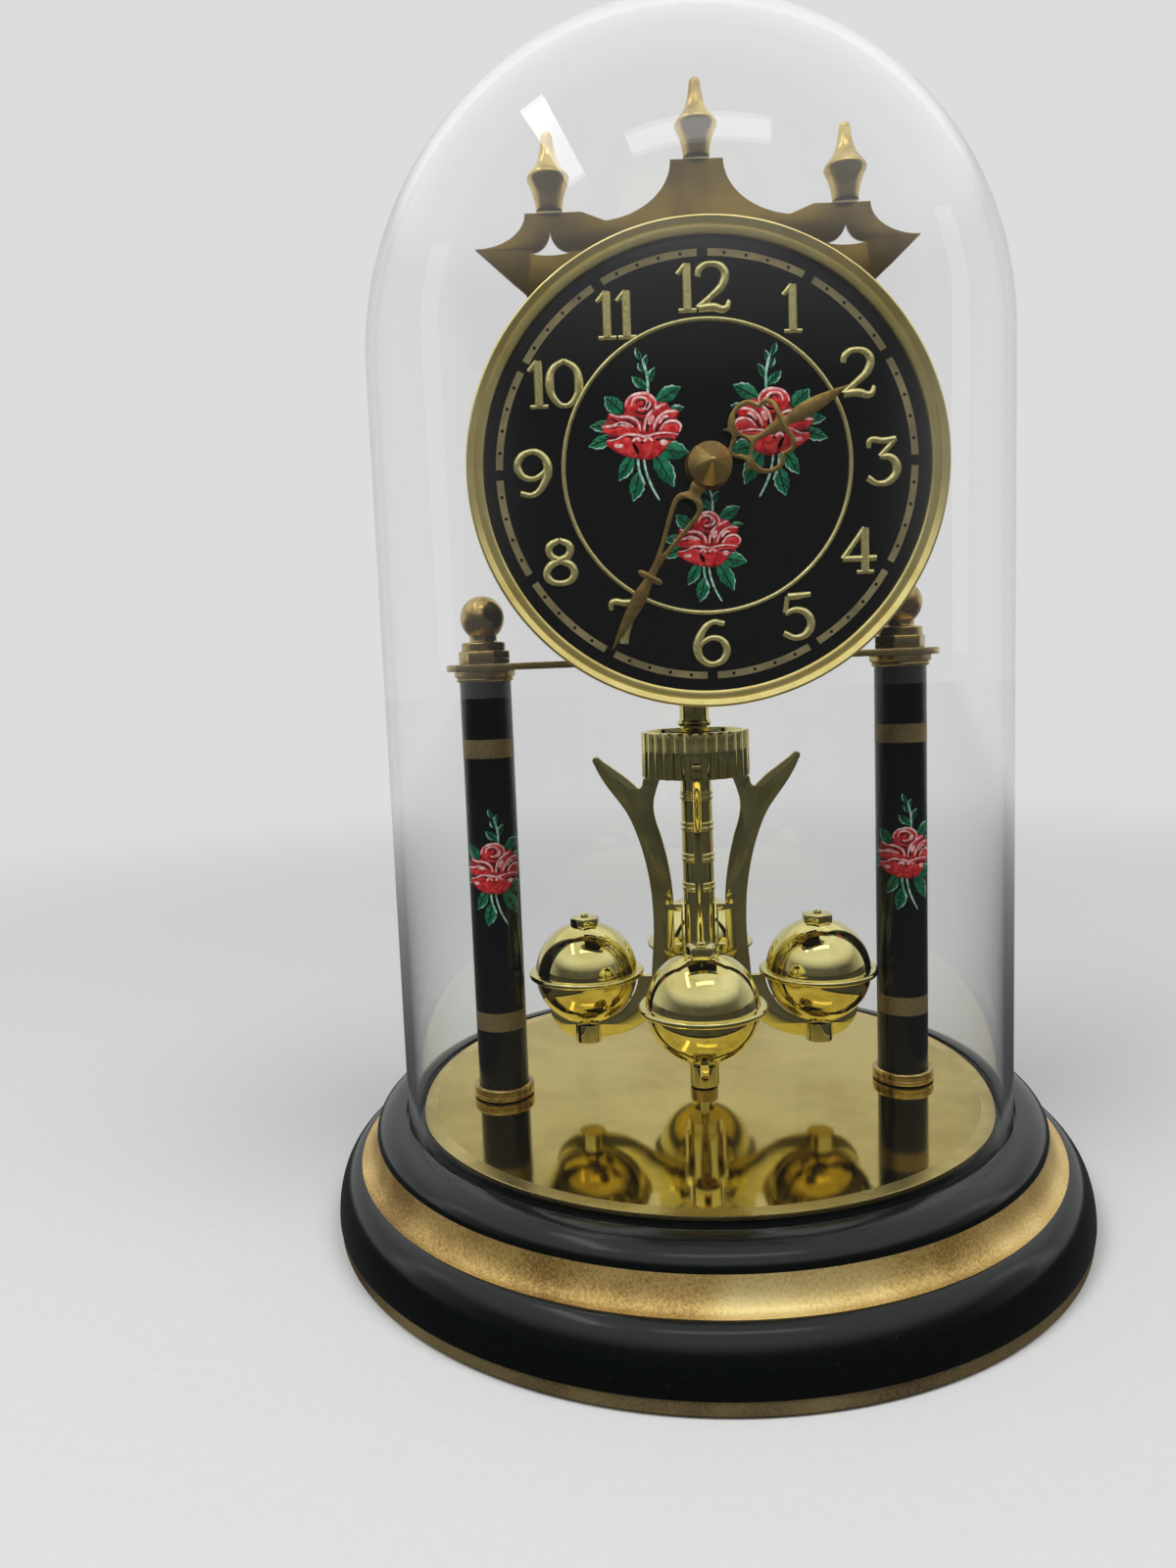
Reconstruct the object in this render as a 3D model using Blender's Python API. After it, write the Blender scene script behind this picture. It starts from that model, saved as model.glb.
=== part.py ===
"""Anniversary clock under a clear dome, as separate pieces at their real size.

The origin is the centre of the base on the table. The dial faces -Y and +Z is up.
Lengths are in metres.
"""
import math

import bmesh
import bpy
from mathutils import Matrix, Vector

# Clearances that every fit shares
SEAT_GAP = 0.0003
RUNNING_GAP = 0.0004
CUT_OVERRUN = 0.002
WELD_DISTANCE = 0.000005

# How finely round pieces are turned
WIDE_STEPS = 48
DOME_STEPS = 40
MIDDLE_STEPS = 20
BALL_STEPS = 18
SMALL_STEPS = 14
FINE_STEPS = 12
WHEEL_STEPS = 24
SHARP_ANGLE = math.radians(35)

# Base: a moulded shell with a gilt cove, a ballast plate and a bottom cover.
# Its mouldings are widths outwards from the dome's groove, and rises up from the table.
RIM_LAND = 0.0010
SHOULDER_WIDTH = 0.0054
COVE_WIDTH = 0.0030
LIP_WIDTH = 0.0005
BULGE_WIDTH = 0.0051
FOOT_STEP = 0.0003
FOOT_BAND_HEIGHT = 0.0032
FOOT_CHAMFER = 0.0007
BULGE_RISE = 0.0102
COVE_RISE = 0.0055
SHOULDER_RISE = 0.0039
DECK_DROP = 0.0004
GROOVE_DEPTH = 0.0012
DECK_THICKNESS = 0.0036
SHELL_WALL = 0.0030
FOOT_WALL = 0.0028
COVER_LEDGE = 0.0029
COVER_THICKNESS = 0.0016
COVER_RECESS_DEPTH = 0.0024
BALLAST_MARGIN = 0.0163
BALLAST_THICKNESS = 0.0030

# Brass deck plate and the dome round it
PLATE_THICKNESS = 0.0009
DOME_DIAL_GAP = 0.0048
DOME_WALL = 0.0018
DOME_SPRING_ABOVE_DIAL = 0.0259
DOME_RIM_GAP = 0.0004
DOME_PLATE_GAP = 0.0016
GUIDE_CUP_RADIUS = 0.0030
GUIDE_CUP_BORE = 0.0018
GUIDE_CUP_HEIGHT = 0.0026

# Two columns, each a painted tube on a threaded rod between two collars
PENDULUM_CLEARANCE = 0.0009
COLUMN_Y = -0.0040
COLUMN_RADIUS = 0.0054
COLUMN_WALL = 0.0010
LOWER_BAND_RISE = 0.0138
LOWER_BAND_WIDTH = 0.0040
UPPER_BAND_DROP = 0.0126
UPPER_BAND_WIDTH = 0.0039
BOTTOM_COLLAR_RADIUS = 0.0065
BOTTOM_COLLAR_HEIGHT = 0.0025
TOP_COLLAR_RADIUS = 0.0064
TOP_COLLAR_HEIGHT = 0.0020
COLUMN_HEIGHT = 0.0896
COLLAR_FLOOR = 0.0010
COLLAR_LIP = 0.0007
ROD_RADIUS = 0.0015
BOLT_HEAD_RADIUS = 0.0032
BOLT_HEAD_THICKNESS = 0.0024

# Strap across the columns, with a hex nut and a ball finial at each end
STRAP_WIDTH = 0.0150
STRAP_THICKNESS = 0.0014
STRAP_END_OVERHANG = 0.0080
STRAP_SHAFT_HOLE = 0.0026
HEX_NUT_RADIUS = 0.0054
HEX_NUT_THICKNESS = 0.0024
FINIAL_SHOULDER_RADIUS = 0.0044
FINIAL_SHOULDER_HEIGHT = 0.0015
FINIAL_NECK_RADIUS = 0.0030
FINIAL_NECK_HEIGHT = 0.0015
FINIAL_BALL_RADIUS = 0.0046
FINIAL_BORE_DEPTH = 0.0028
STRAP_SCREW_X = 0.0180
STRAP_SCREW_RADIUS = 0.0015
STRAP_SCREW_HEAD_RADIUS = 0.0028
STRAP_SCREW_HEAD_THICKNESS = 0.0013

# Dial: its frame is the middle of the dial's front face, +Z towards the viewer
DIAL_FACE_Y = -0.0385
DIAL_ABOVE_STRAP = 0.0323
DIAL_RADIUS = 0.0392
DIAL_THICKNESS = 0.0008
BEZEL_RIM = 0.0026
BEZEL_LIP_OVERLAP = 0.0002
BEZEL_PROUD = 0.0020
BEZEL_DEPTH = 0.0062
BEZEL_WALL = 0.0007
BEZEL_EDGE_ROUND = 0.0009
CHAPTER_WIDTH = 0.0010
RELIEF_HEIGHT = 0.0005
RELIEF_SEAT = 0.0001
NUMERAL_INSET = 0.0088
NUMERAL_SIZE = 0.0128
NUMERAL_WIDTH_SHARE = 0.68
NUMERAL_REACH_SHARE = 0.383
SPACER_RADIUS = 0.0120
BUSH_RADIUS = 0.0028
BUSH_BORE = 0.0021
DIAL_NUT_RADIUS = 0.0041
DIAL_NUT_THICKNESS = 0.0012

# Hands, as seen from the front, with the hand screw on the arbor
HAND_THICKNESS = 0.0004
HAND_SPACING = 0.0012
HOUR_HAND_LENGTH = 0.0278
HOUR_HAND_ANGLE = math.radians(62.5)
HOUR_HUB_RADIUS = 0.0034
MINUTE_HAND_LENGTH = 0.0360
MINUTE_HAND_ANGLE = math.radians(209.8)
MINUTE_HUB_RADIUS = 0.0030
HAND_NUT_RADIUS = 0.0038
HAND_NUT_LENGTH = 0.0046
HAND_NUT_TIP_RADIUS = 0.0006
ARBOR_RADIUS = 0.0008
PIPE_RADIUS = 0.0017
PIPE_BORE = 0.0012

# Hand outlines and windows: (distance along, distance aside) as shares of the hand's length
HOUR_EDGE_SHARES = [(0.133, 0.027), (0.192, 0.064), (0.213, 0.093), (0.178, 0.148), (0.212, 0.142),
                    (0.240, 0.185), (0.283, 0.217), (0.343, 0.237), (0.400, 0.230), (0.432, 0.198),
                    (0.441, 0.172), (0.490, 0.184), (0.525, 0.166), (0.545, 0.128), (0.544, 0.078),
                    (0.541, 0.040), (0.600, 0.040), (0.670, 0.049), (0.750, 0.047), (0.850, 0.032),
                    (0.940, 0.013)]
HOUR_FORK_SHARES = [(0.171, 0.012), (0.213, 0.040), (0.242, 0.066), (0.272, 0.038), (0.290, 0.006)]
HOUR_LOOP_SHARES = [(0.297, 0.192), (0.350, 0.208), (0.392, 0.200), (0.414, 0.176), (0.430, 0.152),
                    (0.470, 0.156), (0.508, 0.138), (0.519, 0.095), (0.506, 0.050), (0.450, 0.032),
                    (0.380, 0.018), (0.322, 0.027), (0.282, 0.060), (0.260, 0.104), (0.270, 0.152)]
MINUTE_EDGE_SHARES = [(0.098, 0.030), (0.125, 0.036), (0.152, 0.031), (0.168, 0.044), (0.186, 0.064),
                      (0.215, 0.074), (0.255, 0.072), (0.370, 0.048), (0.460, 0.029), (0.545, 0.019),
                      (0.588, 0.019), (0.592, 0.056), (0.604, 0.066), (0.616, 0.056), (0.620, 0.021),
                      (0.700, 0.034), (0.800, 0.030), (0.900, 0.018)]
MINUTE_LOOP_SHARES = [(0.188, 0.006), (0.196, 0.030), (0.216, 0.048), (0.255, 0.048), (0.370, 0.025),
                      (0.476, 0.002)]

# Crown: a flat sheet behind the dial, with three turned finials on its top edge
CROWN_THICKNESS = 0.0010
CROWN_CREST_RISE = 0.0116
CROWN_CREST_HALF_WIDTH = 0.0046
CROWN_DIP_RUN = 0.0111
CROWN_DIP_DROP = 0.0098
CROWN_SHOULDER_RUN = 0.0046
CROWN_SHOULDER_RISE = 0.0017
CROWN_SHOULDER_WIDTH = 0.0099
CROWN_WING_RUN = 0.0088
CROWN_TIP_DROP = 0.0057
CROWN_EDGE_RUN = 0.0085
CROWN_EDGE_DROP = 0.0079
CROWN_HUB_RADIUS = 0.0130
CROWN_WINDOW_INSET = 0.0043
CROWN_WINDOW_DEPTH = 0.0065
CROWN_WINDOW_HALF_WIDTH = 0.0034
CROWN_WINDOW_RISE = 0.0036
CROWN_WINDOW_DROP = 0.0006
SPIKE_HEIGHT = 0.0131
SPIKE_GIRDLE_RADIUS = 0.0037

# Crown finial outline: (share of the girdle's radius, share of the height), from its tip
SPIKE_PROFILE_SHARES = [(0.00, 1.000), (0.23, 0.970), (0.29, 0.880), (0.40, 0.710), (0.70, 0.535),
                        (0.98, 0.435), (1.00, 0.410), (0.90, 0.340), (0.70, 0.170), (0.62, 0.000),
                        (0.00, 0.000)]

# Movement: a case behind the dial that stands on the strap
BAY_END_WALL = 0.0013
BAY_FRONT_WALL = 0.0050
CASE_ABOVE_BATTERY = 0.0073
CASE_WALL = 0.0016
DRIVE_BAY_FRONT = 0.0078
CASE_CORNER = 0.0030
BATTERY_RADIUS = 0.0070
BATTERY_LENGTH = 0.0490
BATTERY_TIP_RADIUS = 0.0026
BATTERY_TIP_LENGTH = 0.0014
BATTERY_ABOVE_DIAL = 0.0120
BATTERY_COVER_END_GAP = 0.0032
BATTERY_COVER_EDGE_GAP = 0.0006
BATTERY_COVER_THICKNESS = 0.0016
CONTACT_THICKNESS = 0.0006
CONTACT_HALF_WIDTH = 0.0035
DRIVE_COIL_HALF_WIDTH = 0.0070
DRIVE_COIL_THICKNESS = 0.0055
DRIVE_MAGNET_RADIUS = 0.0052
DRIVE_MAGNET_THICKNESS = 0.0036

# Wheel train, each a disc and a pinion turned on one arbor
WHEEL_THICKNESS = 0.0009
PINION_THICKNESS = 0.0019
WHEEL_ARBOR_RADIUS = 0.0006
STEM_RADIUS = 0.0012
HOUR_WHEEL_RADIUS = 0.0072
SET_PINION_RADIUS = 0.0014
CANNON_PINION_RADIUS = 0.0026
CENTRE_WHEEL_RADIUS = 0.0070
THIRD_PINION_RADIUS = 0.0020
THIRD_WHEEL_RADIUS = 0.0064
ROTOR_PINION_RADIUS = 0.0016
ROTOR_RADIUS = 0.0030
ROTOR_LENGTH = 0.0040
TOOTH_DEPTH = 0.0003
THIRD_WHEEL_ANGLE = math.radians(50)
ROTOR_ANGLE = math.radians(-20)
SET_KNOB_RADIUS = 0.0055
SET_KNOB_LENGTH = 0.0050
MOTOR_COIL_RADIUS = 0.0036
MOTOR_COIL_LENGTH = 0.0200
MOTOR_COIL_MARGIN = 0.0038
MOTOR_COIL_DEPTH = 0.0082
MOTOR_COIL_CORE_RADIUS = 0.0014

# Pendulum: it hangs on the column line and carries four ringed balls
PENDULUM_ANGLE = math.radians(-5.5)
SLEEVE_RADIUS = 0.0031
SLEEVE_DROP = 0.0070
HANGER_RADIUS = 0.0012
CUP_RADIUS = 0.0114
CUP_DROP = 0.0071
CUP_HEIGHT = 0.0096
CUP_WALL = 0.0017
CUP_FLOOR = 0.0012
CUP_FLUTES = 28
CUP_FLUTE_DEPTH = 0.0003
TUBE_RADIUS = 0.0033
TUBE_RING_SHARES = (0.919, 0.780, 0.638, 0.505)
TUBE_RING_WIDTH = 0.0008
TUBE_RING_DEPTH = 0.0003
HUB_RADIUS = 0.0044
HUB_DROP = 0.0053
HUB_LENGTH = 0.0130
GUIDE_PIN_RADIUS = 0.0009
GUIDE_PIN_CLEARANCE = 0.0012
ARM_THICKNESS = 0.0016
ARM_OVERHANG = 0.0105
ARM_SIDES = ("front", "right", "back", "left")
HORN_ABOVE_CUP = 0.0045
RUNG_TOP_SHARE = 0.315
RUNG_HEIGHT = 0.0016
RUNG_SPACING = 0.0088
BALL_CIRCLE_RADIUS = 0.0250
BALL_ABOVE_PLATE = 0.0257
BALL_RADIUS = 0.0111
BALL_RING_WIDTH = 0.0014
BALL_RING_THICKNESS = 0.0012
BALL_CAP_RADIUS = 0.0032
BALL_CAP_HEIGHT = 0.0025
BALL_CAP_BEAD_RADIUS = 0.0009
BALL_STEM_RADIUS = 0.0029
BALL_STEM_LENGTH = 0.0040
CRADLE_RUN = 0.0082
CRADLE_DEPTH = 0.0038

# Arm outline: (share of the reach, share of the way from ball height to horn height)
ARM_ROOT_SHARE = 0.253
ARM_PRONG_INNER_SHARE = 0.345
ARM_PRONG_OUTER_SHARE = 0.510
ARM_INNER_SHARES = [(0.256, 0.360), (0.288, 0.492), (0.347, 0.621), (0.408, 0.721), (0.418, 0.781),
                    (0.394, 0.832)]
HORN_SHARES = [(0.553, 0.853), (0.603, 0.870), (0.667, 0.898), (0.781, 0.938), (0.895, 0.977),
               (0.968, 1.000), (1.000, 0.989)]
ARM_OUTER_SHARES = [(0.982, 0.962), (0.927, 0.909), (0.854, 0.855), (0.758, 0.794), (0.676, 0.735),
                    (0.580, 0.625), (0.516, 0.515), (0.479, 0.416), (0.461, 0.330), (0.457, 0.173),
                    (0.477, 0.061)]

# Cradle: (share of the way out, share of the way up) from below the ball to the hub
CRADLE_RISE_SHARES = [(0.85, 0.035), (0.70, 0.100), (0.55, 0.230), (0.40, 0.450), (0.20, 0.800)]

# Places that follow from the sizes above
BEZEL_RADIUS = DIAL_RADIUS + BEZEL_RIM
BEZEL_LIP_RADIUS = DIAL_RADIUS - BEZEL_LIP_OVERLAP
NUMERAL_RADIUS = DIAL_RADIUS - NUMERAL_INSET
CHAPTER_RADIUS = NUMERAL_RADIUS - NUMERAL_SIZE * NUMERAL_REACH_SHARE
BALL_RING_RADIUS = BALL_RADIUS + BALL_RING_WIDTH
COLUMN_X = BALL_CIRCLE_RADIUS + BALL_RING_RADIUS + PENDULUM_CLEARANCE + COLUMN_RADIUS
DOME_BORE_RADIUS = math.hypot(BEZEL_RADIUS, BEZEL_PROUD - DIAL_FACE_Y) + DOME_DIAL_GAP
DOME_RADIUS = DOME_BORE_RADIUS + DOME_WALL
RIM_RADIUS = DOME_RADIUS + DOME_RIM_GAP
PLATE_RADIUS = DOME_BORE_RADIUS - DOME_PLATE_GAP
SHOULDER_CREST_RADIUS = RIM_RADIUS + RIM_LAND
COVE_TOP_RADIUS = SHOULDER_CREST_RADIUS + SHOULDER_WIDTH
COVE_FOOT_RADIUS = COVE_TOP_RADIUS + COVE_WIDTH
LIP_RADIUS = COVE_FOOT_RADIUS + LIP_WIDTH
BASE_RADIUS = LIP_RADIUS + BULGE_WIDTH
FOOT_BAND_RADIUS = BASE_RADIUS - FOOT_STEP
RECESS_RADIUS = FOOT_BAND_RADIUS - FOOT_WALL
HOLLOW_RADIUS = RECESS_RADIUS - COVER_LEDGE
HOLLOW_TOP_RADIUS = COVE_TOP_RADIUS - SHELL_WALL
BALLAST_RADIUS = COLUMN_X + BALLAST_MARGIN
COVE_FOOT_HEIGHT = FOOT_BAND_HEIGHT + BULGE_RISE
COVE_TOP_HEIGHT = COVE_FOOT_HEIGHT + COVE_RISE
RIM_HEIGHT = COVE_TOP_HEIGHT + SHOULDER_RISE
DECK_HEIGHT = RIM_HEIGHT - DECK_DROP
GROOVE_FLOOR = DECK_HEIGHT - GROOVE_DEPTH
DECK_UNDERSIDE = GROOVE_FLOOR - DECK_THICKNESS
HOLLOW_STEP_HEIGHT = COVE_FOOT_HEIGHT - SHELL_WALL
PLATE_TOP = DECK_HEIGHT + SEAT_GAP + PLATE_THICKNESS
DOME_FOOT = GROOVE_FLOOR + SEAT_GAP
BALL_HEIGHT = PLATE_TOP + BALL_ABOVE_PLATE
HUB_TOP = BALL_HEIGHT - HUB_DROP
HUB_BOTTOM = HUB_TOP - HUB_LENGTH
ARM_REACH = CUP_RADIUS + ARM_OVERHANG
TOP_COLLAR_UNDERSIDE = PLATE_TOP + COLUMN_HEIGHT
BALLAST_BOTTOM = DECK_UNDERSIDE - SEAT_GAP - BALLAST_THICKNESS
COLLAR_BOTTOM = PLATE_TOP + SEAT_GAP
TUBE_BOTTOM = COLLAR_BOTTOM + COLLAR_FLOOR + SEAT_GAP
TOP_COLLAR_TOP = TOP_COLLAR_UNDERSIDE + TOP_COLLAR_HEIGHT
TUBE_TOP = TOP_COLLAR_TOP - COLLAR_FLOOR - SEAT_GAP
COLUMN_BANDS = ((TUBE_BOTTOM + LOWER_BAND_RISE, TUBE_BOTTOM + LOWER_BAND_RISE + LOWER_BAND_WIDTH),
                (TUBE_TOP - UPPER_BAND_DROP - UPPER_BAND_WIDTH, TUBE_TOP - UPPER_BAND_DROP))
STRAP_BOTTOM = TOP_COLLAR_TOP + SEAT_GAP
STRAP_TOP = STRAP_BOTTOM + STRAP_THICKNESS
HEX_NUT_BOTTOM = STRAP_TOP + SEAT_GAP
FINIAL_BOTTOM = HEX_NUT_BOTTOM + HEX_NUT_THICKNESS + SEAT_GAP
FINIAL_NECK_TOP = FINIAL_BOTTOM + FINIAL_SHOULDER_HEIGHT + FINIAL_NECK_HEIGHT
ROD_BOTTOM = BALLAST_BOTTOM - SEAT_GAP - BOLT_HEAD_THICKNESS
ROD_TOP = FINIAL_BOTTOM + FINIAL_BORE_DEPTH - SEAT_GAP
CASE_BOTTOM = STRAP_TOP + SEAT_GAP
DIAL_HEIGHT = CASE_BOTTOM + DIAL_ABOVE_STRAP
BATTERY_BAY_RADIUS = BATTERY_RADIUS + RUNNING_GAP
BATTERY_HEIGHT = DIAL_HEIGHT + BATTERY_ABOVE_DIAL
CASE_TOP = BATTERY_HEIGHT + BATTERY_BAY_RADIUS + CASE_ABOVE_BATTERY
DOME_SPRING_HEIGHT = DIAL_HEIGHT + DOME_SPRING_ABOVE_DIAL
BEZEL_BACK = BEZEL_PROUD - BEZEL_DEPTH
CROWN_FRONT = BEZEL_BACK - SEAT_GAP
CASE_FRONT = CROWN_FRONT - CROWN_THICKNESS - SEAT_GAP
CASE_FRONT_Y = DIAL_FACE_Y - CASE_FRONT
CASE_SPLIT_Y = COLUMN_Y - DRIVE_BAY_FRONT
BAY_END = BATTERY_LENGTH / 2 + SEAT_GAP + CONTACT_THICKNESS + SEAT_GAP
CASE_HALF_WIDTH = BAY_END + BAY_END_WALL
BATTERY_Y = CASE_SPLIT_Y + BAY_FRONT_WALL + BATTERY_BAY_RADIUS
CASE_BACK_Y = BATTERY_Y + BATTERY_BAY_RADIUS + RUNNING_GAP + BATTERY_COVER_THICKNESS
MOTOR_COIL_X = MOTOR_COIL_RADIUS + MOTOR_COIL_MARGIN + CASE_WALL - CASE_HALF_WIDTH
MOTOR_COIL_Y = CASE_SPLIT_Y - MOTOR_COIL_DEPTH
CASE_SPLIT = DIAL_FACE_Y - CASE_SPLIT_Y
TRAIN_FRONT = CASE_FRONT - CASE_WALL - SEAT_GAP
TRAIN_BACK = CASE_SPLIT + SEAT_GAP
HOUR_HAND_BACK = SEAT_GAP + DIAL_NUT_THICKNESS + SEAT_GAP
MINUTE_HAND_BACK = HOUR_HAND_BACK + HAND_SPACING
HAND_NUT_BACK = MINUTE_HAND_BACK + HAND_THICKNESS + SEAT_GAP
STEM_BELOW_DIAL = HOUR_WHEEL_RADIUS + SET_PINION_RADIUS + SEAT_GAP
MOTION_WHEEL_RADIUS = STEM_BELOW_DIAL - CANNON_PINION_RADIUS - SEAT_GAP
THIRD_DISTANCE = CENTRE_WHEEL_RADIUS + THIRD_PINION_RADIUS + SEAT_GAP
ROTOR_DISTANCE = THIRD_WHEEL_RADIUS + ROTOR_PINION_RADIUS + SEAT_GAP
FLANGE_BOTTOM = CASE_BOTTOM + CASE_WALL + SEAT_GAP
FLANGE_TOP = FLANGE_BOTTOM + COLLAR_FLOOR
MAGNET_TOP = FLANGE_TOP + SEAT_GAP + DRIVE_MAGNET_THICKNESS
SLEEVE_TOP = STRAP_BOTTOM - SLEEVE_DROP
CUP_TOP = SLEEVE_TOP - CUP_DROP
CUP_BOTTOM = CUP_TOP - CUP_HEIGHT
ARM_BLADE = CUP_BOTTOM + HORN_ABOVE_CUP - BALL_HEIGHT
RUNG_TOP = BALL_HEIGHT + ARM_BLADE * RUNG_TOP_SHARE
UNDER_CUP = CUP_BOTTOM - SEAT_GAP
BALL_LAND_HEIGHT = BALL_HEIGHT + math.sqrt(BALL_RADIUS ** 2 - BALL_CAP_RADIUS ** 2)
CROWN_CREST_HEIGHT = BEZEL_RADIUS + CROWN_CREST_RISE
CROWN_DIP_X = CROWN_CREST_HALF_WIDTH + CROWN_DIP_RUN
CROWN_DIP_HEIGHT = CROWN_CREST_HEIGHT - CROWN_DIP_DROP
CROWN_SHOULDER_INNER_X = CROWN_DIP_X + CROWN_SHOULDER_RUN
CROWN_SHOULDER_OUTER_X = CROWN_SHOULDER_INNER_X + CROWN_SHOULDER_WIDTH
CROWN_SHOULDER_HEIGHT = CROWN_DIP_HEIGHT + CROWN_SHOULDER_RISE
CROWN_HALF_WIDTH = CROWN_SHOULDER_OUTER_X + CROWN_WING_RUN
CROWN_TIP_HEIGHT = CROWN_SHOULDER_HEIGHT - CROWN_TIP_DROP
CROWN_EDGE_X = CROWN_HALF_WIDTH - CROWN_EDGE_RUN
CROWN_EDGE_HEIGHT = CROWN_TIP_HEIGHT - CROWN_EDGE_DROP
CROWN_WINDOW_X = CROWN_SHOULDER_OUTER_X - CROWN_WINDOW_INSET
CROWN_WINDOW_HEIGHT = CROWN_SHOULDER_HEIGHT - CROWN_WINDOW_DEPTH


def material(name, colour, roughness, metallic=0.0, transmission=0.0):
    """A Principled finish with one colour."""
    finish = bpy.data.materials.new(name)
    finish.use_nodes = True
    shader = finish.node_tree.nodes["Principled BSDF"]
    shader.inputs["Base Color"].default_value = (*colour, 1.0)
    shader.inputs["Roughness"].default_value = roughness
    shader.inputs["Metallic"].default_value = metallic
    shader.inputs["Transmission Weight"].default_value = transmission
    finish.diffuse_color = (*colour, 1.0)
    return finish


def empty(name, location, rotation=(0, 0, 0)):
    """A frame that carries pieces on a shared axis."""
    holder = bpy.data.objects.new(name, None)
    bpy.context.collection.objects.link(holder)
    holder.location = location
    holder.rotation_euler = rotation
    return holder


def piece(name, bm, finishes, parent=None, location=(0, 0, 0), rotation=(0, 0, 0)):
    """Turns finished mesh data into a named object with its material."""
    bmesh.ops.remove_doubles(bm, verts=bm.verts, dist=WELD_DISTANCE)
    bmesh.ops.recalc_face_normals(bm, faces=bm.faces)
    mesh = bpy.data.meshes.new(name)
    bm.to_mesh(mesh)
    bm.free()
    for finish in finishes if isinstance(finishes, (list, tuple)) else [finishes]:
        mesh.materials.append(finish)
    mesh.shade_smooth()
    mesh.set_sharp_from_angle(angle=SHARP_ANGLE)
    made = bpy.data.objects.new(name, mesh)
    bpy.context.collection.objects.link(made)
    made.parent = parent
    made.location = location
    made.rotation_euler = rotation
    return made


def turned_mesh(profile, steps, flute=None, painted=None):
    """Turns an outline of (radius, height) points about Z, with flutes and painted faces if asked."""
    bm = bmesh.new()
    points = [bm.verts.new((radius, 0, height)) for radius, height in profile]
    pairs = list(zip(points, points[1:]))
    if profile[0][0] > 0:
        pairs.append((points[-1], points[0]))
    edges = [bm.edges.new(pair) for pair in pairs]
    bmesh.ops.spin(bm, geom=points + edges, cent=(0, 0, 0), axis=(0, 0, 1), angle=math.tau,
                   steps=steps, use_merge=True)
    bmesh.ops.remove_doubles(bm, verts=bm.verts, dist=WELD_DISTANCE)
    if flute:
        least_radius, low, high, depth = flute
        for vert in bm.verts:
            radius = vert.co.xy.length
            turn = round(math.atan2(vert.co.y, vert.co.x) * steps / math.tau)
            if radius > least_radius and low <= vert.co.z <= high and turn % 2:
                vert.co.xy *= (radius - depth) / radius
    if painted:
        for face in bm.faces:
            centre = face.calc_center_median()
            face.material_index = int(painted(centre.xy.length, centre.z))
    return bm


def turned(name, profile, steps, finishes, parent=None, location=(0, 0, 0), rotation=(0, 0, 0),
           flute=None, painted=None):
    """A turned piece, as turned_mesh makes it."""
    bm = turned_mesh(profile, steps, flute, painted)
    return piece(name, bm, finishes, parent, location, rotation)


def sheet(name, loops, low, thickness, finish, parent=None, location=(0, 0, 0), rotation=(0, 0, 0)):
    """Outlines in the local XY plane, the first outside and the rest holes, made solid along Z."""
    bm = bmesh.new()
    edges = []
    for loop in loops:
        points = [bm.verts.new((x, y, low)) for x, y in loop]
        edges += [bm.edges.new((points[i - 1], points[i])) for i in range(len(points))]
    bmesh.ops.triangle_fill(bm, use_beauty=True, edges=edges)
    grown = bmesh.ops.extrude_face_region(bm, geom=list(bm.faces))
    raised = [item for item in grown["geom"] if isinstance(item, bmesh.types.BMVert)]
    bmesh.ops.translate(bm, verts=raised, vec=(0, 0, thickness))
    return piece(name, bm, finish, parent, location, rotation)


def ring_loop(radius, steps, x=0, y=0, start=0):
    """Points round a circle in the local XY plane."""
    turns = [start + math.tau * k / steps for k in range(steps)]
    return [(x + radius * math.cos(turn), y + radius * math.sin(turn)) for turn in turns]


def arc(centre_x, centre_y, half_width, half_height, start, end, steps):
    """Points on part of an ellipse, angles in degrees, with both ends."""
    turns = [math.radians(start + (end - start) * k / steps) for k in range(steps + 1)]
    return [(centre_x + half_width * math.cos(turn), centre_y + half_height * math.sin(turn))
            for turn in turns]


def mirrored(half):
    """Closes a right-hand outline, bottom to top, with its left-hand mirror image."""
    return half + [(-x, y) for x, y in reversed(half) if x > 0]


def cylinder(name, radius, low, high, steps, finish, **place):
    """A plain round bar between two heights."""
    return turned(name, [(0, high), (radius, high), (radius, low), (0, low)], steps, finish, **place)


def tool(shape):
    """Marks a shape as a tool for a Boolean, and not a piece of the clock."""
    shape.hide_render = True
    shape.display_type = "WIRE"
    return shape


def combine(target, other, operation, solver="EXACT"):
    """Cuts or joins a tool shape with a Boolean, which keeps the tool's own material."""
    change = target.modifiers.new(operation.lower(), "BOOLEAN")
    change.operation = operation
    change.solver = solver
    change.material_mode = "TRANSFER"
    change.object = tool(other)


def box(name, low, high, finish, parent=None, bevel=0):
    """A block between two corners, its upright or long edges rounded when a bevel is given."""
    bm = bmesh.new()
    size = Vector(high) - Vector(low)
    middle = (Vector(high) + Vector(low)) / 2
    bmesh.ops.create_cube(bm, size=1, matrix=Matrix.Translation(middle) @ Matrix.Diagonal((*size, 1)))
    if bevel:
        along_y = [edge for edge in bm.edges if abs((edge.verts[0].co - edge.verts[1].co).y) > 0
                   and abs((edge.verts[0].co - edge.verts[1].co).x) < WELD_DISTANCE
                   and abs((edge.verts[0].co - edge.verts[1].co).z) < WELD_DISTANCE]
        bmesh.ops.bevel(bm, geom=along_y, offset=bevel, segments=3, profile=0.5, affect="EDGES")
    return piece(name, bm, finish, parent)


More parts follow.
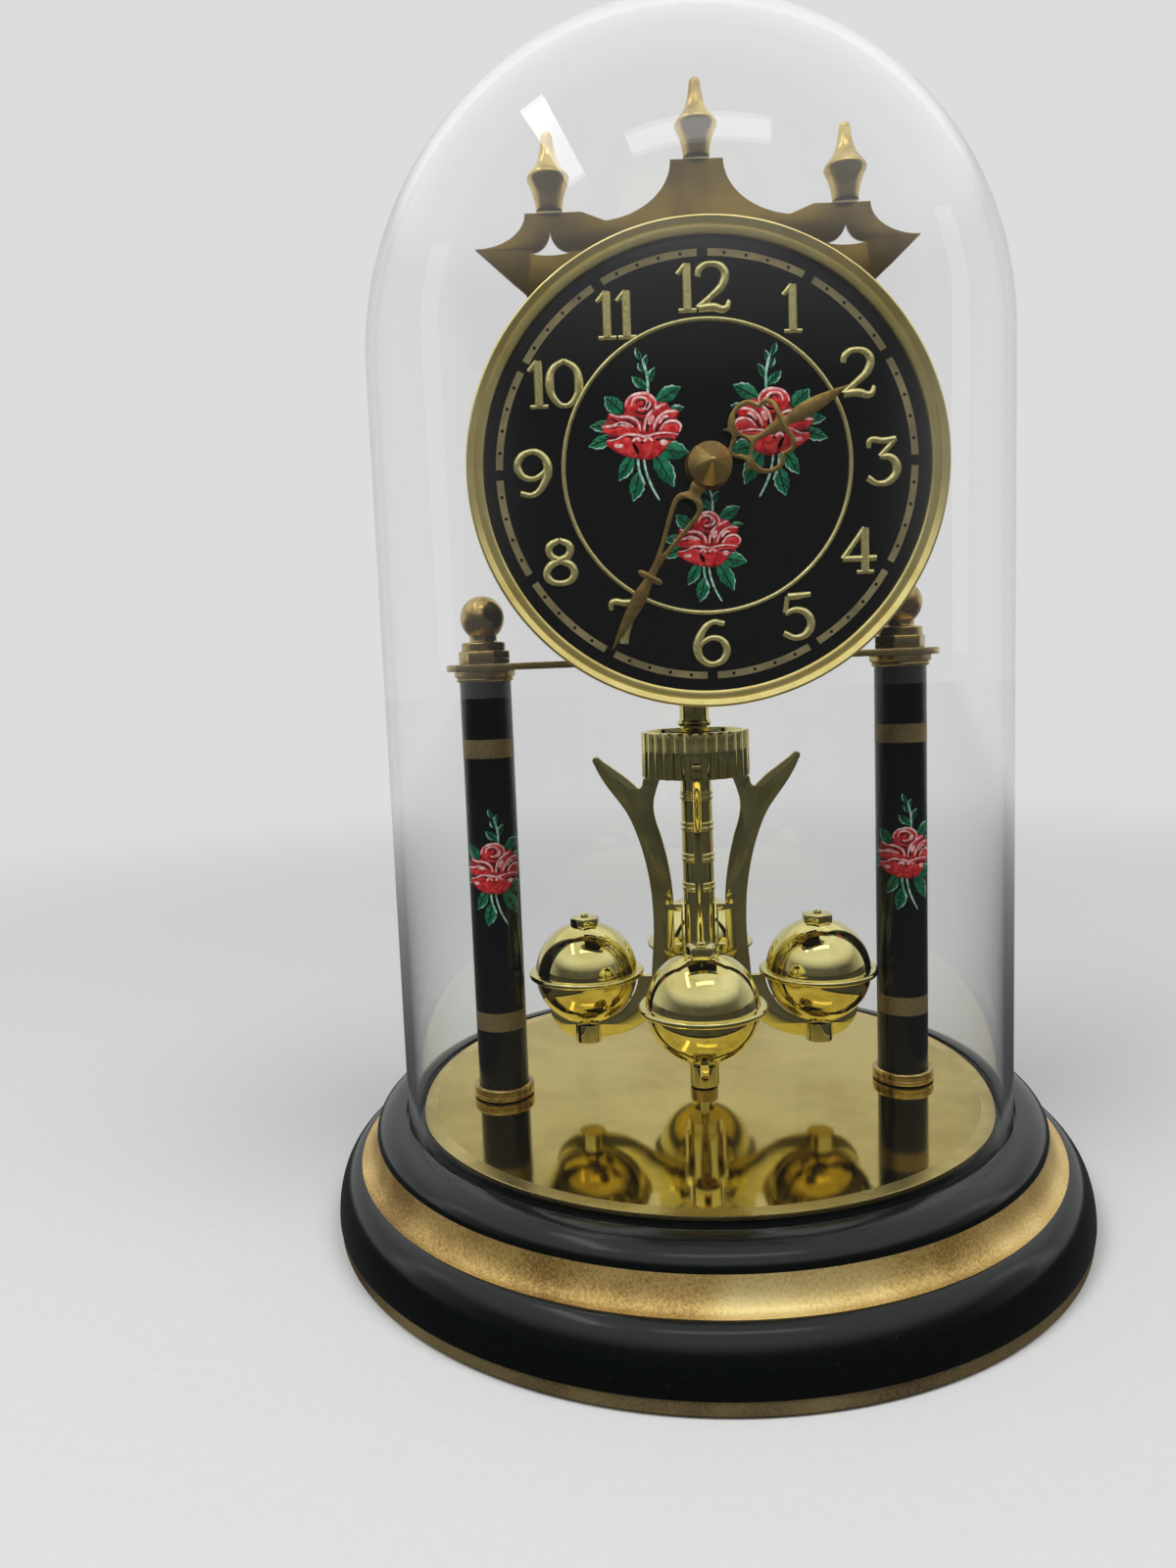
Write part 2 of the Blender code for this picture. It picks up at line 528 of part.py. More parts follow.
def base_outline():
    """Half section of the base shell, from the middle of the deck round to the middle below it."""
    top = [(0, DECK_HEIGHT), (PLATE_RADIUS, DECK_HEIGHT), (PLATE_RADIUS, GROOVE_FLOOR),
           (RIM_RADIUS, GROOVE_FLOOR), (RIM_RADIUS, RIM_HEIGHT)]
    shoulder = arc(SHOULDER_CREST_RADIUS, COVE_TOP_HEIGHT, COVE_TOP_RADIUS - SHOULDER_CREST_RADIUS,
                   RIM_HEIGHT - COVE_TOP_HEIGHT, 90, 0, 3)
    cove = arc(COVE_FOOT_RADIUS, COVE_TOP_HEIGHT, COVE_FOOT_RADIUS - COVE_TOP_RADIUS,
               COVE_TOP_HEIGHT - COVE_FOOT_HEIGHT, 180, 270, 3)
    bulge = arc(LIP_RADIUS, FOOT_BAND_HEIGHT, BASE_RADIUS - LIP_RADIUS,
                COVE_FOOT_HEIGHT - FOOT_BAND_HEIGHT, 90, 0, 4)
    foot = [(FOOT_BAND_RADIUS, FOOT_BAND_HEIGHT), (FOOT_BAND_RADIUS, FOOT_CHAMFER),
            (FOOT_BAND_RADIUS - FOOT_CHAMFER, 0)]
    inside = [(RECESS_RADIUS, 0), (RECESS_RADIUS, COVER_RECESS_DEPTH),
              (HOLLOW_RADIUS, COVER_RECESS_DEPTH), (HOLLOW_RADIUS, HOLLOW_STEP_HEIGHT),
              (HOLLOW_TOP_RADIUS, DECK_UNDERSIDE), (0, DECK_UNDERSIDE)]
    return top + shoulder + cove[1:] + bulge + foot + inside


def gilt_on_base(radius, height):
    """The cove and the foot band are gilt on the outside."""
    cove = COVE_FOOT_HEIGHT < height < COVE_TOP_HEIGHT and radius > COVE_TOP_RADIUS
    foot = height < FOOT_BAND_HEIGHT and radius > RECESS_RADIUS + FOOT_WALL / 2
    return cove or foot


def column_places():
    """The two columns, by the side that they stand on from the front."""
    return (("left", -COLUMN_X), ("right", COLUMN_X))


def make_base(finish):
    """Shell, ballast, bottom cover, deck plate, guide cup and the clear dome."""
    shell = turned("base_shell", base_outline(), WIDE_STEPS, [finish["black"], finish["gilt"]],
                   painted=gilt_on_base)
    for side, x in column_places():
        hole = cylinder(f"rod_hole_{side}", ROD_RADIUS + RUNNING_GAP, DECK_UNDERSIDE - CUT_OVERRUN,
                        DECK_HEIGHT + CUT_OVERRUN, FINE_STEPS, finish["black"],
                        location=(x, COLUMN_Y, 0))
        combine(shell, hole, "DIFFERENCE")
    rod_holes = [ring_loop(ROD_RADIUS + RUNNING_GAP, FINE_STEPS, x, COLUMN_Y)
                 for _, x in column_places()]
    sheet("ballast_plate", [ring_loop(BALLAST_RADIUS, MIDDLE_STEPS * 2), *rod_holes],
          BALLAST_BOTTOM, BALLAST_THICKNESS, finish["steel"])
    cover_bottom = COVER_RECESS_DEPTH - SEAT_GAP - COVER_THICKNESS
    cylinder("bottom_cover", RECESS_RADIUS - SEAT_GAP, cover_bottom, cover_bottom + COVER_THICKNESS,
             MIDDLE_STEPS * 2, finish["felt"])
    sheet("deck_plate", [ring_loop(PLATE_RADIUS, WIDE_STEPS), *rod_holes],
          DECK_HEIGHT + SEAT_GAP, PLATE_THICKNESS, finish["brass"])
    cup_bottom = PLATE_TOP + SEAT_GAP
    cup_top = cup_bottom + GUIDE_CUP_HEIGHT
    turned("guide_cup", [(0, cup_bottom), (GUIDE_CUP_RADIUS, cup_bottom), (GUIDE_CUP_RADIUS, cup_top),
                         (GUIDE_CUP_BORE, cup_top), (GUIDE_CUP_BORE, cup_bottom + COLLAR_FLOOR),
                         (0, cup_bottom + COLLAR_FLOOR)],
           SMALL_STEPS, finish["brass"], location=(0, COLUMN_Y, 0))


def make_dome(finish):
    """The clear dome: a cylinder and half a sphere, open at the foot."""
    outside = arc(0, DOME_SPRING_HEIGHT, DOME_RADIUS, DOME_RADIUS, 90, 0, 8)
    inside = arc(0, DOME_SPRING_HEIGHT, DOME_BORE_RADIUS, DOME_BORE_RADIUS, 0, 90, 8)
    outline = [(0, outside[0][1]), *outside[1:], (DOME_RADIUS, DOME_FOOT), (DOME_BORE_RADIUS, DOME_FOOT),
               *inside[:-1], (0, inside[-1][1])]
    turned("glass_dome", outline, DOME_STEPS, finish["glass"])


def make_columns(finish):
    """Tie bolts, tubes, collars, hex nuts and ball finials of both columns."""
    def banded(radius, height):
        inside_band = any(low < height < high for low, high in COLUMN_BANDS)
        return inside_band and radius > COLUMN_RADIUS - COLUMN_WALL / 2

    tube_bore = COLUMN_RADIUS - COLUMN_WALL
    band_edges = [edge for band in reversed(COLUMN_BANDS) for edge in reversed(band)]
    tube_outline = [(COLUMN_RADIUS, TUBE_TOP), *[(COLUMN_RADIUS, edge) for edge in band_edges],
                    (COLUMN_RADIUS, TUBE_BOTTOM), (tube_bore, TUBE_BOTTOM), (tube_bore, TUBE_TOP)]
    rod_bore = ROD_RADIUS + RUNNING_GAP
    head_top = ROD_BOTTOM + BOLT_HEAD_THICKNESS
    socket = COLUMN_RADIUS + SEAT_GAP
    low = COLLAR_BOTTOM
    high = COLLAR_BOTTOM + BOTTOM_COLLAR_HEIGHT
    bottom_collar = [(socket, high), (BOTTOM_COLLAR_RADIUS - COLLAR_LIP, high),
                     (BOTTOM_COLLAR_RADIUS, high - COLLAR_LIP), (BOTTOM_COLLAR_RADIUS, low),
                     (rod_bore, low), (rod_bore, low + COLLAR_FLOOR),
                     (socket, low + COLLAR_FLOOR)]
    top_collar = [(rod_bore, TOP_COLLAR_TOP), (TOP_COLLAR_RADIUS, TOP_COLLAR_TOP),
                  (TOP_COLLAR_RADIUS, TOP_COLLAR_UNDERSIDE + COLLAR_LIP),
                  (TOP_COLLAR_RADIUS - COLLAR_LIP, TOP_COLLAR_UNDERSIDE),
                  (socket, TOP_COLLAR_UNDERSIDE), (socket, TOP_COLLAR_TOP - COLLAR_FLOOR),
                  (rod_bore, TOP_COLLAR_TOP - COLLAR_FLOOR)]
    ball_middle = FINIAL_NECK_TOP + math.sqrt(FINIAL_BALL_RADIUS ** 2 - FINIAL_NECK_RADIUS ** 2)
    lowest = math.degrees(math.asin((FINIAL_NECK_TOP - ball_middle) / FINIAL_BALL_RADIUS))
    ball = arc(0, ball_middle, FINIAL_BALL_RADIUS, FINIAL_BALL_RADIUS, 90, lowest, 6)
    shoulder_top = FINIAL_BOTTOM + FINIAL_SHOULDER_HEIGHT
    finial = [(0, ball[0][1]), *ball[1:], (FINIAL_NECK_RADIUS, shoulder_top),
              (FINIAL_SHOULDER_RADIUS, shoulder_top), (FINIAL_SHOULDER_RADIUS, FINIAL_BOTTOM),
              (rod_bore, FINIAL_BOTTOM), (rod_bore, FINIAL_BOTTOM + FINIAL_BORE_DEPTH),
              (0, FINIAL_BOTTOM + FINIAL_BORE_DEPTH)]
    for side, x in column_places():
        place = {"location": (x, COLUMN_Y, 0)}
        turned(f"{side}_tie_bolt", [(0, ROD_TOP), (ROD_RADIUS, ROD_TOP), (ROD_RADIUS, head_top),
                                    (BOLT_HEAD_RADIUS, head_top), (BOLT_HEAD_RADIUS, ROD_BOTTOM),
                                    (0, ROD_BOTTOM)], FINE_STEPS, finish["steel"], **place)
        turned(f"{side}_column_tube", tube_outline, MIDDLE_STEPS, [finish["black"], finish["gilt"]],
               painted=banded, **place)
        turned(f"{side}_bottom_collar", bottom_collar, MIDDLE_STEPS, finish["aged"], **place)
        turned(f"{side}_top_collar", top_collar, MIDDLE_STEPS, finish["aged"], **place)
        turned(f"{side}_ball_finial", finial, BALL_STEPS, finish["aged"], **place)
        sheet(f"{side}_hex_nut", [ring_loop(HEX_NUT_RADIUS, 6), ring_loop(rod_bore, FINE_STEPS)],
              HEX_NUT_BOTTOM, HEX_NUT_THICKNESS, finish["aged"], **place)


def strap_outline():
    """A bar with round ends, half as round as it is wide."""
    reach = COLUMN_X + STRAP_END_OVERHANG
    half = STRAP_WIDTH / 2
    right = arc(reach - half, COLUMN_Y, half, half, -90, 90, 8)
    left = arc(half - reach, COLUMN_Y, half, half, 90, 270, 8)
    return right + left


def strap_screw_places():
    """Both screws that hold the case down, beside the pendulum's shaft."""
    return ((-STRAP_SCREW_X, COLUMN_Y), (STRAP_SCREW_X, COLUMN_Y))


def make_strap(finish):
    """The strap, with holes for the rods, the case screws and the pendulum's shaft."""
    holes = [ring_loop(ROD_RADIUS + RUNNING_GAP, FINE_STEPS, x, COLUMN_Y)
             for _, x in column_places()]
    holes += [ring_loop(STRAP_SCREW_RADIUS + RUNNING_GAP, FINE_STEPS, x, y)
              for x, y in strap_screw_places()]
    holes.append(ring_loop(STRAP_SHAFT_HOLE, SMALL_STEPS, 0, COLUMN_Y))
    sheet("strap", [strap_outline(), *holes], STRAP_BOTTOM, STRAP_THICKNESS, finish["aged"])
    head_top = STRAP_BOTTOM - SEAT_GAP
    head_bottom = head_top - STRAP_SCREW_HEAD_THICKNESS
    screw_top = CASE_BOTTOM + CASE_WALL + STRAP_SCREW_HEAD_THICKNESS
    outline = [(0, screw_top), (STRAP_SCREW_RADIUS, screw_top), (STRAP_SCREW_RADIUS, head_top),
               (STRAP_SCREW_HEAD_RADIUS, head_top), (STRAP_SCREW_HEAD_RADIUS, head_bottom),
               (0, head_bottom)]
    for side, (x, y) in zip(("left", "right"), strap_screw_places()):
        turned(f"{side}_case_screw", outline, FINE_STEPS, finish["steel"], location=(x, y, 0))


def dial_frame(name):
    """A frame on the dial's axis: X right and Y up as seen from the front, Z towards the viewer."""
    return empty(name, (0, DIAL_FACE_Y, DIAL_HEIGHT), (math.radians(90), 0, 0))


def numeral_places():
    """Each hour with its place on the dial."""
    for hour in range(1, 13):
        turn = math.tau * hour / 12
        yield hour, NUMERAL_RADIUS * math.sin(turn), NUMERAL_RADIUS * math.cos(turn)


def numeral_relief(frame, finish):
    """Plain relief numerals, whose lower faces lie inside the dial plate."""
    bm = bmesh.new()
    for hour, x, y in numeral_places():
        text = bpy.data.curves.new(f"hour_{hour}", "FONT")
        text.body = str(hour)
        text.align_x = "CENTER"
        text.align_y = "CENTER"
        text.size = NUMERAL_SIZE
        text.resolution_u = 2
        text.extrude = RELIEF_HEIGHT / 2
        writing = bpy.data.objects.new(f"hour_{hour}", text)
        bpy.context.collection.objects.link(writing)
        bpy.context.view_layer.update()
        shape = writing.to_mesh()
        low = [min(vert.co[axis] for vert in shape.vertices) for axis in range(2)]
        high = [max(vert.co[axis] for vert in shape.vertices) for axis in range(2)]
        middle = Vector(((low[0] + high[0]) / 2, (low[1] + high[1]) / 2, 0))
        narrow = Matrix.Diagonal((NUMERAL_WIDTH_SHARE, 1, 1, 1))
        place = Matrix.Translation(Vector((x, y, RELIEF_HEIGHT / 2 - RELIEF_SEAT)))
        shape.transform(place @ narrow @ Matrix.Translation(-middle))
        bm.from_mesh(shape)
        writing.to_mesh_clear()
        bpy.data.objects.remove(writing, do_unlink=True)
    return piece("numerals", bm, finish["bright"], frame)


def make_dial(finish):
    """Dial plate, bezel, relief ring, numerals, spacer and dial nut."""
    frame = dial_frame("dial_frame")
    bore = BUSH_RADIUS + RUNNING_GAP
    plate = sheet("dial_plate", [ring_loop(DIAL_RADIUS, WIDE_STEPS), ring_loop(bore, FINE_STEPS)],
                  -DIAL_THICKNESS, DIAL_THICKNESS, finish["black"], frame)
    relief = numeral_relief(frame, finish)
    for flat in (plate, relief):
        flat.data.shade_flat()
    combine(plate, relief, "UNION", "MANIFOLD")
    shelf = DIAL_RADIUS + SEAT_GAP
    skin = BEZEL_RADIUS - BEZEL_WALL
    front = [(BEZEL_LIP_RADIUS - BEZEL_WALL, SEAT_GAP), (BEZEL_LIP_RADIUS, BEZEL_PROUD),
             (BEZEL_RADIUS - BEZEL_EDGE_ROUND, BEZEL_PROUD - BEZEL_WALL / 2),
             (BEZEL_RADIUS, BEZEL_PROUD - BEZEL_EDGE_ROUND)]
    back = [(BEZEL_RADIUS, BEZEL_BACK), (skin, BEZEL_BACK), (skin, -DIAL_THICKNESS),
            (shelf, -DIAL_THICKNESS), (shelf, SEAT_GAP)]
    turned("bezel", front + back, WIDE_STEPS, finish["bright"], frame)
    turned("chapter_ring", [(CHAPTER_RADIUS - CHAPTER_WIDTH, SEAT_GAP),
                            (CHAPTER_RADIUS - CHAPTER_WIDTH / 2, SEAT_GAP + RELIEF_HEIGHT),
                            (CHAPTER_RADIUS, SEAT_GAP)],
           MIDDLE_STEPS * 2, finish["bright"], frame)
    spacer_front = -DIAL_THICKNESS - SEAT_GAP
    spacer_back = CROWN_FRONT + SEAT_GAP
    turned("dial_spacer", [(bore, spacer_front), (SPACER_RADIUS, spacer_front),
                           (SPACER_RADIUS, spacer_back), (bore, spacer_back)],
           MIDDLE_STEPS, finish["grey"], frame)
    sheet("dial_nut", [ring_loop(DIAL_NUT_RADIUS, MIDDLE_STEPS), ring_loop(bore, FINE_STEPS)],
          SEAT_GAP, DIAL_NUT_THICKNESS, finish["aged"], frame)


def across(shares, length, side=1):
    """Places on a hand that points up, on its right or, with side -1, on its left."""
    return [(side * aside * length, along * length) for along, aside in shares]


def hand_loops(length, hub_radius, bore, edge_shares, middle_shares, side_shares=()):
    """Outline, hub bore and windows of a hand that points up: one in the middle and a pair beside it."""
    hub = arc(0, 0, hub_radius, hub_radius, -90, 62, 7)
    outline = mirrored(hub[1:] + across(edge_shares, length) + [(0, length)])
    outline.append(hub[0])
    loops = [outline, ring_loop(bore, FINE_STEPS), mirrored(across(middle_shares, length))]
    if side_shares:
        loops += [across(side_shares, length), across(side_shares, length, -1)]
    return loops


def make_hands(finish):
    """Hour hand on its pipe, minute hand, and the cone nut on the arbor."""
    hour_frame = dial_frame("hour_axis")
    minute_frame = dial_frame("minute_axis")
    hour_loops = hand_loops(HOUR_HAND_LENGTH, HOUR_HUB_RADIUS, PIPE_RADIUS + SEAT_GAP,
                            HOUR_EDGE_SHARES, HOUR_FORK_SHARES, HOUR_LOOP_SHARES)
    sheet("hour_hand", hour_loops, HOUR_HAND_BACK, HAND_THICKNESS, finish["gold"], hour_frame,
          rotation=(0, 0, -HOUR_HAND_ANGLE))
    minute_loops = hand_loops(MINUTE_HAND_LENGTH, MINUTE_HUB_RADIUS, ARBOR_RADIUS + SEAT_GAP,
                              MINUTE_EDGE_SHARES, MINUTE_LOOP_SHARES)
    sheet("minute_hand", minute_loops, MINUTE_HAND_BACK, HAND_THICKNESS, finish["gold"], minute_frame,
          rotation=(0, 0, -MINUTE_HAND_ANGLE))
    tip = HAND_NUT_BACK + HAND_NUT_LENGTH
    shaft_bore = ARBOR_RADIUS + SEAT_GAP
    bore_end = HAND_NUT_BACK + HAND_NUT_LENGTH / 2
    turned("hand_nut", [(0, tip), (HAND_NUT_TIP_RADIUS, tip - HAND_NUT_TIP_RADIUS / 2),
                        (HAND_NUT_RADIUS, HAND_NUT_BACK + COLLAR_LIP), (HAND_NUT_RADIUS, HAND_NUT_BACK),
                        (shaft_bore, HAND_NUT_BACK), (shaft_bore, bore_end), (0, bore_end)],
           SMALL_STEPS, finish["aged"], minute_frame)
    return hour_frame, minute_frame


def crown_outline():
    """Right half of the crown, from its hub up to the crest, then mirrored."""
    lower = arc(0, 0, CROWN_HUB_RADIUS, CROWN_HUB_RADIUS, -90, 0, 3)
    lower[0] = (0, -CROWN_HUB_RADIUS)
    wing = [(CROWN_EDGE_X, CROWN_EDGE_HEIGHT), (CROWN_HALF_WIDTH, CROWN_TIP_HEIGHT)]
    scoop = arc(CROWN_HALF_WIDTH, CROWN_SHOULDER_HEIGHT, CROWN_HALF_WIDTH - CROWN_SHOULDER_OUTER_X,
                CROWN_SHOULDER_HEIGHT - CROWN_TIP_HEIGHT, 270, 180, 4)
    shoulder = [(CROWN_SHOULDER_INNER_X, CROWN_SHOULDER_HEIGHT)]
    dip = arc(CROWN_DIP_X + CROWN_CREST_HALF_WIDTH / 2, CROWN_CREST_HEIGHT,
              CROWN_DIP_X - CROWN_CREST_HALF_WIDTH / 2, CROWN_CREST_HEIGHT - CROWN_DIP_HEIGHT, 262, 180, 6)
    crest = [(CROWN_CREST_HALF_WIDTH, CROWN_CREST_HEIGHT)]
    right = lower + wing + scoop[1:] + shoulder + dip[:-1] + crest
    return mirrored(right)


def crown_windows():
    """The two small curved triangles in the wings, each with a low arc and two hollow sides."""
    side_x = CROWN_WINDOW_HALF_WIDTH / 3
    side_z = CROWN_WINDOW_HEIGHT + CROWN_WINDOW_RISE / 3
    top_z = CROWN_WINDOW_HEIGHT + CROWN_WINDOW_RISE
    windows = []
    for middle in (-CROWN_WINDOW_X, CROWN_WINDOW_X):
        base = arc(middle, CROWN_WINDOW_HEIGHT, CROWN_WINDOW_HALF_WIDTH, CROWN_WINDOW_DROP, 180, 360, 4)
        windows.append(base + [(middle + side_x, side_z), (middle, top_z), (middle - side_x, side_z)])
    return windows


def make_crown(finish):
    """The crown sheet and its three turned finials, which stand on its top edge."""
    frame = dial_frame("crown_frame")
    bore = ring_loop(BUSH_RADIUS + RUNNING_GAP, FINE_STEPS)
    crown_back = CROWN_FRONT - CROWN_THICKNESS
    sheet("crown_plate", [crown_outline(), bore, *crown_windows()], crown_back, CROWN_THICKNESS,
          finish["brushed"], frame)
    outline = [(radius * SPIKE_GIRDLE_RADIUS, height * SPIKE_HEIGHT)
               for radius, height in SPIKE_PROFILE_SHARES]
    middle_y = DIAL_FACE_Y - crown_back - CROWN_THICKNESS / 2
    places = (("centre", 0, CROWN_CREST_HEIGHT), ("left", -CROWN_WINDOW_X, CROWN_SHOULDER_HEIGHT),
              ("right", CROWN_WINDOW_X, CROWN_SHOULDER_HEIGHT))
    for side, x, height in places:
        turned(f"{side}_crown_finial", outline, FINE_STEPS, finish["brushed"],
               location=(x, middle_y, DIAL_HEIGHT + height + SEAT_GAP))


def make_case(finish):
    """Front case with its threaded bush, back case, battery, contacts and battery cover."""
    inner = CASE_HALF_WIDTH - CASE_WALL
    front = box("movement_case", (-CASE_HALF_WIDTH, CASE_FRONT_Y, CASE_BOTTOM),
                (CASE_HALF_WIDTH, CASE_SPLIT_Y, CASE_TOP), finish["case"], bevel=CASE_CORNER)
    combine(front, box("front_hollow", (-inner, CASE_FRONT_Y + CASE_WALL, CASE_BOTTOM + CASE_WALL),
                       (inner, CASE_SPLIT_Y + CUT_OVERRUN, CASE_TOP - CASE_WALL), finish["case"],
                       bevel=CASE_CORNER - CASE_WALL / 2), "DIFFERENCE")
    dial_side = {"location": (0, DIAL_FACE_Y, DIAL_HEIGHT), "rotation": (math.radians(90), 0, 0)}
    bush_back = CASE_FRONT - CASE_WALL
    bush_front = SEAT_GAP + DIAL_NUT_THICKNESS
    combine(front, cylinder("bush", BUSH_RADIUS, bush_back + CASE_WALL / 3, bush_front, SMALL_STEPS,
                            finish["case"], **dial_side), "UNION")
    combine(front, cylinder("bush_bore", BUSH_BORE, bush_back - CUT_OVERRUN, bush_front + CUT_OVERRUN,
                            SMALL_STEPS, finish["case"], **dial_side), "DIFFERENCE")
    back_front_y = CASE_SPLIT_Y + SEAT_GAP
    back = box("movement_back", (-CASE_HALF_WIDTH, back_front_y, CASE_BOTTOM),
               (CASE_HALF_WIDTH, CASE_BACK_Y, CASE_TOP), finish["case"], bevel=CASE_CORNER)
    bay_low = (-BAY_END, BATTERY_Y - BATTERY_BAY_RADIUS, BATTERY_HEIGHT - BATTERY_BAY_RADIUS)
    bay_high = (BAY_END, CASE_BACK_Y + CUT_OVERRUN, BATTERY_HEIGHT + BATTERY_BAY_RADIUS)
    combine(back, box("battery_bay", bay_low, bay_high, finish["case"]), "DIFFERENCE")
    coil_top = DIAL_HEIGHT - STEM_BELOW_DIAL - SET_KNOB_RADIUS / 2
    combine(back, box("drive_bay", (-inner, back_front_y - CUT_OVERRUN, CASE_BOTTOM + CASE_WALL),
                      (inner, CASE_BACK_Y - CASE_WALL, coil_top), finish["case"]), "DIFFERENCE")
    shaft_place = {"location": (0, COLUMN_Y, 0)}
    combine(back, cylinder("shaft_hole", HANGER_RADIUS + RUNNING_GAP, CASE_BOTTOM - CUT_OVERRUN,
                           CASE_BOTTOM + CASE_WALL + CUT_OVERRUN, FINE_STEPS, finish["case"],
                           **shaft_place), "DIFFERENCE")
    for x, y in strap_screw_places():
        combine(back, cylinder("screw_hole", STRAP_SCREW_RADIUS + SEAT_GAP, CASE_BOTTOM - CUT_OVERRUN,
                               CASE_BOTTOM + CASE_WALL + CUT_OVERRUN, FINE_STEPS, finish["case"],
                               location=(x, y, 0)), "DIFFERENCE")
    combine(back, cylinder("stem_hole", STEM_RADIUS + RUNNING_GAP,
                           CASE_SPLIT - (CASE_BACK_Y - CASE_SPLIT_Y) - CUT_OVERRUN,
                           CASE_SPLIT + CUT_OVERRUN, FINE_STEPS, finish["case"],
                           location=(0, DIAL_FACE_Y, DIAL_HEIGHT - STEM_BELOW_DIAL),
                           rotation=(math.radians(90), 0, 0)), "DIFFERENCE")
    sideways = {"location": (0, BATTERY_Y, BATTERY_HEIGHT), "rotation": (0, math.radians(90), 0)}
    half = BATTERY_LENGTH / 2
    turned("battery", [(0, half), (BATTERY_TIP_RADIUS, half),
                       (BATTERY_TIP_RADIUS, half - BATTERY_TIP_LENGTH),
                       (BATTERY_RADIUS, half - BATTERY_TIP_LENGTH), (BATTERY_RADIUS, -half), (0, -half)],
           SMALL_STEPS, finish["battery"], **sideways)
    for side, x in (("left", -half - SEAT_GAP - CONTACT_THICKNESS), ("right", half + SEAT_GAP)):
        low = (x, BATTERY_Y - CONTACT_HALF_WIDTH, BATTERY_HEIGHT - BATTERY_BAY_RADIUS + SEAT_GAP)
        high = (x + CONTACT_THICKNESS, BATTERY_Y + CONTACT_HALF_WIDTH, BATTERY_HEIGHT + CONTACT_HALF_WIDTH)
        box(f"{side}_battery_contact", low, high, finish["steel"])
    cover_x = BAY_END - BATTERY_COVER_END_GAP
    cover_z = BATTERY_BAY_RADIUS - BATTERY_COVER_EDGE_GAP
    box("battery_cover", (-cover_x, CASE_BACK_Y - BATTERY_COVER_THICKNESS, BATTERY_HEIGHT - cover_z),
        (cover_x, CASE_BACK_Y, BATTERY_HEIGHT + cover_z), finish["case"])
    coil_bottom = MAGNET_TOP + RUNNING_GAP
    box("drive_coil", (-DRIVE_COIL_HALF_WIDTH, back_front_y, coil_bottom),
        (DRIVE_COIL_HALF_WIDTH, CASE_BACK_Y - CASE_WALL - SEAT_GAP, coil_bottom + DRIVE_COIL_THICKNESS),
        finish["copper"])


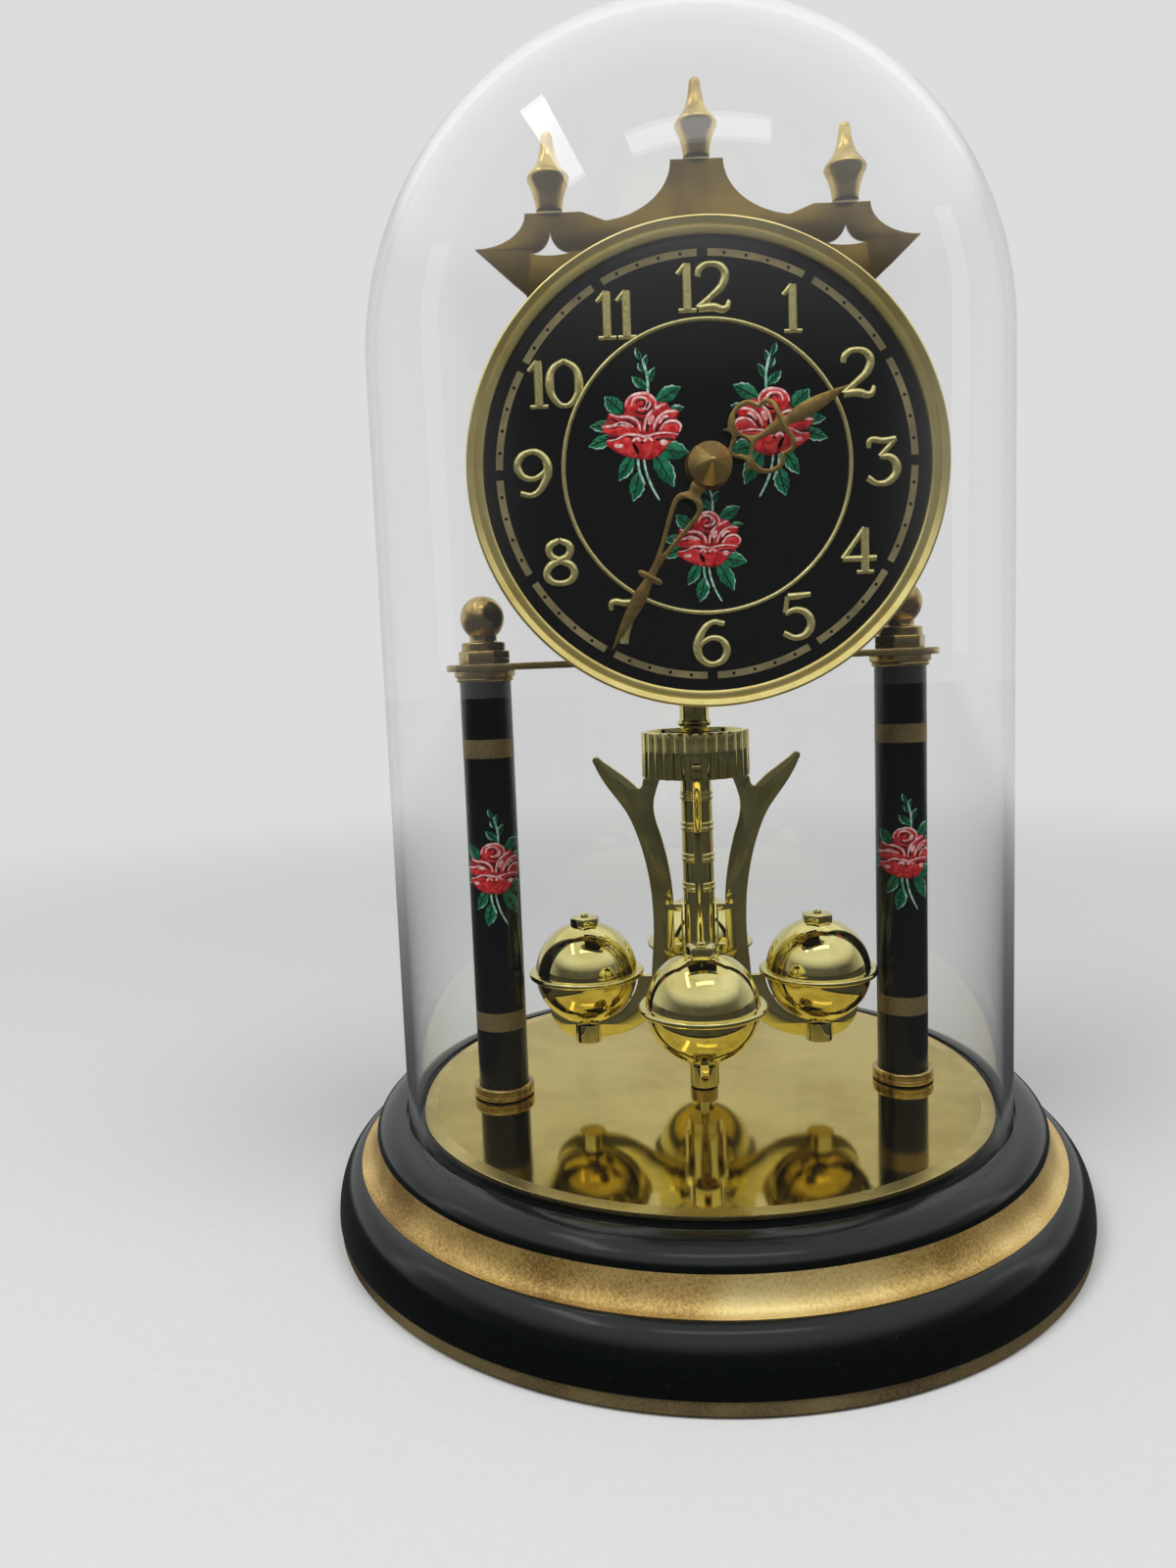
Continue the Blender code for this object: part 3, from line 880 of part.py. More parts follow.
def make_train(finish, hour_frame, minute_frame):
    """Hour pipe and wheel, centre arbor, set stem and knob, third wheel, rotor and motor coil."""
    hour_face = TRAIN_FRONT
    hour_back = hour_face - WHEEL_THICKNESS
    pipe_front = HOUR_HAND_BACK + HAND_THICKNESS
    turned("hour_wheel", [(PIPE_BORE, pipe_front), (PIPE_RADIUS, pipe_front), (PIPE_RADIUS, hour_face),
                          (HOUR_WHEEL_RADIUS, hour_face), (HOUR_WHEEL_RADIUS, hour_back),
                          (PIPE_BORE, hour_back)],
           WHEEL_STEPS, finish["brass"], hour_frame,
           flute=(HOUR_WHEEL_RADIUS - TOOTH_DEPTH, hour_back, hour_face, TOOTH_DEPTH))
    cannon_front = hour_back - RUNNING_GAP
    centre_front = cannon_front - PINION_THICKNESS
    centre_back = centre_front - WHEEL_THICKNESS
    arbor_front = HAND_NUT_BACK + HAND_NUT_LENGTH / 2 - SEAT_GAP
    turned("centre_arbor", [(0, arbor_front), (ARBOR_RADIUS, arbor_front), (ARBOR_RADIUS, cannon_front),
                            (CANNON_PINION_RADIUS, cannon_front), (CANNON_PINION_RADIUS, centre_front),
                            (CENTRE_WHEEL_RADIUS, centre_front), (CENTRE_WHEEL_RADIUS, centre_back),
                            (ARBOR_RADIUS, centre_back), (ARBOR_RADIUS, TRAIN_BACK), (0, TRAIN_BACK)],
           WHEEL_STEPS, finish["brass"], minute_frame,
           flute=(CENTRE_WHEEL_RADIUS - TOOTH_DEPTH, centre_back, centre_front, TOOTH_DEPTH))
    stem_frame = empty("set_axis", (0, DIAL_FACE_Y, DIAL_HEIGHT - STEM_BELOW_DIAL),
                       (math.radians(90), 0, 0))
    motion_front = hour_back - RUNNING_GAP
    motion_back = motion_front - WHEEL_THICKNESS
    knob_face = DIAL_FACE_Y - CASE_BACK_Y - RUNNING_GAP
    turned("set_stem", [(0, hour_face), (SET_PINION_RADIUS, hour_face), (SET_PINION_RADIUS, motion_front),
                        (MOTION_WHEEL_RADIUS, motion_front), (MOTION_WHEEL_RADIUS, motion_back),
                        (STEM_RADIUS, motion_back), (STEM_RADIUS, knob_face - SET_KNOB_LENGTH / 2),
                        (0, knob_face - SET_KNOB_LENGTH / 2)],
           WHEEL_STEPS, finish["brass"], stem_frame,
           flute=(MOTION_WHEEL_RADIUS - TOOTH_DEPTH, motion_back, motion_front, TOOTH_DEPTH))
    third_x = THIRD_DISTANCE * math.cos(THIRD_WHEEL_ANGLE)
    third_y = THIRD_DISTANCE * math.sin(THIRD_WHEEL_ANGLE)
    third_front = centre_front
    third_back = centre_back - RUNNING_GAP
    third_place = {"location": (third_x, DIAL_FACE_Y, DIAL_HEIGHT + third_y),
                   "rotation": (math.radians(90), 0, 0)}
    turned("third_wheel", [(0, TRAIN_FRONT), (WHEEL_ARBOR_RADIUS, TRAIN_FRONT),
                           (WHEEL_ARBOR_RADIUS, third_front), (THIRD_PINION_RADIUS, third_front),
                           (THIRD_PINION_RADIUS, third_back), (THIRD_WHEEL_RADIUS, third_back),
                           (THIRD_WHEEL_RADIUS, third_back - WHEEL_THICKNESS),
                           (WHEEL_ARBOR_RADIUS, third_back - WHEEL_THICKNESS),
                           (WHEEL_ARBOR_RADIUS, TRAIN_BACK), (0, TRAIN_BACK)],
           WHEEL_STEPS, finish["brass"], **third_place,
           flute=(THIRD_WHEEL_RADIUS - TOOTH_DEPTH, third_back - WHEEL_THICKNESS, third_back, TOOTH_DEPTH))
    rotor_place = {"location": (third_x + ROTOR_DISTANCE * math.cos(ROTOR_ANGLE), DIAL_FACE_Y,
                                DIAL_HEIGHT + third_y + ROTOR_DISTANCE * math.sin(ROTOR_ANGLE)),
                   "rotation": (math.radians(90), 0, 0)}
    rotor_front = third_back - WHEEL_THICKNESS - RUNNING_GAP
    rotor_back = rotor_front - ROTOR_LENGTH
    turned("rotor", [(0, TRAIN_FRONT), (WHEEL_ARBOR_RADIUS, TRAIN_FRONT),
                     (WHEEL_ARBOR_RADIUS, third_back), (ROTOR_PINION_RADIUS, third_back),
                     (ROTOR_PINION_RADIUS, rotor_front), (ROTOR_RADIUS, rotor_front),
                     (ROTOR_RADIUS, rotor_back), (WHEEL_ARBOR_RADIUS, rotor_back),
                     (WHEEL_ARBOR_RADIUS, TRAIN_BACK), (0, TRAIN_BACK)],
           SMALL_STEPS, finish["steel"], **rotor_place)
    coil_low = DIAL_HEIGHT - MOTOR_COIL_LENGTH / 2
    core_low = CASE_BOTTOM + CASE_WALL + SEAT_GAP
    core_high = CASE_TOP - CASE_WALL - SEAT_GAP
    turned("motor_coil", [(0, core_high), (MOTOR_COIL_CORE_RADIUS, core_high),
                          (MOTOR_COIL_CORE_RADIUS, coil_low + MOTOR_COIL_LENGTH),
                          (MOTOR_COIL_RADIUS, coil_low + MOTOR_COIL_LENGTH), (MOTOR_COIL_RADIUS, coil_low),
                          (MOTOR_COIL_CORE_RADIUS, coil_low), (MOTOR_COIL_CORE_RADIUS, core_low),
                          (0, core_low)],
           SMALL_STEPS, finish["copper"], location=(MOTOR_COIL_X, MOTOR_COIL_Y, 0))
    knob_back = knob_face - SET_KNOB_LENGTH
    stem_bore = STEM_RADIUS + SEAT_GAP
    bore_end = knob_face - SET_KNOB_LENGTH / 2 - SEAT_GAP
    turned("set_knob", [(stem_bore, knob_face), (SET_KNOB_RADIUS, knob_face), (SET_KNOB_RADIUS, knob_back),
                        (0, knob_back), (0, bore_end), (stem_bore, bore_end)],
           MIDDLE_STEPS, finish["case"], stem_frame,
           flute=(SET_KNOB_RADIUS - TOOTH_DEPTH, knob_back, knob_face, TOOTH_DEPTH))


def make_pendulum(finish):
    """Hanger, fluted cup, ringed tube, hub, four blade arms and four balls on one turning frame."""
    frame = empty("pendulum_axis", (0, COLUMN_Y, 0), (0, 0, PENDULUM_ANGLE))
    sleeve_bottom = CUP_BOTTOM + CUP_FLOOR + SEAT_GAP
    turned("hanger_shaft", [(0, MAGNET_TOP), (HANGER_RADIUS, MAGNET_TOP), (HANGER_RADIUS, FLANGE_TOP),
                            (STRAP_SHAFT_HOLE, FLANGE_TOP), (STRAP_SHAFT_HOLE, FLANGE_BOTTOM),
                            (HANGER_RADIUS, FLANGE_BOTTOM), (HANGER_RADIUS, SLEEVE_TOP),
                            (SLEEVE_RADIUS, SLEEVE_TOP), (SLEEVE_RADIUS, sleeve_bottom),
                            (0, sleeve_bottom)], SMALL_STEPS, finish["bright"], frame)
    magnet_bore = HANGER_RADIUS + SEAT_GAP
    turned("drive_magnet", [(magnet_bore, MAGNET_TOP), (DRIVE_MAGNET_RADIUS, MAGNET_TOP),
                            (DRIVE_MAGNET_RADIUS, FLANGE_TOP + SEAT_GAP),
                            (magnet_bore, FLANGE_TOP + SEAT_GAP)], SMALL_STEPS, finish["steel"], frame)
    turned("pendulum_cup", [(CUP_RADIUS - CUP_WALL, CUP_TOP), (CUP_RADIUS, CUP_TOP),
                            (CUP_RADIUS, CUP_BOTTOM), (0, CUP_BOTTOM), (0, CUP_BOTTOM + CUP_FLOOR),
                            (CUP_RADIUS - CUP_WALL, CUP_BOTTOM + CUP_FLOOR)],
           CUP_FLUTES * 2, finish["bright"], frame,
           flute=(CUP_RADIUS - CUP_FLUTE_DEPTH, CUP_BOTTOM, CUP_TOP, CUP_FLUTE_DEPTH))
    outline = [(0, UNDER_CUP), (TUBE_RADIUS, UNDER_CUP)]
    tube_bottom = HUB_TOP + SEAT_GAP
    for share in TUBE_RING_SHARES:
        height = tube_bottom + (UNDER_CUP - tube_bottom) * share
        outline += [(TUBE_RADIUS, height + TUBE_RING_WIDTH / 2), (TUBE_RADIUS - TUBE_RING_DEPTH, height),
                    (TUBE_RADIUS, height - TUBE_RING_WIDTH / 2)]
    outline += [(TUBE_RADIUS, tube_bottom), (0, tube_bottom)]
    turned("pendulum_tube", outline, SMALL_STEPS, finish["bright"], frame)
    pin_end = PLATE_TOP + SEAT_GAP + COLLAR_FLOOR + GUIDE_PIN_CLEARANCE
    turned("pendulum_hub", [(0, HUB_TOP), (HUB_RADIUS, HUB_TOP), (HUB_RADIUS, HUB_BOTTOM),
                            (GUIDE_PIN_RADIUS, HUB_BOTTOM), (GUIDE_PIN_RADIUS, pin_end), (0, pin_end)],
           SMALL_STEPS, finish["bright"], frame)
    for number in range(4):
        make_arm(frame, number, finish)


def arm_outline():
    """One arm as distance out from the axis and height: horn, blade, rungs and the cradle of its ball."""
    tube = TUBE_RADIUS + SEAT_GAP
    hub = HUB_RADIUS + SEAT_GAP
    inner = [(tube, RUNG_TOP), (ARM_REACH * ARM_ROOT_SHARE, RUNG_TOP)]
    inner += [(ARM_REACH * out, BALL_HEIGHT + ARM_BLADE * up) for out, up in ARM_INNER_SHARES]
    inner.append((ARM_REACH * ARM_PRONG_INNER_SHARE, UNDER_CUP))
    horn = [(ARM_REACH * ARM_PRONG_OUTER_SHARE, UNDER_CUP)]
    horn += [(ARM_REACH * out, BALL_HEIGHT + ARM_BLADE * up) for out, up in HORN_SHARES]
    outer = [(ARM_REACH * out, BALL_HEIGHT + ARM_BLADE * up) for out, up in ARM_OUTER_SHARES]
    ledge = BALL_HEIGHT - BALL_RING_THICKNESS / 2 - SEAT_GAP
    seat = BALL_RADIUS + SEAT_GAP
    first = 180 + math.degrees(math.asin((BALL_HEIGHT - ledge) / seat))
    last = 360 - math.degrees(math.acos(CRADLE_RUN / seat))
    ball_seat = arc(BALL_CIRCLE_RADIUS, BALL_HEIGHT, seat, seat, first, last, 9)
    lowest = BALL_HEIGHT - BALL_RADIUS - CRADLE_DEPTH
    under = arc(BALL_CIRCLE_RADIUS, ball_seat[-1][1], CRADLE_RUN, ball_seat[-1][1] - lowest, 0, -90, 4)
    root = [(hub, HUB_TOP - RUNG_HEIGHT), (hub, HUB_TOP + RUNG_HEIGHT), (tube, HUB_TOP + RUNG_HEIGHT * 2)]
    rise = [(hub + (BALL_CIRCLE_RADIUS - hub) * out, lowest + (HUB_TOP - RUNG_HEIGHT - lowest) * up)
            for out, up in CRADLE_RISE_SHARES]
    outer.append((ball_seat[0][0] - BALL_STEM_RADIUS, ledge))
    return inner + horn + outer + ball_seat + under + rise + root


def arm_window():
    """The opening between the two rungs, the blade and the tube."""
    inside = TUBE_RADIUS + SEAT_GAP + RUNG_HEIGHT / 4
    outside = ARM_REACH * ARM_ROOT_SHARE
    top = RUNG_TOP - RUNG_HEIGHT
    bottom = top - RUNG_SPACING + RUNG_HEIGHT
    return [(inside, bottom), (outside, bottom), (outside, top), (inside, top)]


def make_arm(frame, number, finish):
    """One blade arm with the stem under its ball, and the ringed ball that it cradles."""
    side = ARM_SIDES[number]
    turn = math.radians(-90 + 90 * number)
    arm = sheet(f"{side}_arm", [arm_outline(), arm_window()], -ARM_THICKNESS / 2, ARM_THICKNESS,
                finish["bright"], frame, rotation=(math.radians(90), 0, turn))
    place = (BALL_CIRCLE_RADIUS * math.cos(turn), BALL_CIRCLE_RADIUS * math.sin(turn), 0)
    stem_top = BALL_HEIGHT - BALL_RADIUS - SEAT_GAP
    combine(arm, cylinder(f"{side}_stem", BALL_STEM_RADIUS, stem_top - BALL_STEM_LENGTH, stem_top,
                          FINE_STEPS, finish["bright"], parent=frame, location=place), "UNION")
    ring_edge = math.degrees(math.asin(BALL_RING_THICKNESS / 2 / BALL_RADIUS))
    top_edge = math.degrees(math.acos(BALL_CAP_RADIUS / BALL_RADIUS))
    cap_top = BALL_LAND_HEIGHT + BALL_CAP_HEIGHT
    cap = [(0, cap_top), *arc(0, cap_top - BALL_CAP_BEAD_RADIUS / 2, BALL_CAP_BEAD_RADIUS,
                              BALL_CAP_BEAD_RADIUS / 2, 45, 0, 1),
           (BALL_CAP_RADIUS - COLLAR_LIP / 2, cap_top - BALL_CAP_BEAD_RADIUS),
           (BALL_CAP_RADIUS, cap_top - BALL_CAP_BEAD_RADIUS - COLLAR_LIP / 2)]
    upper = arc(0, BALL_HEIGHT, BALL_RADIUS, BALL_RADIUS, top_edge, ring_edge, 4)
    ring = arc(BALL_RING_RADIUS - BALL_RING_THICKNESS / 2, BALL_HEIGHT, BALL_RING_THICKNESS / 2,
               BALL_RING_THICKNESS / 2, 90, -90, 2)
    lower = arc(0, BALL_HEIGHT, BALL_RADIUS, BALL_RADIUS, -ring_edge, -90, 5)
    outline = cap + upper + ring + lower[:-1] + [(0, lower[-1][1])]
    turned(f"{side}_ball", outline, BALL_STEPS, finish["bright"], frame, location=place)


def build():
    """Builds every piece of the clock."""
    for thing in list(bpy.data.objects):
        bpy.data.objects.remove(thing, do_unlink=True)
    finish = {
        "black": material("black_lacquer", (0.010, 0.010, 0.011), 0.22),
        "gilt": material("bronze_gilt", (0.32, 0.20, 0.08), 0.45, 0.7),
        "steel": material("zinc_steel", (0.45, 0.46, 0.48), 0.40, 1.0),
        "felt": material("black_fibre", (0.020, 0.018, 0.016), 0.90),
        "brass": material("polished_brass", (0.62, 0.50, 0.26), 0.20, 1.0),
        "aged": material("aged_brass", (0.34, 0.25, 0.12), 0.35, 1.0),
        "bright": material("bright_gilt", (0.80, 0.70, 0.40), 0.12, 1.0),
        "gold": material("matt_gold", (0.50, 0.35, 0.13), 0.40, 1.0),
        "brushed": material("brushed_brass", (0.42, 0.32, 0.15), 0.35, 1.0),
        "glass": material("clear_dome", (1.0, 1.0, 1.0), 0.02, 0.0, 1.0),
        "case": material("black_plastic", (0.020, 0.020, 0.021), 0.45),
        "grey": material("grey_plastic", (0.20, 0.20, 0.20), 0.60),
        "battery": material("battery_jacket", (0.15, 0.16, 0.18), 0.35),
        "copper": material("copper_winding", (0.60, 0.25, 0.12), 0.35, 1.0),
    }
    make_base(finish)
    make_dome(finish)
    make_columns(finish)
    make_strap(finish)
    make_dial(finish)
    hour_frame, minute_frame = make_hands(finish)
    make_crown(finish)
    make_case(finish)
    make_train(finish, hour_frame, minute_frame)
    make_pendulum(finish)


build()
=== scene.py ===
# %% [markdown]
# # An anniversary clock under a glass dome
# The real clock is a round black base with a brass deck, two black columns with a strap across them, and a
# quartz movement on the strap behind a black dial. Four gilt balls turn slowly under it, and a clear dome
# keeps the dust off. The CAD solids come in first as a fixed frame. Each piece below is then modelled finer
# in the place of its solid, or a solid that is right already gets a better material.

# %% Load the frame
import math

import bpy
from mathutils import Matrix, Vector


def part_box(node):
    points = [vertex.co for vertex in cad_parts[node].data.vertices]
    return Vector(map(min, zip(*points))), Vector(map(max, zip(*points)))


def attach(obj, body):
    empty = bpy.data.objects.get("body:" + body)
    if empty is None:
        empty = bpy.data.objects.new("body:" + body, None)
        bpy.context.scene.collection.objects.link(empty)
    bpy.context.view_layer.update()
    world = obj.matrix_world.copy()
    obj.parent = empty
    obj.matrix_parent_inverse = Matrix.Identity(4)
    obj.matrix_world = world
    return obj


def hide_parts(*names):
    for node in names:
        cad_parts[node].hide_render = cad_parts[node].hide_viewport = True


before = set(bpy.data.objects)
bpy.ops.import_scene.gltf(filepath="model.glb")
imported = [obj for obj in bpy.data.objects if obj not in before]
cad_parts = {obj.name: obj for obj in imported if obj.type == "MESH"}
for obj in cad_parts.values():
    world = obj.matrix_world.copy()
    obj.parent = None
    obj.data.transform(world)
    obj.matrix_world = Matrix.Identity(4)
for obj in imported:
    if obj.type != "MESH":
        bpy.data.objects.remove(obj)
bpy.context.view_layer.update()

# %% [markdown]
# ## Places taken from the frame
# Every piece sits where its solid sits, so the radii and heights are read from the solids' boxes instead of
# being typed again. A round solid's radius is half its box, and the dial's face is the front of its plate.

# %% Places


def low(node):
    """The lowest corner of a solid's box."""
    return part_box(node)[0]


def high(node):
    """The highest corner of a solid's box."""
    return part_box(node)[1]


def middle_of(node):
    """The middle of a solid's box."""
    return [(first + last) / 2 for first, last in zip(low(node), high(node))]


def size_of(node):
    """The width, depth and height of a solid's box."""
    return [last - first for first, last in zip(low(node), high(node))]


def radius_of(node):
    """Half the width of a solid that is round seen from above or from the front."""
    return size_of(node)[0] / 2


SEAT_GAP = 0.0003
BASE_RADIUS = radius_of("base_shell")
RIM_HEIGHT = high("base_shell").z
PLATE_RADIUS = radius_of("deck_plate")
PLATE_TOP = high("deck_plate").z
PLATE_BOTTOM = low("deck_plate").z
DOME_RADIUS = radius_of("glass_dome")
DOME_TOP = high("glass_dome").z
DOME_FOOT = low("glass_dome").z
COLUMN_X, COLUMN_Y, _ = middle_of("right_column_tube")
DIAL_THICKNESS = 0.0008
DIAL_FACE_Y = high("dial_plate").y - DIAL_THICKNESS
DIAL_HEIGHT = middle_of("bezel")[2]
DIAL_RADIUS = radius_of("dial_plate")
BEZEL_RADIUS = radius_of("bezel")
PENDULUM_ANGLE = math.radians(-5.5)
LIE_FLAT_TO_FRONT = Matrix.Rotation(math.radians(90), 4, "X")
DIAL_PLACE = Matrix.Translation((0, DIAL_FACE_Y, DIAL_HEIGHT)) @ LIE_FLAT_TO_FRONT
PENDULUM_PLACE = Matrix.Translation((0, COLUMN_Y, 0)) @ Matrix.Rotation(PENDULUM_ANGLE, 4, "Z")
print(f"base {BASE_RADIUS * 2000:.1f} mm wide, dial centre {DIAL_HEIGHT * 1000:.1f} mm up")

# %% [markdown]
# ## Camera
# The camera stands a little left of the middle, 236 mm in front of the clock's axis and 116 mm up, and looks
# slightly down with a roll of two degrees. Its lens is the one that makes the base, the columns and the dial
# fall on the photograph. The focal length is given in pixels of a 1600 pixel high frame, which Blender's
# 36 mm sensor turns into a lens length.

# %% Camera
PHOTO_HEIGHT_PX = 1600
FOCAL_PX = 1118.3
SENSOR_MM = 36
NEAREST_SEEN = 0.01
CAMERA_PLACE = Vector((-0.02353, -0.23592, 0.11628))
CAMERA_YAW = math.radians(0.13)
CAMERA_PITCH = math.radians(6.29)
CAMERA_ROLL = math.radians(-2.19)

camera_data = bpy.data.cameras.new("photo_camera")
camera_data.sensor_width = SENSOR_MM
camera_data.lens = FOCAL_PX / PHOTO_HEIGHT_PX * SENSOR_MM
camera_data.clip_start = NEAREST_SEEN
camera = bpy.data.objects.new("photo_camera", camera_data)
bpy.context.scene.collection.objects.link(camera)
bpy.context.scene.camera = camera
forward = Vector((math.sin(CAMERA_YAW) * math.cos(CAMERA_PITCH),
                  math.cos(CAMERA_YAW) * math.cos(CAMERA_PITCH), -math.sin(CAMERA_PITCH)))
level_right = Vector((math.cos(CAMERA_YAW), -math.sin(CAMERA_YAW), 0))
level_up = level_right.cross(forward)
right = level_right * math.cos(CAMERA_ROLL) + level_up * math.sin(CAMERA_ROLL)
up = level_up * math.cos(CAMERA_ROLL) - level_right * math.sin(CAMERA_ROLL)
turned_to = Matrix((right, up, -forward)).transposed().to_4x4()
camera.matrix_world = Matrix.Translation(CAMERA_PLACE) @ turned_to
print(f"lens {camera_data.lens:.1f} mm")

# %% [markdown]
# ## Floor and light
# A pale floor and a pale room with broad soft lamps, as in a product studio. What lights the clock is dimmer
# than what the camera and the glass see, so the background stays pale without washing the clock out. What
# the lacquer and the metal mirror is pale behind the clock and overhead, and dark in front of it, like a
# curtain behind a camera, because black gloss only looks black when it mirrors something dark. For the same
# reason the near floor is dark where it is mirrored. To the camera it is pale paper that fades into the room.
# The two strong lamps are hidden from reflections, and two dim panels take their place there, so the dome
# shows soft streaks instead of white patches. Two side windows give its flanks a faint line each.

# %% Helpers for shader nodes


def linear(code):
    """An sRGB hex colour as the linear colour that a shader wants."""
    parts = [int(code[i:i + 2], 16) / 255 for i in (1, 3, 5)]
    return (*(c / 12.92 if c <= 0.04045 else ((c + 0.055) / 1.055) ** 2.4 for c in parts), 1.0)


def feed(tree, node, inputs):
    """Fills a node's inputs: a node gives its first output, a socket is linked, a hex code is a colour."""
    for name, value in inputs.items() if isinstance(inputs, dict) else enumerate(inputs):
        if isinstance(value, bpy.types.Node):
            value = value.outputs[0]
        if isinstance(value, bpy.types.NodeSocket):
            tree.links.new(value, node.inputs[name])
        else:
            node.inputs[name].default_value = linear(value) if isinstance(value, str) else value


def add(tree, kind, inputs=(), stops=(), **settings):
    """Adds a node with its settings, its inputs and, for a ramp, the place and colour of each stop."""
    made = tree.nodes.new(f"ShaderNode{kind}")
    for name, value in settings.items():
        setattr(made, name, value)
    feed(tree, made, inputs)
    if stops:
        ramp = made.color_ramp.elements
        while len(ramp) < len(stops):
            ramp.new(0.5)
        for element, (place, code) in zip(ramp, stops):
            element.position = place
            element.color = linear(code)
    return made


def cells_per_metre(size_mm):
    """The scale of a texture whose features are this many millimetres wide."""
    return 1000 / size_mm


def new_finish(name):
    """A material with a Principled shader: the material, its tree, the shader and Object coordinates."""
    made = bpy.data.materials.new(name)
    made.use_nodes = True
    tree = made.node_tree
    shader = tree.nodes["Principled BSDF"]
    return made, tree, shader, add(tree, "TexCoord").outputs["Object"]


# %% How a surface is seen


def seen_how(tree):
    """Two factors: 1 for rays that a surface mirrored, and 1 for the camera's rays, also through glass."""
    rays = add(tree, "LightPath").outputs
    lit = add(tree, "Math", [rays["Diffuse Depth"], 1.0], operation="MINIMUM")
    unlit = add(tree, "Math", [1.0, lit], operation="SUBTRACT")
    mirrored = add(tree, "Math", [rays["Glossy Depth"], 1.0], operation="MINIMUM")
    unlit_gloss = add(tree, "Math", [rays["Is Glossy Ray"], unlit], operation="MULTIPLY")
    in_mirror = add(tree, "Math", [unlit_gloss, mirrored], operation="MULTIPLY")
    unlit_glass = add(tree, "Math", [rays["Is Transmission Ray"], unlit], operation="MULTIPLY")
    unmirrored = add(tree, "Math", [1.0, mirrored], operation="SUBTRACT")
    in_glass = add(tree, "Math", [unlit_glass, unmirrored], operation="MULTIPLY")
    in_view = add(tree, "Math", [rays["Is Camera Ray"], in_glass], operation="MAXIMUM")
    return in_mirror, in_view


# %% Room
# Curtain and ceiling start and end where the direction's Y and Z, from -1 to 1, have these values.
ROOM_PALE = "#DCDDDE"
ROOM_FILL = 0.42
CURTAIN_DARK = 0.12
CURTAIN_START = -0.62
CURTAIN_END = 0.45
MIRRORED_PALE = 0.95
CEILING_START = 0.14
CEILING_FULL = 0.62
CEILING = 1.35

bpy.context.scene.view_settings.view_transform = "Standard"
world = bpy.data.worlds.new("pale_room")
bpy.context.scene.world = world
world.use_nodes = True
room = world.node_tree
direction = add(room, "SeparateXYZ", [add(room, "TexCoord").outputs["Generated"]]).outputs
behind = add(room, "MapRange", {"Value": direction["Y"], "From Min": CURTAIN_START, "From Max": CURTAIN_END,
                                "To Min": CURTAIN_DARK, "To Max": MIRRORED_PALE},
             interpolation_type="SMOOTHSTEP")
overhead = add(room, "MapRange", {"Value": direction["Z"], "From Min": CEILING_START,
                                  "From Max": CEILING_FULL, "To Max": CEILING},
               interpolation_type="SMOOTHSTEP")
mirrored_room = add(room, "Math", [behind, overhead], operation="MAXIMUM")
in_mirror, in_view = seen_how(room)
unseen = add(room, "Mix", {"Factor": in_mirror, 2: ROOM_FILL, 3: mirrored_room})
strength = add(room, "Mix", {"Factor": in_view, 2: unseen, 3: 1.0})
feed(room, room.nodes["Background"], {"Color": ROOM_PALE, "Strength": strength})
print("a pale room, dark in front of the clock where its blacks and golds mirror it")

# %% Floor
FLOOR_RADIUS = 4.0
PAPER_SHADE = "#D0D1D2"
PAPER_PALE = "#D3D4D5"
FADE_START = 0.12
FADE_END = 0.75
CLOTH_DARK = "#2A2B2C"
CLOTH_START = -0.05
CLOTH_END = 0.70
CLOTH_NEAR = 0.95
CLOTH_FAR = 0.1

bpy.ops.mesh.primitive_circle_add(vertices=96, radius=FLOOR_RADIUS, fill_type="NGON", location=(0, 0, 0))
floor = bpy.context.object
floor.name = "floor"
floor_finish, tree, shader, place = new_finish("floor_paper")
grain = add(tree, "TexNoise", {"Vector": place, "Scale": cells_per_metre(2.0), "Detail": 4.0})
tone = add(tree, "ValToRGB", [grain], [(0.3, PAPER_SHADE), (0.7, PAPER_PALE)])
feed(tree, shader, {"Base Color": tone, "Roughness": 0.85})
away = add(tree, "VectorMath", [place], operation="LENGTH").outputs["Value"]
fade = add(tree, "MapRange", {"Value": away, "From Min": FADE_START, "From Max": FADE_END},
           interpolation_type="SMOOTHSTEP")
haze = add(tree, "Emission", {"Color": ROOM_PALE})
paper = add(tree, "MixShader", [fade, shader, haze])
in_mirror, _ = seen_how(tree)
depth = add(tree, "SeparateXYZ", [place]).outputs["Y"]
cloth = add(tree, "MapRange", {"Value": depth, "From Min": CLOTH_START, "From Max": CLOTH_END,
                               "To Min": CLOTH_NEAR, "To Max": CLOTH_FAR}, interpolation_type="SMOOTHSTEP")
mirrored_floor = add(tree, "Math", [in_mirror, cloth], operation="MULTIPLY")
dark_cloth = add(tree, "BsdfDiffuse", {"Color": CLOTH_DARK})
both = add(tree, "MixShader", [mirrored_floor, paper, dark_cloth])
feed(tree, tree.nodes["Material Output"], {"Surface": both})
floor.data.materials.append(floor_finish)
print("floor", FLOOR_RADIUS * 2, "m wide")

# %% Lamps
CLOCK_MIDDLE = Vector((0, 0, 0.12))


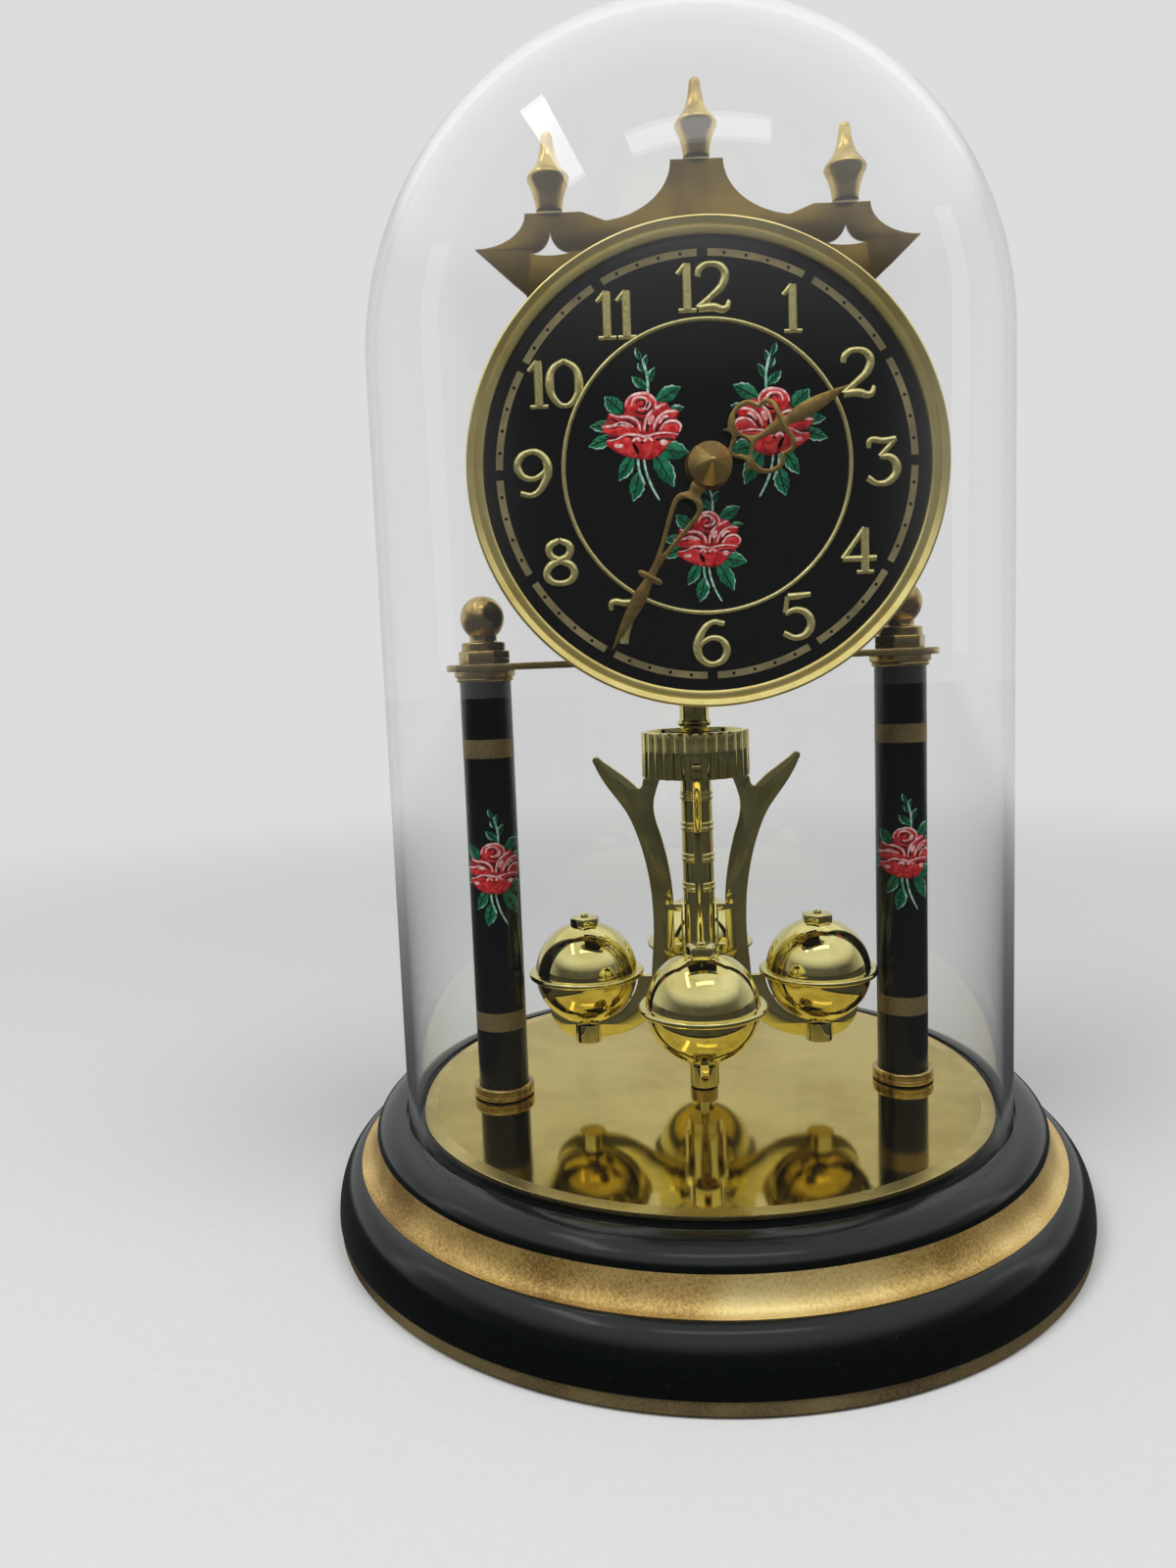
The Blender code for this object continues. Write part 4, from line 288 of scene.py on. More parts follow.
def soft_lamp(name, place, width, height, watts, turn=0, mirrored=True, in_glass=True):
    """A lamp that faces the clock, turned about its own axis, that mirrors and glass show or not."""
    lamp = bpy.data.lights.new(name, "AREA")
    lamp.shape = "RECTANGLE"
    lamp.size = width
    lamp.size_y = height
    lamp.energy = watts
    holder = bpy.data.objects.new(name, lamp)
    bpy.context.scene.collection.objects.link(holder)
    holder.visible_glossy = mirrored
    holder.visible_transmission = mirrored and in_glass
    facing = (CLOCK_MIDDLE - Vector(place)).to_track_quat("-Z", "Y").to_matrix().to_4x4()
    holder.matrix_world = Matrix.Translation(place) @ facing @ Matrix.Rotation(math.radians(turn), 4, "Z")
    print(f"{name}: {watts} W, {width} x {height} m")


soft_lamp("high_left", (-0.46, -0.46, 0.95), 0.35, 0.55, 6.5, mirrored=False)
soft_lamp("high_right", (0.40, -0.42, 1.00), 0.50, 0.40, 5.5, mirrored=False)
soft_lamp("streak_left", (-0.492, -0.213, 1.003), 0.09, 0.66, 0.50, turn=59)
soft_lamp("streak_top", (0.043, -0.511, 1.028), 0.62, 0.15, 0.50)
soft_lamp("window_left", (-0.95, 0.10, 0.40), 0.16, 0.60, 0.16, in_glass=False)
soft_lamp("window_right", (0.95, 0.05, 0.40), 0.16, 0.60, 0.16, in_glass=False)

# %% [markdown]
# ## Finishes of the base and columns
# The base is moulded plastic sprayed with black lacquer: nearly black, glossy, with a trace of orange peel
# and dust. Its cove and foot band, and the bands on the columns, are bronze gilt: fine metal powder in
# varnish, so it glitters in grains and varies from straw to brown.

# %% Black lacquer


def black_lacquer():
    """Sprayed gloss lacquer with orange peel a millimetre wide and a little dust."""
    made, tree, shader, place = new_finish("black_lacquer")
    dust = add(tree, "TexNoise", {"Vector": place, "Scale": cells_per_metre(0.7), "Detail": 6.0})
    specks = add(tree, "ValToRGB", [dust], [(0.0, "#040706"), (0.64, "#060A09"), (0.76, "#1C201C")])
    haze = add(tree, "TexNoise", {"Vector": place, "Scale": cells_per_metre(14.0), "Detail": 3.0})
    rough = add(tree, "MapRange", {"Value": haze, "To Min": 0.10, "To Max": 0.24})
    peel = add(tree, "TexNoise", {"Vector": place, "Scale": cells_per_metre(1.2), "Detail": 1.0})
    bump = add(tree, "Bump", {"Height": peel, "Strength": 0.06, "Distance": 0.0002})
    feed(tree, shader, {"Base Color": specks, "Roughness": rough, "Normal": bump, "Specular IOR Level": 0.40})
    return made


BLACK_LACQUER = black_lacquer()
print(BLACK_LACQUER.name)

# %% Bronze gilt


def bronze_gilt(name, dark, middle, pale):
    """Bronze powder paint: half a millimetre grains of three tones that glint one by one."""
    made, tree, shader, place = new_finish(name)
    grains = add(tree, "TexNoise",
                 {"Vector": place, "Scale": cells_per_metre(0.5), "Detail": 8.0, "Roughness": 0.75})
    drift = add(tree, "TexNoise", {"Vector": place, "Scale": cells_per_metre(22.0), "Detail": 2.0})
    both = add(tree, "Math", [grains, drift], operation="ADD")
    mean = add(tree, "Math", [both, 0.5], operation="MULTIPLY")
    tones = add(tree, "ValToRGB", [mean], [(0.38, dark), (0.50, middle), (0.62, pale)])
    rough = add(tree, "MapRange", {"Value": grains, "To Min": 0.55, "To Max": 0.30})
    bump = add(tree, "Bump", {"Height": grains, "Strength": 0.35, "Distance": 0.0001})
    feed(tree, shader, {"Base Color": tones, "Metallic": 0.6, "Roughness": rough, "Normal": bump})
    return made


COVE_GILT = bronze_gilt("bronze_gilt_cove", "#866A34", "#CCAC68", "#E8D292")
BAND_GILT = bronze_gilt("bronze_gilt_band", "#5A4A30", "#86744F", "#A39064")
print(COVE_GILT.name, BAND_GILT.name)

# %% [markdown]
# ## How the round pieces are turned
# Most of this clock came off a lathe or out of a round mould. Such a piece is drawn as half a section: one
# vertex is extruded from point to point in edit mode, and the outline is spun round the axis. Merging doubles
# closes the poles, and a small bevel gives each sharp edge the thin highlight that real metal has.

# %% Helpers for shaping
WIDE_STEPS = 192
BALL_STEPS = 96
MIDDLE_STEPS = 72
SMALL_STEPS = 48
MERGE_DISTANCE = 0.000002
EDGE_ANGLE = math.radians(28)
SMOOTH_ANGLE = math.radians(40)


def pick(piece):
    """Makes one piece the only selected and active one."""
    bpy.ops.object.select_all(action="DESELECT")
    piece.select_set(True)
    bpy.context.view_layer.objects.active = piece


def change(piece, kind, **settings):
    """Adds a modifier, sets it and applies it."""
    pick(piece)
    bpy.ops.object.modifier_add(type=kind)
    modifier = piece.modifiers[-1]
    for name, value in settings.items():
        setattr(modifier, name, value)
    bpy.ops.object.modifier_apply(modifier=modifier.name)


def tidy(piece):
    """Merges doubles and points every face outwards."""
    pick(piece)
    bpy.ops.object.mode_set(mode="EDIT")
    bpy.ops.mesh.select_all(action="SELECT")
    bpy.ops.mesh.remove_doubles(threshold=MERGE_DISTANCE)
    bpy.ops.mesh.normals_make_consistent(inside=False)
    bpy.ops.object.mode_set(mode="OBJECT")


def smooth(piece):
    """Shades a piece smooth between its sharp edges."""
    pick(piece)
    bpy.ops.object.shade_smooth_by_angle(angle=SMOOTH_ANGLE)


def rounded(piece, width, segments=2):
    """Bevels the sharp edges of a piece."""
    change(piece, "BEVEL", width=width, segments=segments, limit_method="ANGLE", angle_limit=EDGE_ANGLE)


def joined(piece, others):
    """Joins other pieces to one."""
    pick(piece)
    for other in others:
        other.select_set(True)
    bpy.ops.object.join()


def settle(piece, place=Matrix.Identity(4)):
    """Puts a piece in its place, and that place in its mesh."""
    piece.matrix_world = place
    pick(piece)
    bpy.ops.object.transform_apply(location=True, rotation=True, scale=True)


def dress(piece, finishes, body, slot, *nodes):
    """Gives a piece its finishes, its body and the solids it stands for. The slot it is given is not used."""
    piece.data.materials.clear()
    for finish in finishes if isinstance(finishes, list) else [finishes]:
        piece.data.materials.append(finish)
    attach(piece, body)
    if nodes:
        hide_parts(*nodes)
    width, depth, height = (side * 1000 for side in piece.dimensions)
    print(f"{piece.name}: {len(piece.data.polygons)} faces, {width:.1f} x {depth:.1f} x {height:.1f} mm")


def arc(across, up, radius, start, end, steps, rise=None):
    """Points on part of a circle, or of an ellipse with another rise, with angles in degrees."""
    turns = [math.radians(start + (end - start) * k / steps) for k in range(steps + 1)]
    return [(across + radius * math.cos(t), up + (rise or radius) * math.sin(t)) for t in turns]


def turned(name, outline, steps=MIDDLE_STEPS, edge=0.00012, closed=True):
    """Draws an outline of (radius, height) points from one vertex, spins it round Z and rounds its edges."""
    bpy.ops.object.select_all(action="DESELECT")
    bpy.ops.mesh.primitive_plane_add(size=BASE_RADIUS, location=(0, 0, 0))
    piece = bpy.context.object
    piece.name = name
    path = list(outline)
    if closed and path[0][0] > 0:
        path.append(path[0])
    bpy.ops.object.mode_set(mode="EDIT")
    bpy.ops.mesh.merge(type="CENTER")
    bpy.ops.transform.translate(value=(path[0][0], 0, path[0][1]))
    for before, after in zip(path, path[1:]):
        step = (after[0] - before[0], 0, after[1] - before[1])
        bpy.ops.mesh.extrude_region_move(TRANSFORM_OT_translate={"value": step})
    bpy.ops.mesh.select_all(action="SELECT")
    bpy.ops.mesh.spin(steps=steps, angle=math.tau, center=(0, 0, 0), axis=(0, 0, 1))
    bpy.ops.object.mode_set(mode="OBJECT")
    tidy(piece)
    if edge:
        rounded(piece, edge)
    smooth(piece)
    change(piece, "WEIGHTED_NORMAL", keep_sharp=True)
    return piece


def copied(piece, name, place):
    """A copy with its own mesh, moved to its place."""
    pick(piece)
    bpy.ops.object.duplicate(linked=False)
    made = bpy.context.object
    made.name = name
    settle(made, place)
    return made


def paint(piece, index, inside):
    """Gives the faces whose middle passes a test another of the piece's finishes."""
    painted = [face for face in piece.data.polygons if inside(face.center)]
    for face in painted:
        face.material_index = index
    print(piece.name, len(painted), "faces painted", piece.data.materials[index].name)


# %% [markdown]
# ## The moulded base
# From the deck outwards the moulding falls away in a shoulder, a gilt cove, a thin lip and a round bulge over
# a narrow gilt foot band. Each of these is an arc or a step in one outline, as it is in the mould.

# %% Base shell
SHOULDER_WIDTH = 0.0054
COVE_WIDTH = 0.0030
LIP_WIDTH = 0.0005
BULGE_WIDTH = 0.0051
FOOT_STEP = 0.0003
FOOT_ROUND = 0.0007
FOOT_BAND_HEIGHT = 0.0032
COVE_FOOT_HEIGHT = 0.0134
COVE_TOP_HEIGHT = 0.0189
GROOVE_CLEARANCE = 0.0004
SHELL_WALL = 0.0030
DECK_THICKNESS = 0.0036

deck_height = PLATE_BOTTOM - SEAT_GAP
groove_floor = DOME_FOOT - SEAT_GAP
groove_radius = DOME_RADIUS + GROOVE_CLEARANCE
under_deck = groove_floor - DECK_THICKNESS
cover_radius = radius_of("bottom_cover") + SEAT_GAP
cover_top = high("bottom_cover").z + SEAT_GAP
lip_radius = BASE_RADIUS - BULGE_WIDTH
cove_foot_radius = lip_radius - LIP_WIDTH
cove_top_radius = cove_foot_radius - COVE_WIDTH
crest_radius = cove_top_radius - SHOULDER_WIDTH
foot_radius = BASE_RADIUS - FOOT_STEP
outline = [(0, deck_height), (PLATE_RADIUS, deck_height), (PLATE_RADIUS, groove_floor),
           (groove_radius, groove_floor), (groove_radius, RIM_HEIGHT)]
outline += arc(crest_radius, COVE_TOP_HEIGHT, SHOULDER_WIDTH, 90, 0, 12, RIM_HEIGHT - COVE_TOP_HEIGHT)
cove_rise = COVE_TOP_HEIGHT - COVE_FOOT_HEIGHT
outline += arc(cove_foot_radius, COVE_TOP_HEIGHT, COVE_WIDTH, 180, 270, 10, cove_rise)[1:]
outline += arc(lip_radius, FOOT_BAND_HEIGHT, BULGE_WIDTH, 90, 0, 16, COVE_FOOT_HEIGHT - FOOT_BAND_HEIGHT)
outline += [(foot_radius, FOOT_BAND_HEIGHT), (foot_radius, FOOT_ROUND), (foot_radius - FOOT_ROUND, 0),
            (cover_radius, 0), (cover_radius, cover_top), (cover_radius - SHELL_WALL, cover_top),
            (cover_radius - SHELL_WALL, COVE_FOOT_HEIGHT - SHELL_WALL),
            (cove_top_radius - SHELL_WALL, under_deck), (0, under_deck)]
base = turned("moulded_base", outline, WIDE_STEPS)
dress(base, [BLACK_LACQUER, COVE_GILT, BAND_GILT], "clock", "black_lacquer", "base_shell")
paint(base, 1, lambda at: COVE_FOOT_HEIGHT < at.z < COVE_TOP_HEIGHT
      and at.xy.length > cove_top_radius - SEAT_GAP)
paint(base, 2, lambda at: at.z < FOOT_BAND_HEIGHT and at.xy.length > cover_radius + SHELL_WALL / 2)

# %% [markdown]
# ## Brass
# The brass here comes in several states. The deck is sheet brass polished to a soft mirror under lacquer,
# with a satin rim. The bezel is spun and polished, with fine rings from the lathe. Collars, nuts, finials and
# the strap are older and browner, with stains. The crown is brushed sheet, olive where the lacquer has worn.
# Each state has the same parts: a metallic base with slow stains, a roughness that varies with them, and fine
# scratches as bump.

# %% Polished and aged brass


def worn_brass(name, clean, stained, rough_low, rough_high, stain_mm,
               scratch_mm=0.25, scratch=0.05, stretch=(1, 1, 1)):
    """Metal that is clean in some places and stained in others, with scratches along one direction."""
    made, tree, shader, place = new_finish(name)
    stains = add(tree, "TexNoise",
                 {"Vector": place, "Scale": cells_per_metre(stain_mm), "Detail": 5.0, "Roughness": 0.6})
    tones = add(tree, "ValToRGB", [stains], [(0.40, clean), (0.66, stained)])
    rough = add(tree, "MapRange", {"Value": stains, "From Min": 0.35, "From Max": 0.65,
                                   "To Min": rough_low, "To Max": rough_high})
    along = add(tree, "Mapping", {"Vector": place, "Scale": stretch})
    lines = add(tree, "TexNoise", {"Vector": along, "Scale": cells_per_metre(scratch_mm), "Detail": 3.0})
    bump = add(tree, "Bump", {"Height": lines, "Strength": scratch, "Distance": 0.0001})
    feed(tree, shader, {"Base Color": tones, "Metallic": 1.0, "Roughness": rough, "Normal": bump})
    return made


DECK_BRASS = worn_brass("polished_deck_brass", "#D8C570", "#BFAA58", 0.035, 0.085, 30.0, 0.4, 0.008,
                        (1, 12, 1))
EDGE_BRASS = worn_brass("satin_deck_edge", "#E4D084", "#CDB66C", 0.24, 0.36, 9.0, 0.25, 0.03)
AGED_BRASS = worn_brass("aged_satin_brass", "#C8B070", "#947C46", 0.12, 0.30, 3.0, 0.25, 0.010)
STRAP_BRASS = worn_brass("aged_strap_brass", "#D0B878", "#A58E58", 0.22, 0.36, 6.0, 0.25, 0.03, (1, 8, 8))
CROWN_BRASS = worn_brass("brushed_crown_brass", "#806A2E", "#695424", 0.28, 0.42, 9.0, 0.16, 0.10,
                         (0.08, 1, 1))
FINIAL_BRASS = worn_brass("crown_finial_brass", "#D8C07C", "#A98D50", 0.14, 0.28, 4.0, 0.25, 0.010)
TRAIN_BRASS = worn_brass("plain_wheel_brass", "#C9A85C", "#A98A48", 0.22, 0.34, 5.0)
# Satin gold plate has grain across the hand and a few brown specks.
HAND_GOLD = worn_brass("matt_hand_gold", "#C8A864", "#A2854C", 0.30, 0.44, 2.0, 0.12, 0.08)
print("eight states of brass")

# %% Turned brass
DIAL_CENTRE = (0, DIAL_FACE_Y, DIAL_HEIGHT)
FACING_FRONT = (math.radians(90), 0, 0)


def lathe_brass(name, clean, dull, rough_low, rough_high, ring_mm):
    """Metal with fine rings from a lathe round the dial's axis."""
    made, tree, shader, place = new_finish(name)
    local = add(tree, "Mapping", {"Vector": place, "Location": DIAL_CENTRE, "Rotation": FACING_FRONT},
                vector_type="TEXTURE")
    rings = add(tree, "TexWave", {"Vector": local, "Scale": cells_per_metre(ring_mm) / math.tau,
                                  "Distortion": 0.6, "Detail": 2.0}, wave_type="RINGS", rings_direction="Z")
    haze = add(tree, "TexNoise", {"Vector": place, "Scale": cells_per_metre(6.0), "Detail": 4.0})
    tones = add(tree, "ValToRGB", [haze], [(0.38, clean), (0.72, dull)])
    rough = add(tree, "MapRange", {"Value": haze, "From Min": 0.3, "From Max": 0.7,
                                   "To Min": rough_low, "To Max": rough_high})
    bump = add(tree, "Bump", {"Height": rings.outputs["Fac"], "Strength": 0.05, "Distance": 0.00005})
    feed(tree, shader, {"Base Color": tones, "Metallic": 0.85, "Roughness": rough, "Normal": bump})
    return made


BEZEL_BRASS = lathe_brass("spun_bezel_brass", "#F4E296", "#DFC974", 0.10, 0.20, 0.25)
HAND_NUT_BRASS = lathe_brass("turned_nut_brass", "#C4A766", "#9C8048", 0.18, 0.30, 0.22)
print(BEZEL_BRASS.name, HAND_NUT_BRASS.name)

# %% Deck plate
SATIN_WIDTH = 0.0028
PLATE_EDGE = 0.0002

satin_start = PLATE_RADIUS - SATIN_WIDTH
outline = [(0, PLATE_BOTTOM), (PLATE_RADIUS, PLATE_BOTTOM), (PLATE_RADIUS, PLATE_TOP),
           (satin_start, PLATE_TOP), (0, PLATE_TOP)]
deck = turned("brass_deck", outline, WIDE_STEPS, PLATE_EDGE)
dress(deck, [DECK_BRASS, EDGE_BRASS], "clock", "polished_brass", "deck_plate")
paint(deck, 1, lambda at: at.xy.length > satin_start)

# %% [markdown]
# ## The dome
# The dome is blown glass 1.8 mm thick: a cylinder that closes in half a sphere, with a fire-rounded foot.
# Clear glass is a Principled shader with full transmission, and rays from lamps go straight through it,
# because light really does reach the clock inside.

# %% Glass and dome
DOME_WALL = 0.0018
GLASS_IOR = 1.45


def clear_glass():
    """Clear glass with faint smears, through which the lamps still light what is inside."""
    made, tree, shader, place = new_finish("clear_glass")
    smears = add(tree, "TexNoise", {"Vector": place, "Scale": cells_per_metre(35.0), "Detail": 5.0})
    rough = add(tree, "MapRange", {"Value": smears, "From Min": 0.45, "From Max": 0.8,
                                   "To Min": 0.0, "To Max": 0.03})
    feed(tree, shader, {"Base Color": "#FDFDFC", "Transmission Weight": 1.0, "IOR": GLASS_IOR,
                        "Roughness": rough})
    lamp_rays = add(tree, "LightPath").outputs["Is Shadow Ray"]
    open_way = add(tree, "BsdfTransparent", {"Color": "#FBFBFA"})
    both = add(tree, "MixShader", [lamp_rays, shader, open_way])
    feed(tree, tree.nodes["Material Output"], {"Surface": both})
    return made


spring_height = DOME_TOP - DOME_RADIUS
straight_foot = DOME_FOOT + DOME_WALL * 2
bore = DOME_RADIUS - DOME_WALL
outline = arc(0, spring_height, DOME_RADIUS, 90, 0, 40) + [(DOME_RADIUS, straight_foot)]
outline += arc(DOME_RADIUS - DOME_WALL / 2, DOME_FOOT + DOME_WALL / 2, DOME_WALL / 2, 0, -180, 8)
outline += [(bore, straight_foot)] + arc(0, spring_height, bore, 0, 90, 40)
dome = turned("blown_dome", outline, WIDE_STEPS, edge=0, closed=False)
dress(dome, clear_glass(), "dome", "clear_dome", "glass_dome")

# %% [markdown]
# ## Columns
# Each column is a black lacquered tube between two turned brass collars, held down by a long rod whose end
# takes a hex nut and a ball finial above the strap. One column is modelled at the origin and copied twice.

# %% Column tube and collars
COLUMN_RADIUS = radius_of("right_column_tube")
COLUMN_WALL = 0.0010
COLLAR_WEB = 0.0010
LOWER_BAND = (0.0390, 0.0430)
UPPER_BAND = (0.0974, 0.1013)
ROD_RADIUS = 0.0019
GROOVE_HEIGHTS = (0.0007, 0.0008, 0.0009)
GROOVE_DEPTH = 0.0001
COLLAR_ROUND = 0.0006
FLANGE_THICKNESS = 0.0011
STEP_HEIGHT = 0.0013
STEP_WIDTH = 0.0003
ROLL_RADIUS = 0.0005
ROLL_INSET = 0.0009


def column_tube():
    """A tube with its ends open."""
    foot, top = low("right_column_tube").z, high("right_column_tube").z
    heights = [top, *reversed(UPPER_BAND), *reversed(LOWER_BAND), foot]
    bore = COLUMN_RADIUS - COLUMN_WALL
    return turned("column_tube", [(COLUMN_RADIUS, z) for z in heights] + [(bore, foot), (bore, top)])


def bottom_collar():
    """A low plain ring with a rounded upper edge and one fine groove."""
    radius = radius_of("right_bottom_collar")
    foot, top = low("right_bottom_collar").z, high("right_bottom_collar").z
    web = foot + COLLAR_WEB
    start, deepest, end = (foot + height for height in GROOVE_HEIGHTS)
    outline = [(ROD_RADIUS, foot), (radius, foot), (radius, start), (radius - GROOVE_DEPTH, deepest),
               (radius, end), (radius, top - COLLAR_ROUND)]
    outline += arc(radius - COLLAR_ROUND, top - COLLAR_ROUND, COLLAR_ROUND, 0, 90, 5)[1:]
    outline += [(COLUMN_RADIUS, top), (COLUMN_RADIUS, web), (ROD_RADIUS, web)]
    return turned("bottom_collar", outline, edge=0.00005)


def top_collar():
    """A flat ring under the strap and a rolled step below it."""
    radius = radius_of("right_top_collar")
    foot, top = low("right_top_collar").z, low("strap").z
    web = top - COLLAR_WEB
    outline = [(ROD_RADIUS, top), (radius, top), (radius, top - FLANGE_THICKNESS),
               (radius - STEP_WIDTH, top - STEP_HEIGHT)]
    outline += arc(radius - ROLL_INSET, foot + ROLL_RADIUS, ROLL_RADIUS, 60, -90, 5)
    outline += [(COLUMN_RADIUS, foot), (COLUMN_RADIUS, web), (ROD_RADIUS, web)]
    return turned("top_collar", outline, edge=0.00008)


# %% Nut and ball finial
FINIAL_BALL_RADIUS = 0.0046
NECK_RADIUS = 0.0029
NECK_FLARE = 0.0003
SHOULDER_HEIGHT = 0.0015
SHOULDER_ROUND = 0.0004
ROD_END = 0.0028
NUT_INSET_SHARE = 0.30
NUT_CROWN = 0.0001
NUT_EDGE = 0.0003


def ball_finial():
    """A stepped shoulder, a short neck and a ball, bored for the rod."""
    foot, top = high("right_hex_nut").z, high("right_ball_finial").z
    radius = radius_of("right_ball_finial")
    rim = radius - SHOULDER_ROUND
    shoulder = low("right_ball_finial").z + SHOULDER_HEIGHT
    lowest = -math.degrees(math.acos(NECK_RADIUS / FINIAL_BALL_RADIUS))
    outline = arc(0, top - FINIAL_BALL_RADIUS, FINIAL_BALL_RADIUS, 90, lowest, 18)
    outline += [(NECK_RADIUS, shoulder + NECK_FLARE), (NECK_RADIUS + NECK_FLARE, shoulder), (rim, shoulder)]
    outline += arc(rim, shoulder - SHOULDER_ROUND, SHOULDER_ROUND, 90, 0, 4)[1:]
    outline += [(radius, foot), (ROD_RADIUS, foot), (ROD_RADIUS, foot + ROD_END), (0, foot + ROD_END)]
    return turned("ball_finial", outline, SMALL_STEPS, edge=0.00006)


def hex_nut():
    """A six-sided nut with a raised face and rounded corners."""
    across = radius_of("right_hex_nut")
    foot, top = high("strap").z, high("right_hex_nut").z
    bpy.ops.object.select_all(action="DESELECT")
    bpy.ops.mesh.primitive_circle_add(vertices=6, radius=across, fill_type="NGON",
                                      rotation=(0, 0, math.radians(90)), location=(0, 0, foot))
    nut = bpy.context.object
    nut.name = "hex_nut"
    settle(nut, nut.matrix_world.copy())
    bpy.ops.object.mode_set(mode="EDIT")
    bpy.ops.mesh.select_all(action="SELECT")
    bpy.ops.mesh.extrude_region_move(TRANSFORM_OT_translate={"value": (0, 0, top - foot)})
    bpy.ops.mesh.inset(thickness=across * NUT_INSET_SHARE)
    bpy.ops.transform.translate(value=(0, 0, NUT_CROWN))
    bpy.ops.object.mode_set(mode="OBJECT")
    tidy(nut)
    rounded(nut, NUT_EDGE)
    smooth(nut)
    return nut


# %% Two columns
PARTS = {"column_tube": (column_tube, [BLACK_LACQUER, BAND_GILT], "black_lacquer"),
         "bottom_collar": (bottom_collar, AGED_BRASS, "aged_brass"),
         "top_collar": (top_collar, AGED_BRASS, "aged_brass"),
         "ball_finial": (ball_finial, AGED_BRASS, "aged_brass"),
         "hex_nut": (hex_nut, AGED_BRASS, "aged_brass")}
for kind, (make, finishes, slot) in PARTS.items():
    model = make()
    for side, x in (("left", -COLUMN_X), ("right", COLUMN_X)):
        made = copied(model, f"{side}_{kind}_turned", Matrix.Translation((x, COLUMN_Y, 0)))
        dress(made, finishes, "clock", slot, f"{side}_{kind}")
        if kind == "column_tube":
            paint(made, 1, lambda at: any(foot < at.z < top for foot, top in (LOWER_BAND, UPPER_BAND)))
    bpy.data.objects.remove(model)

# %% [markdown]
# ## Plates cut from sheet
# The strap, the crown, the hands and the pendulum's arms are stamped from sheet metal. Each is a flat curve
# with its rim and its windows, given a thickness and a slightly rounded edge, and then turned into a mesh.

# %% Helpers for curves and stamped sheet


def meshed(name, curve):
    """Puts a curve in the scene and turns it into a mesh."""
    drawn = bpy.data.objects.new(name, curve)
    bpy.context.scene.collection.objects.link(drawn)
    pick(drawn)
    bpy.ops.object.convert(target="MESH")
    return bpy.context.object


def stamped(name, loops, thickness, edge, rounding=False, corners=()):
    """A plate in the XY plane, its middle at height nought. Rounding keeps only the listed corners sharp."""
    curve = bpy.data.curves.new(name, "CURVE")
    curve.dimensions = "2D"
    curve.fill_mode = "BOTH"
    curve.extrude = thickness / 2 - edge
    curve.bevel_depth = edge
    curve.bevel_resolution = 1
    curve.offset = -edge
    curve.resolution_u = 6
    for loop in loops:
        spline = curve.splines.new("BEZIER")
        spline.bezier_points.add(len(loop) - 1)
        for point, (x, y) in zip(spline.bezier_points, loop):
            handle = "AUTO" if rounding and (x, y) not in corners else "VECTOR"
            point.co = (x, y, 0)
            point.handle_left_type = handle
            point.handle_right_type = handle
        spline.use_cyclic_u = True
    plate = meshed(name, curve)
    tidy(plate)
    smooth(plate)
    return plate


def mirrored(half):
    """Closes a right-hand outline, bottom to top, with its left-hand mirror image."""
    return half + [(-x, y) for x, y in reversed(half) if x > 0]


def ring(radius, steps=24, x=0, y=0):
    """Points round a circle."""
    turns = [math.tau * k / steps for k in range(steps)]
    return [(x + radius * math.cos(turn), y + radius * math.sin(turn)) for turn in turns]


# %% Strap
SHAFT_HOLE = 0.0026
HOLE_STEPS = 16
STRAP_EDGE = 0.00015

strap_y = middle_of("strap")[1]
strap_width, strap_thickness = size_of("strap")[1:]
strap_half = strap_width / 2
strap_end = high("strap").x - strap_half
outline = arc(strap_end, strap_y, strap_half, -90, 90, 24) + arc(-strap_end, strap_y, strap_half, 90, 270, 24)
holes = [ring(radius, HOLE_STEPS, x, COLUMN_Y)
         for radius, x in ((ROD_RADIUS, -COLUMN_X), (ROD_RADIUS, COLUMN_X), (SHAFT_HOLE, 0))]
strap = stamped("stamped_strap", [outline, *holes], strap_thickness, STRAP_EDGE)
settle(strap, Matrix.Translation((0, 0, low("strap").z + strap_thickness / 2)))
dress(strap, STRAP_BRASS, "clock", "aged_brass", "strap")

# %% [markdown]
# ## Dial
# The dial is an aluminium disc in black enamel with a raised gilt ring and raised gilt numerals. A minute
# track is printed near its edge in dull gold: twelve arcs, each with four black minute dots, and a gap at
# each hour. The track is drawn by the material from the distance and angle round the dial's centre, so it
# is crisp however near the camera comes.

# %% Dial enamel with its printed minute track
TRACK_RADIUS = 0.0362
TRACK_HALF_WIDTH = 0.00062
HOUR_GAP = 0.0009
MINUTE_DOT = 0.00030


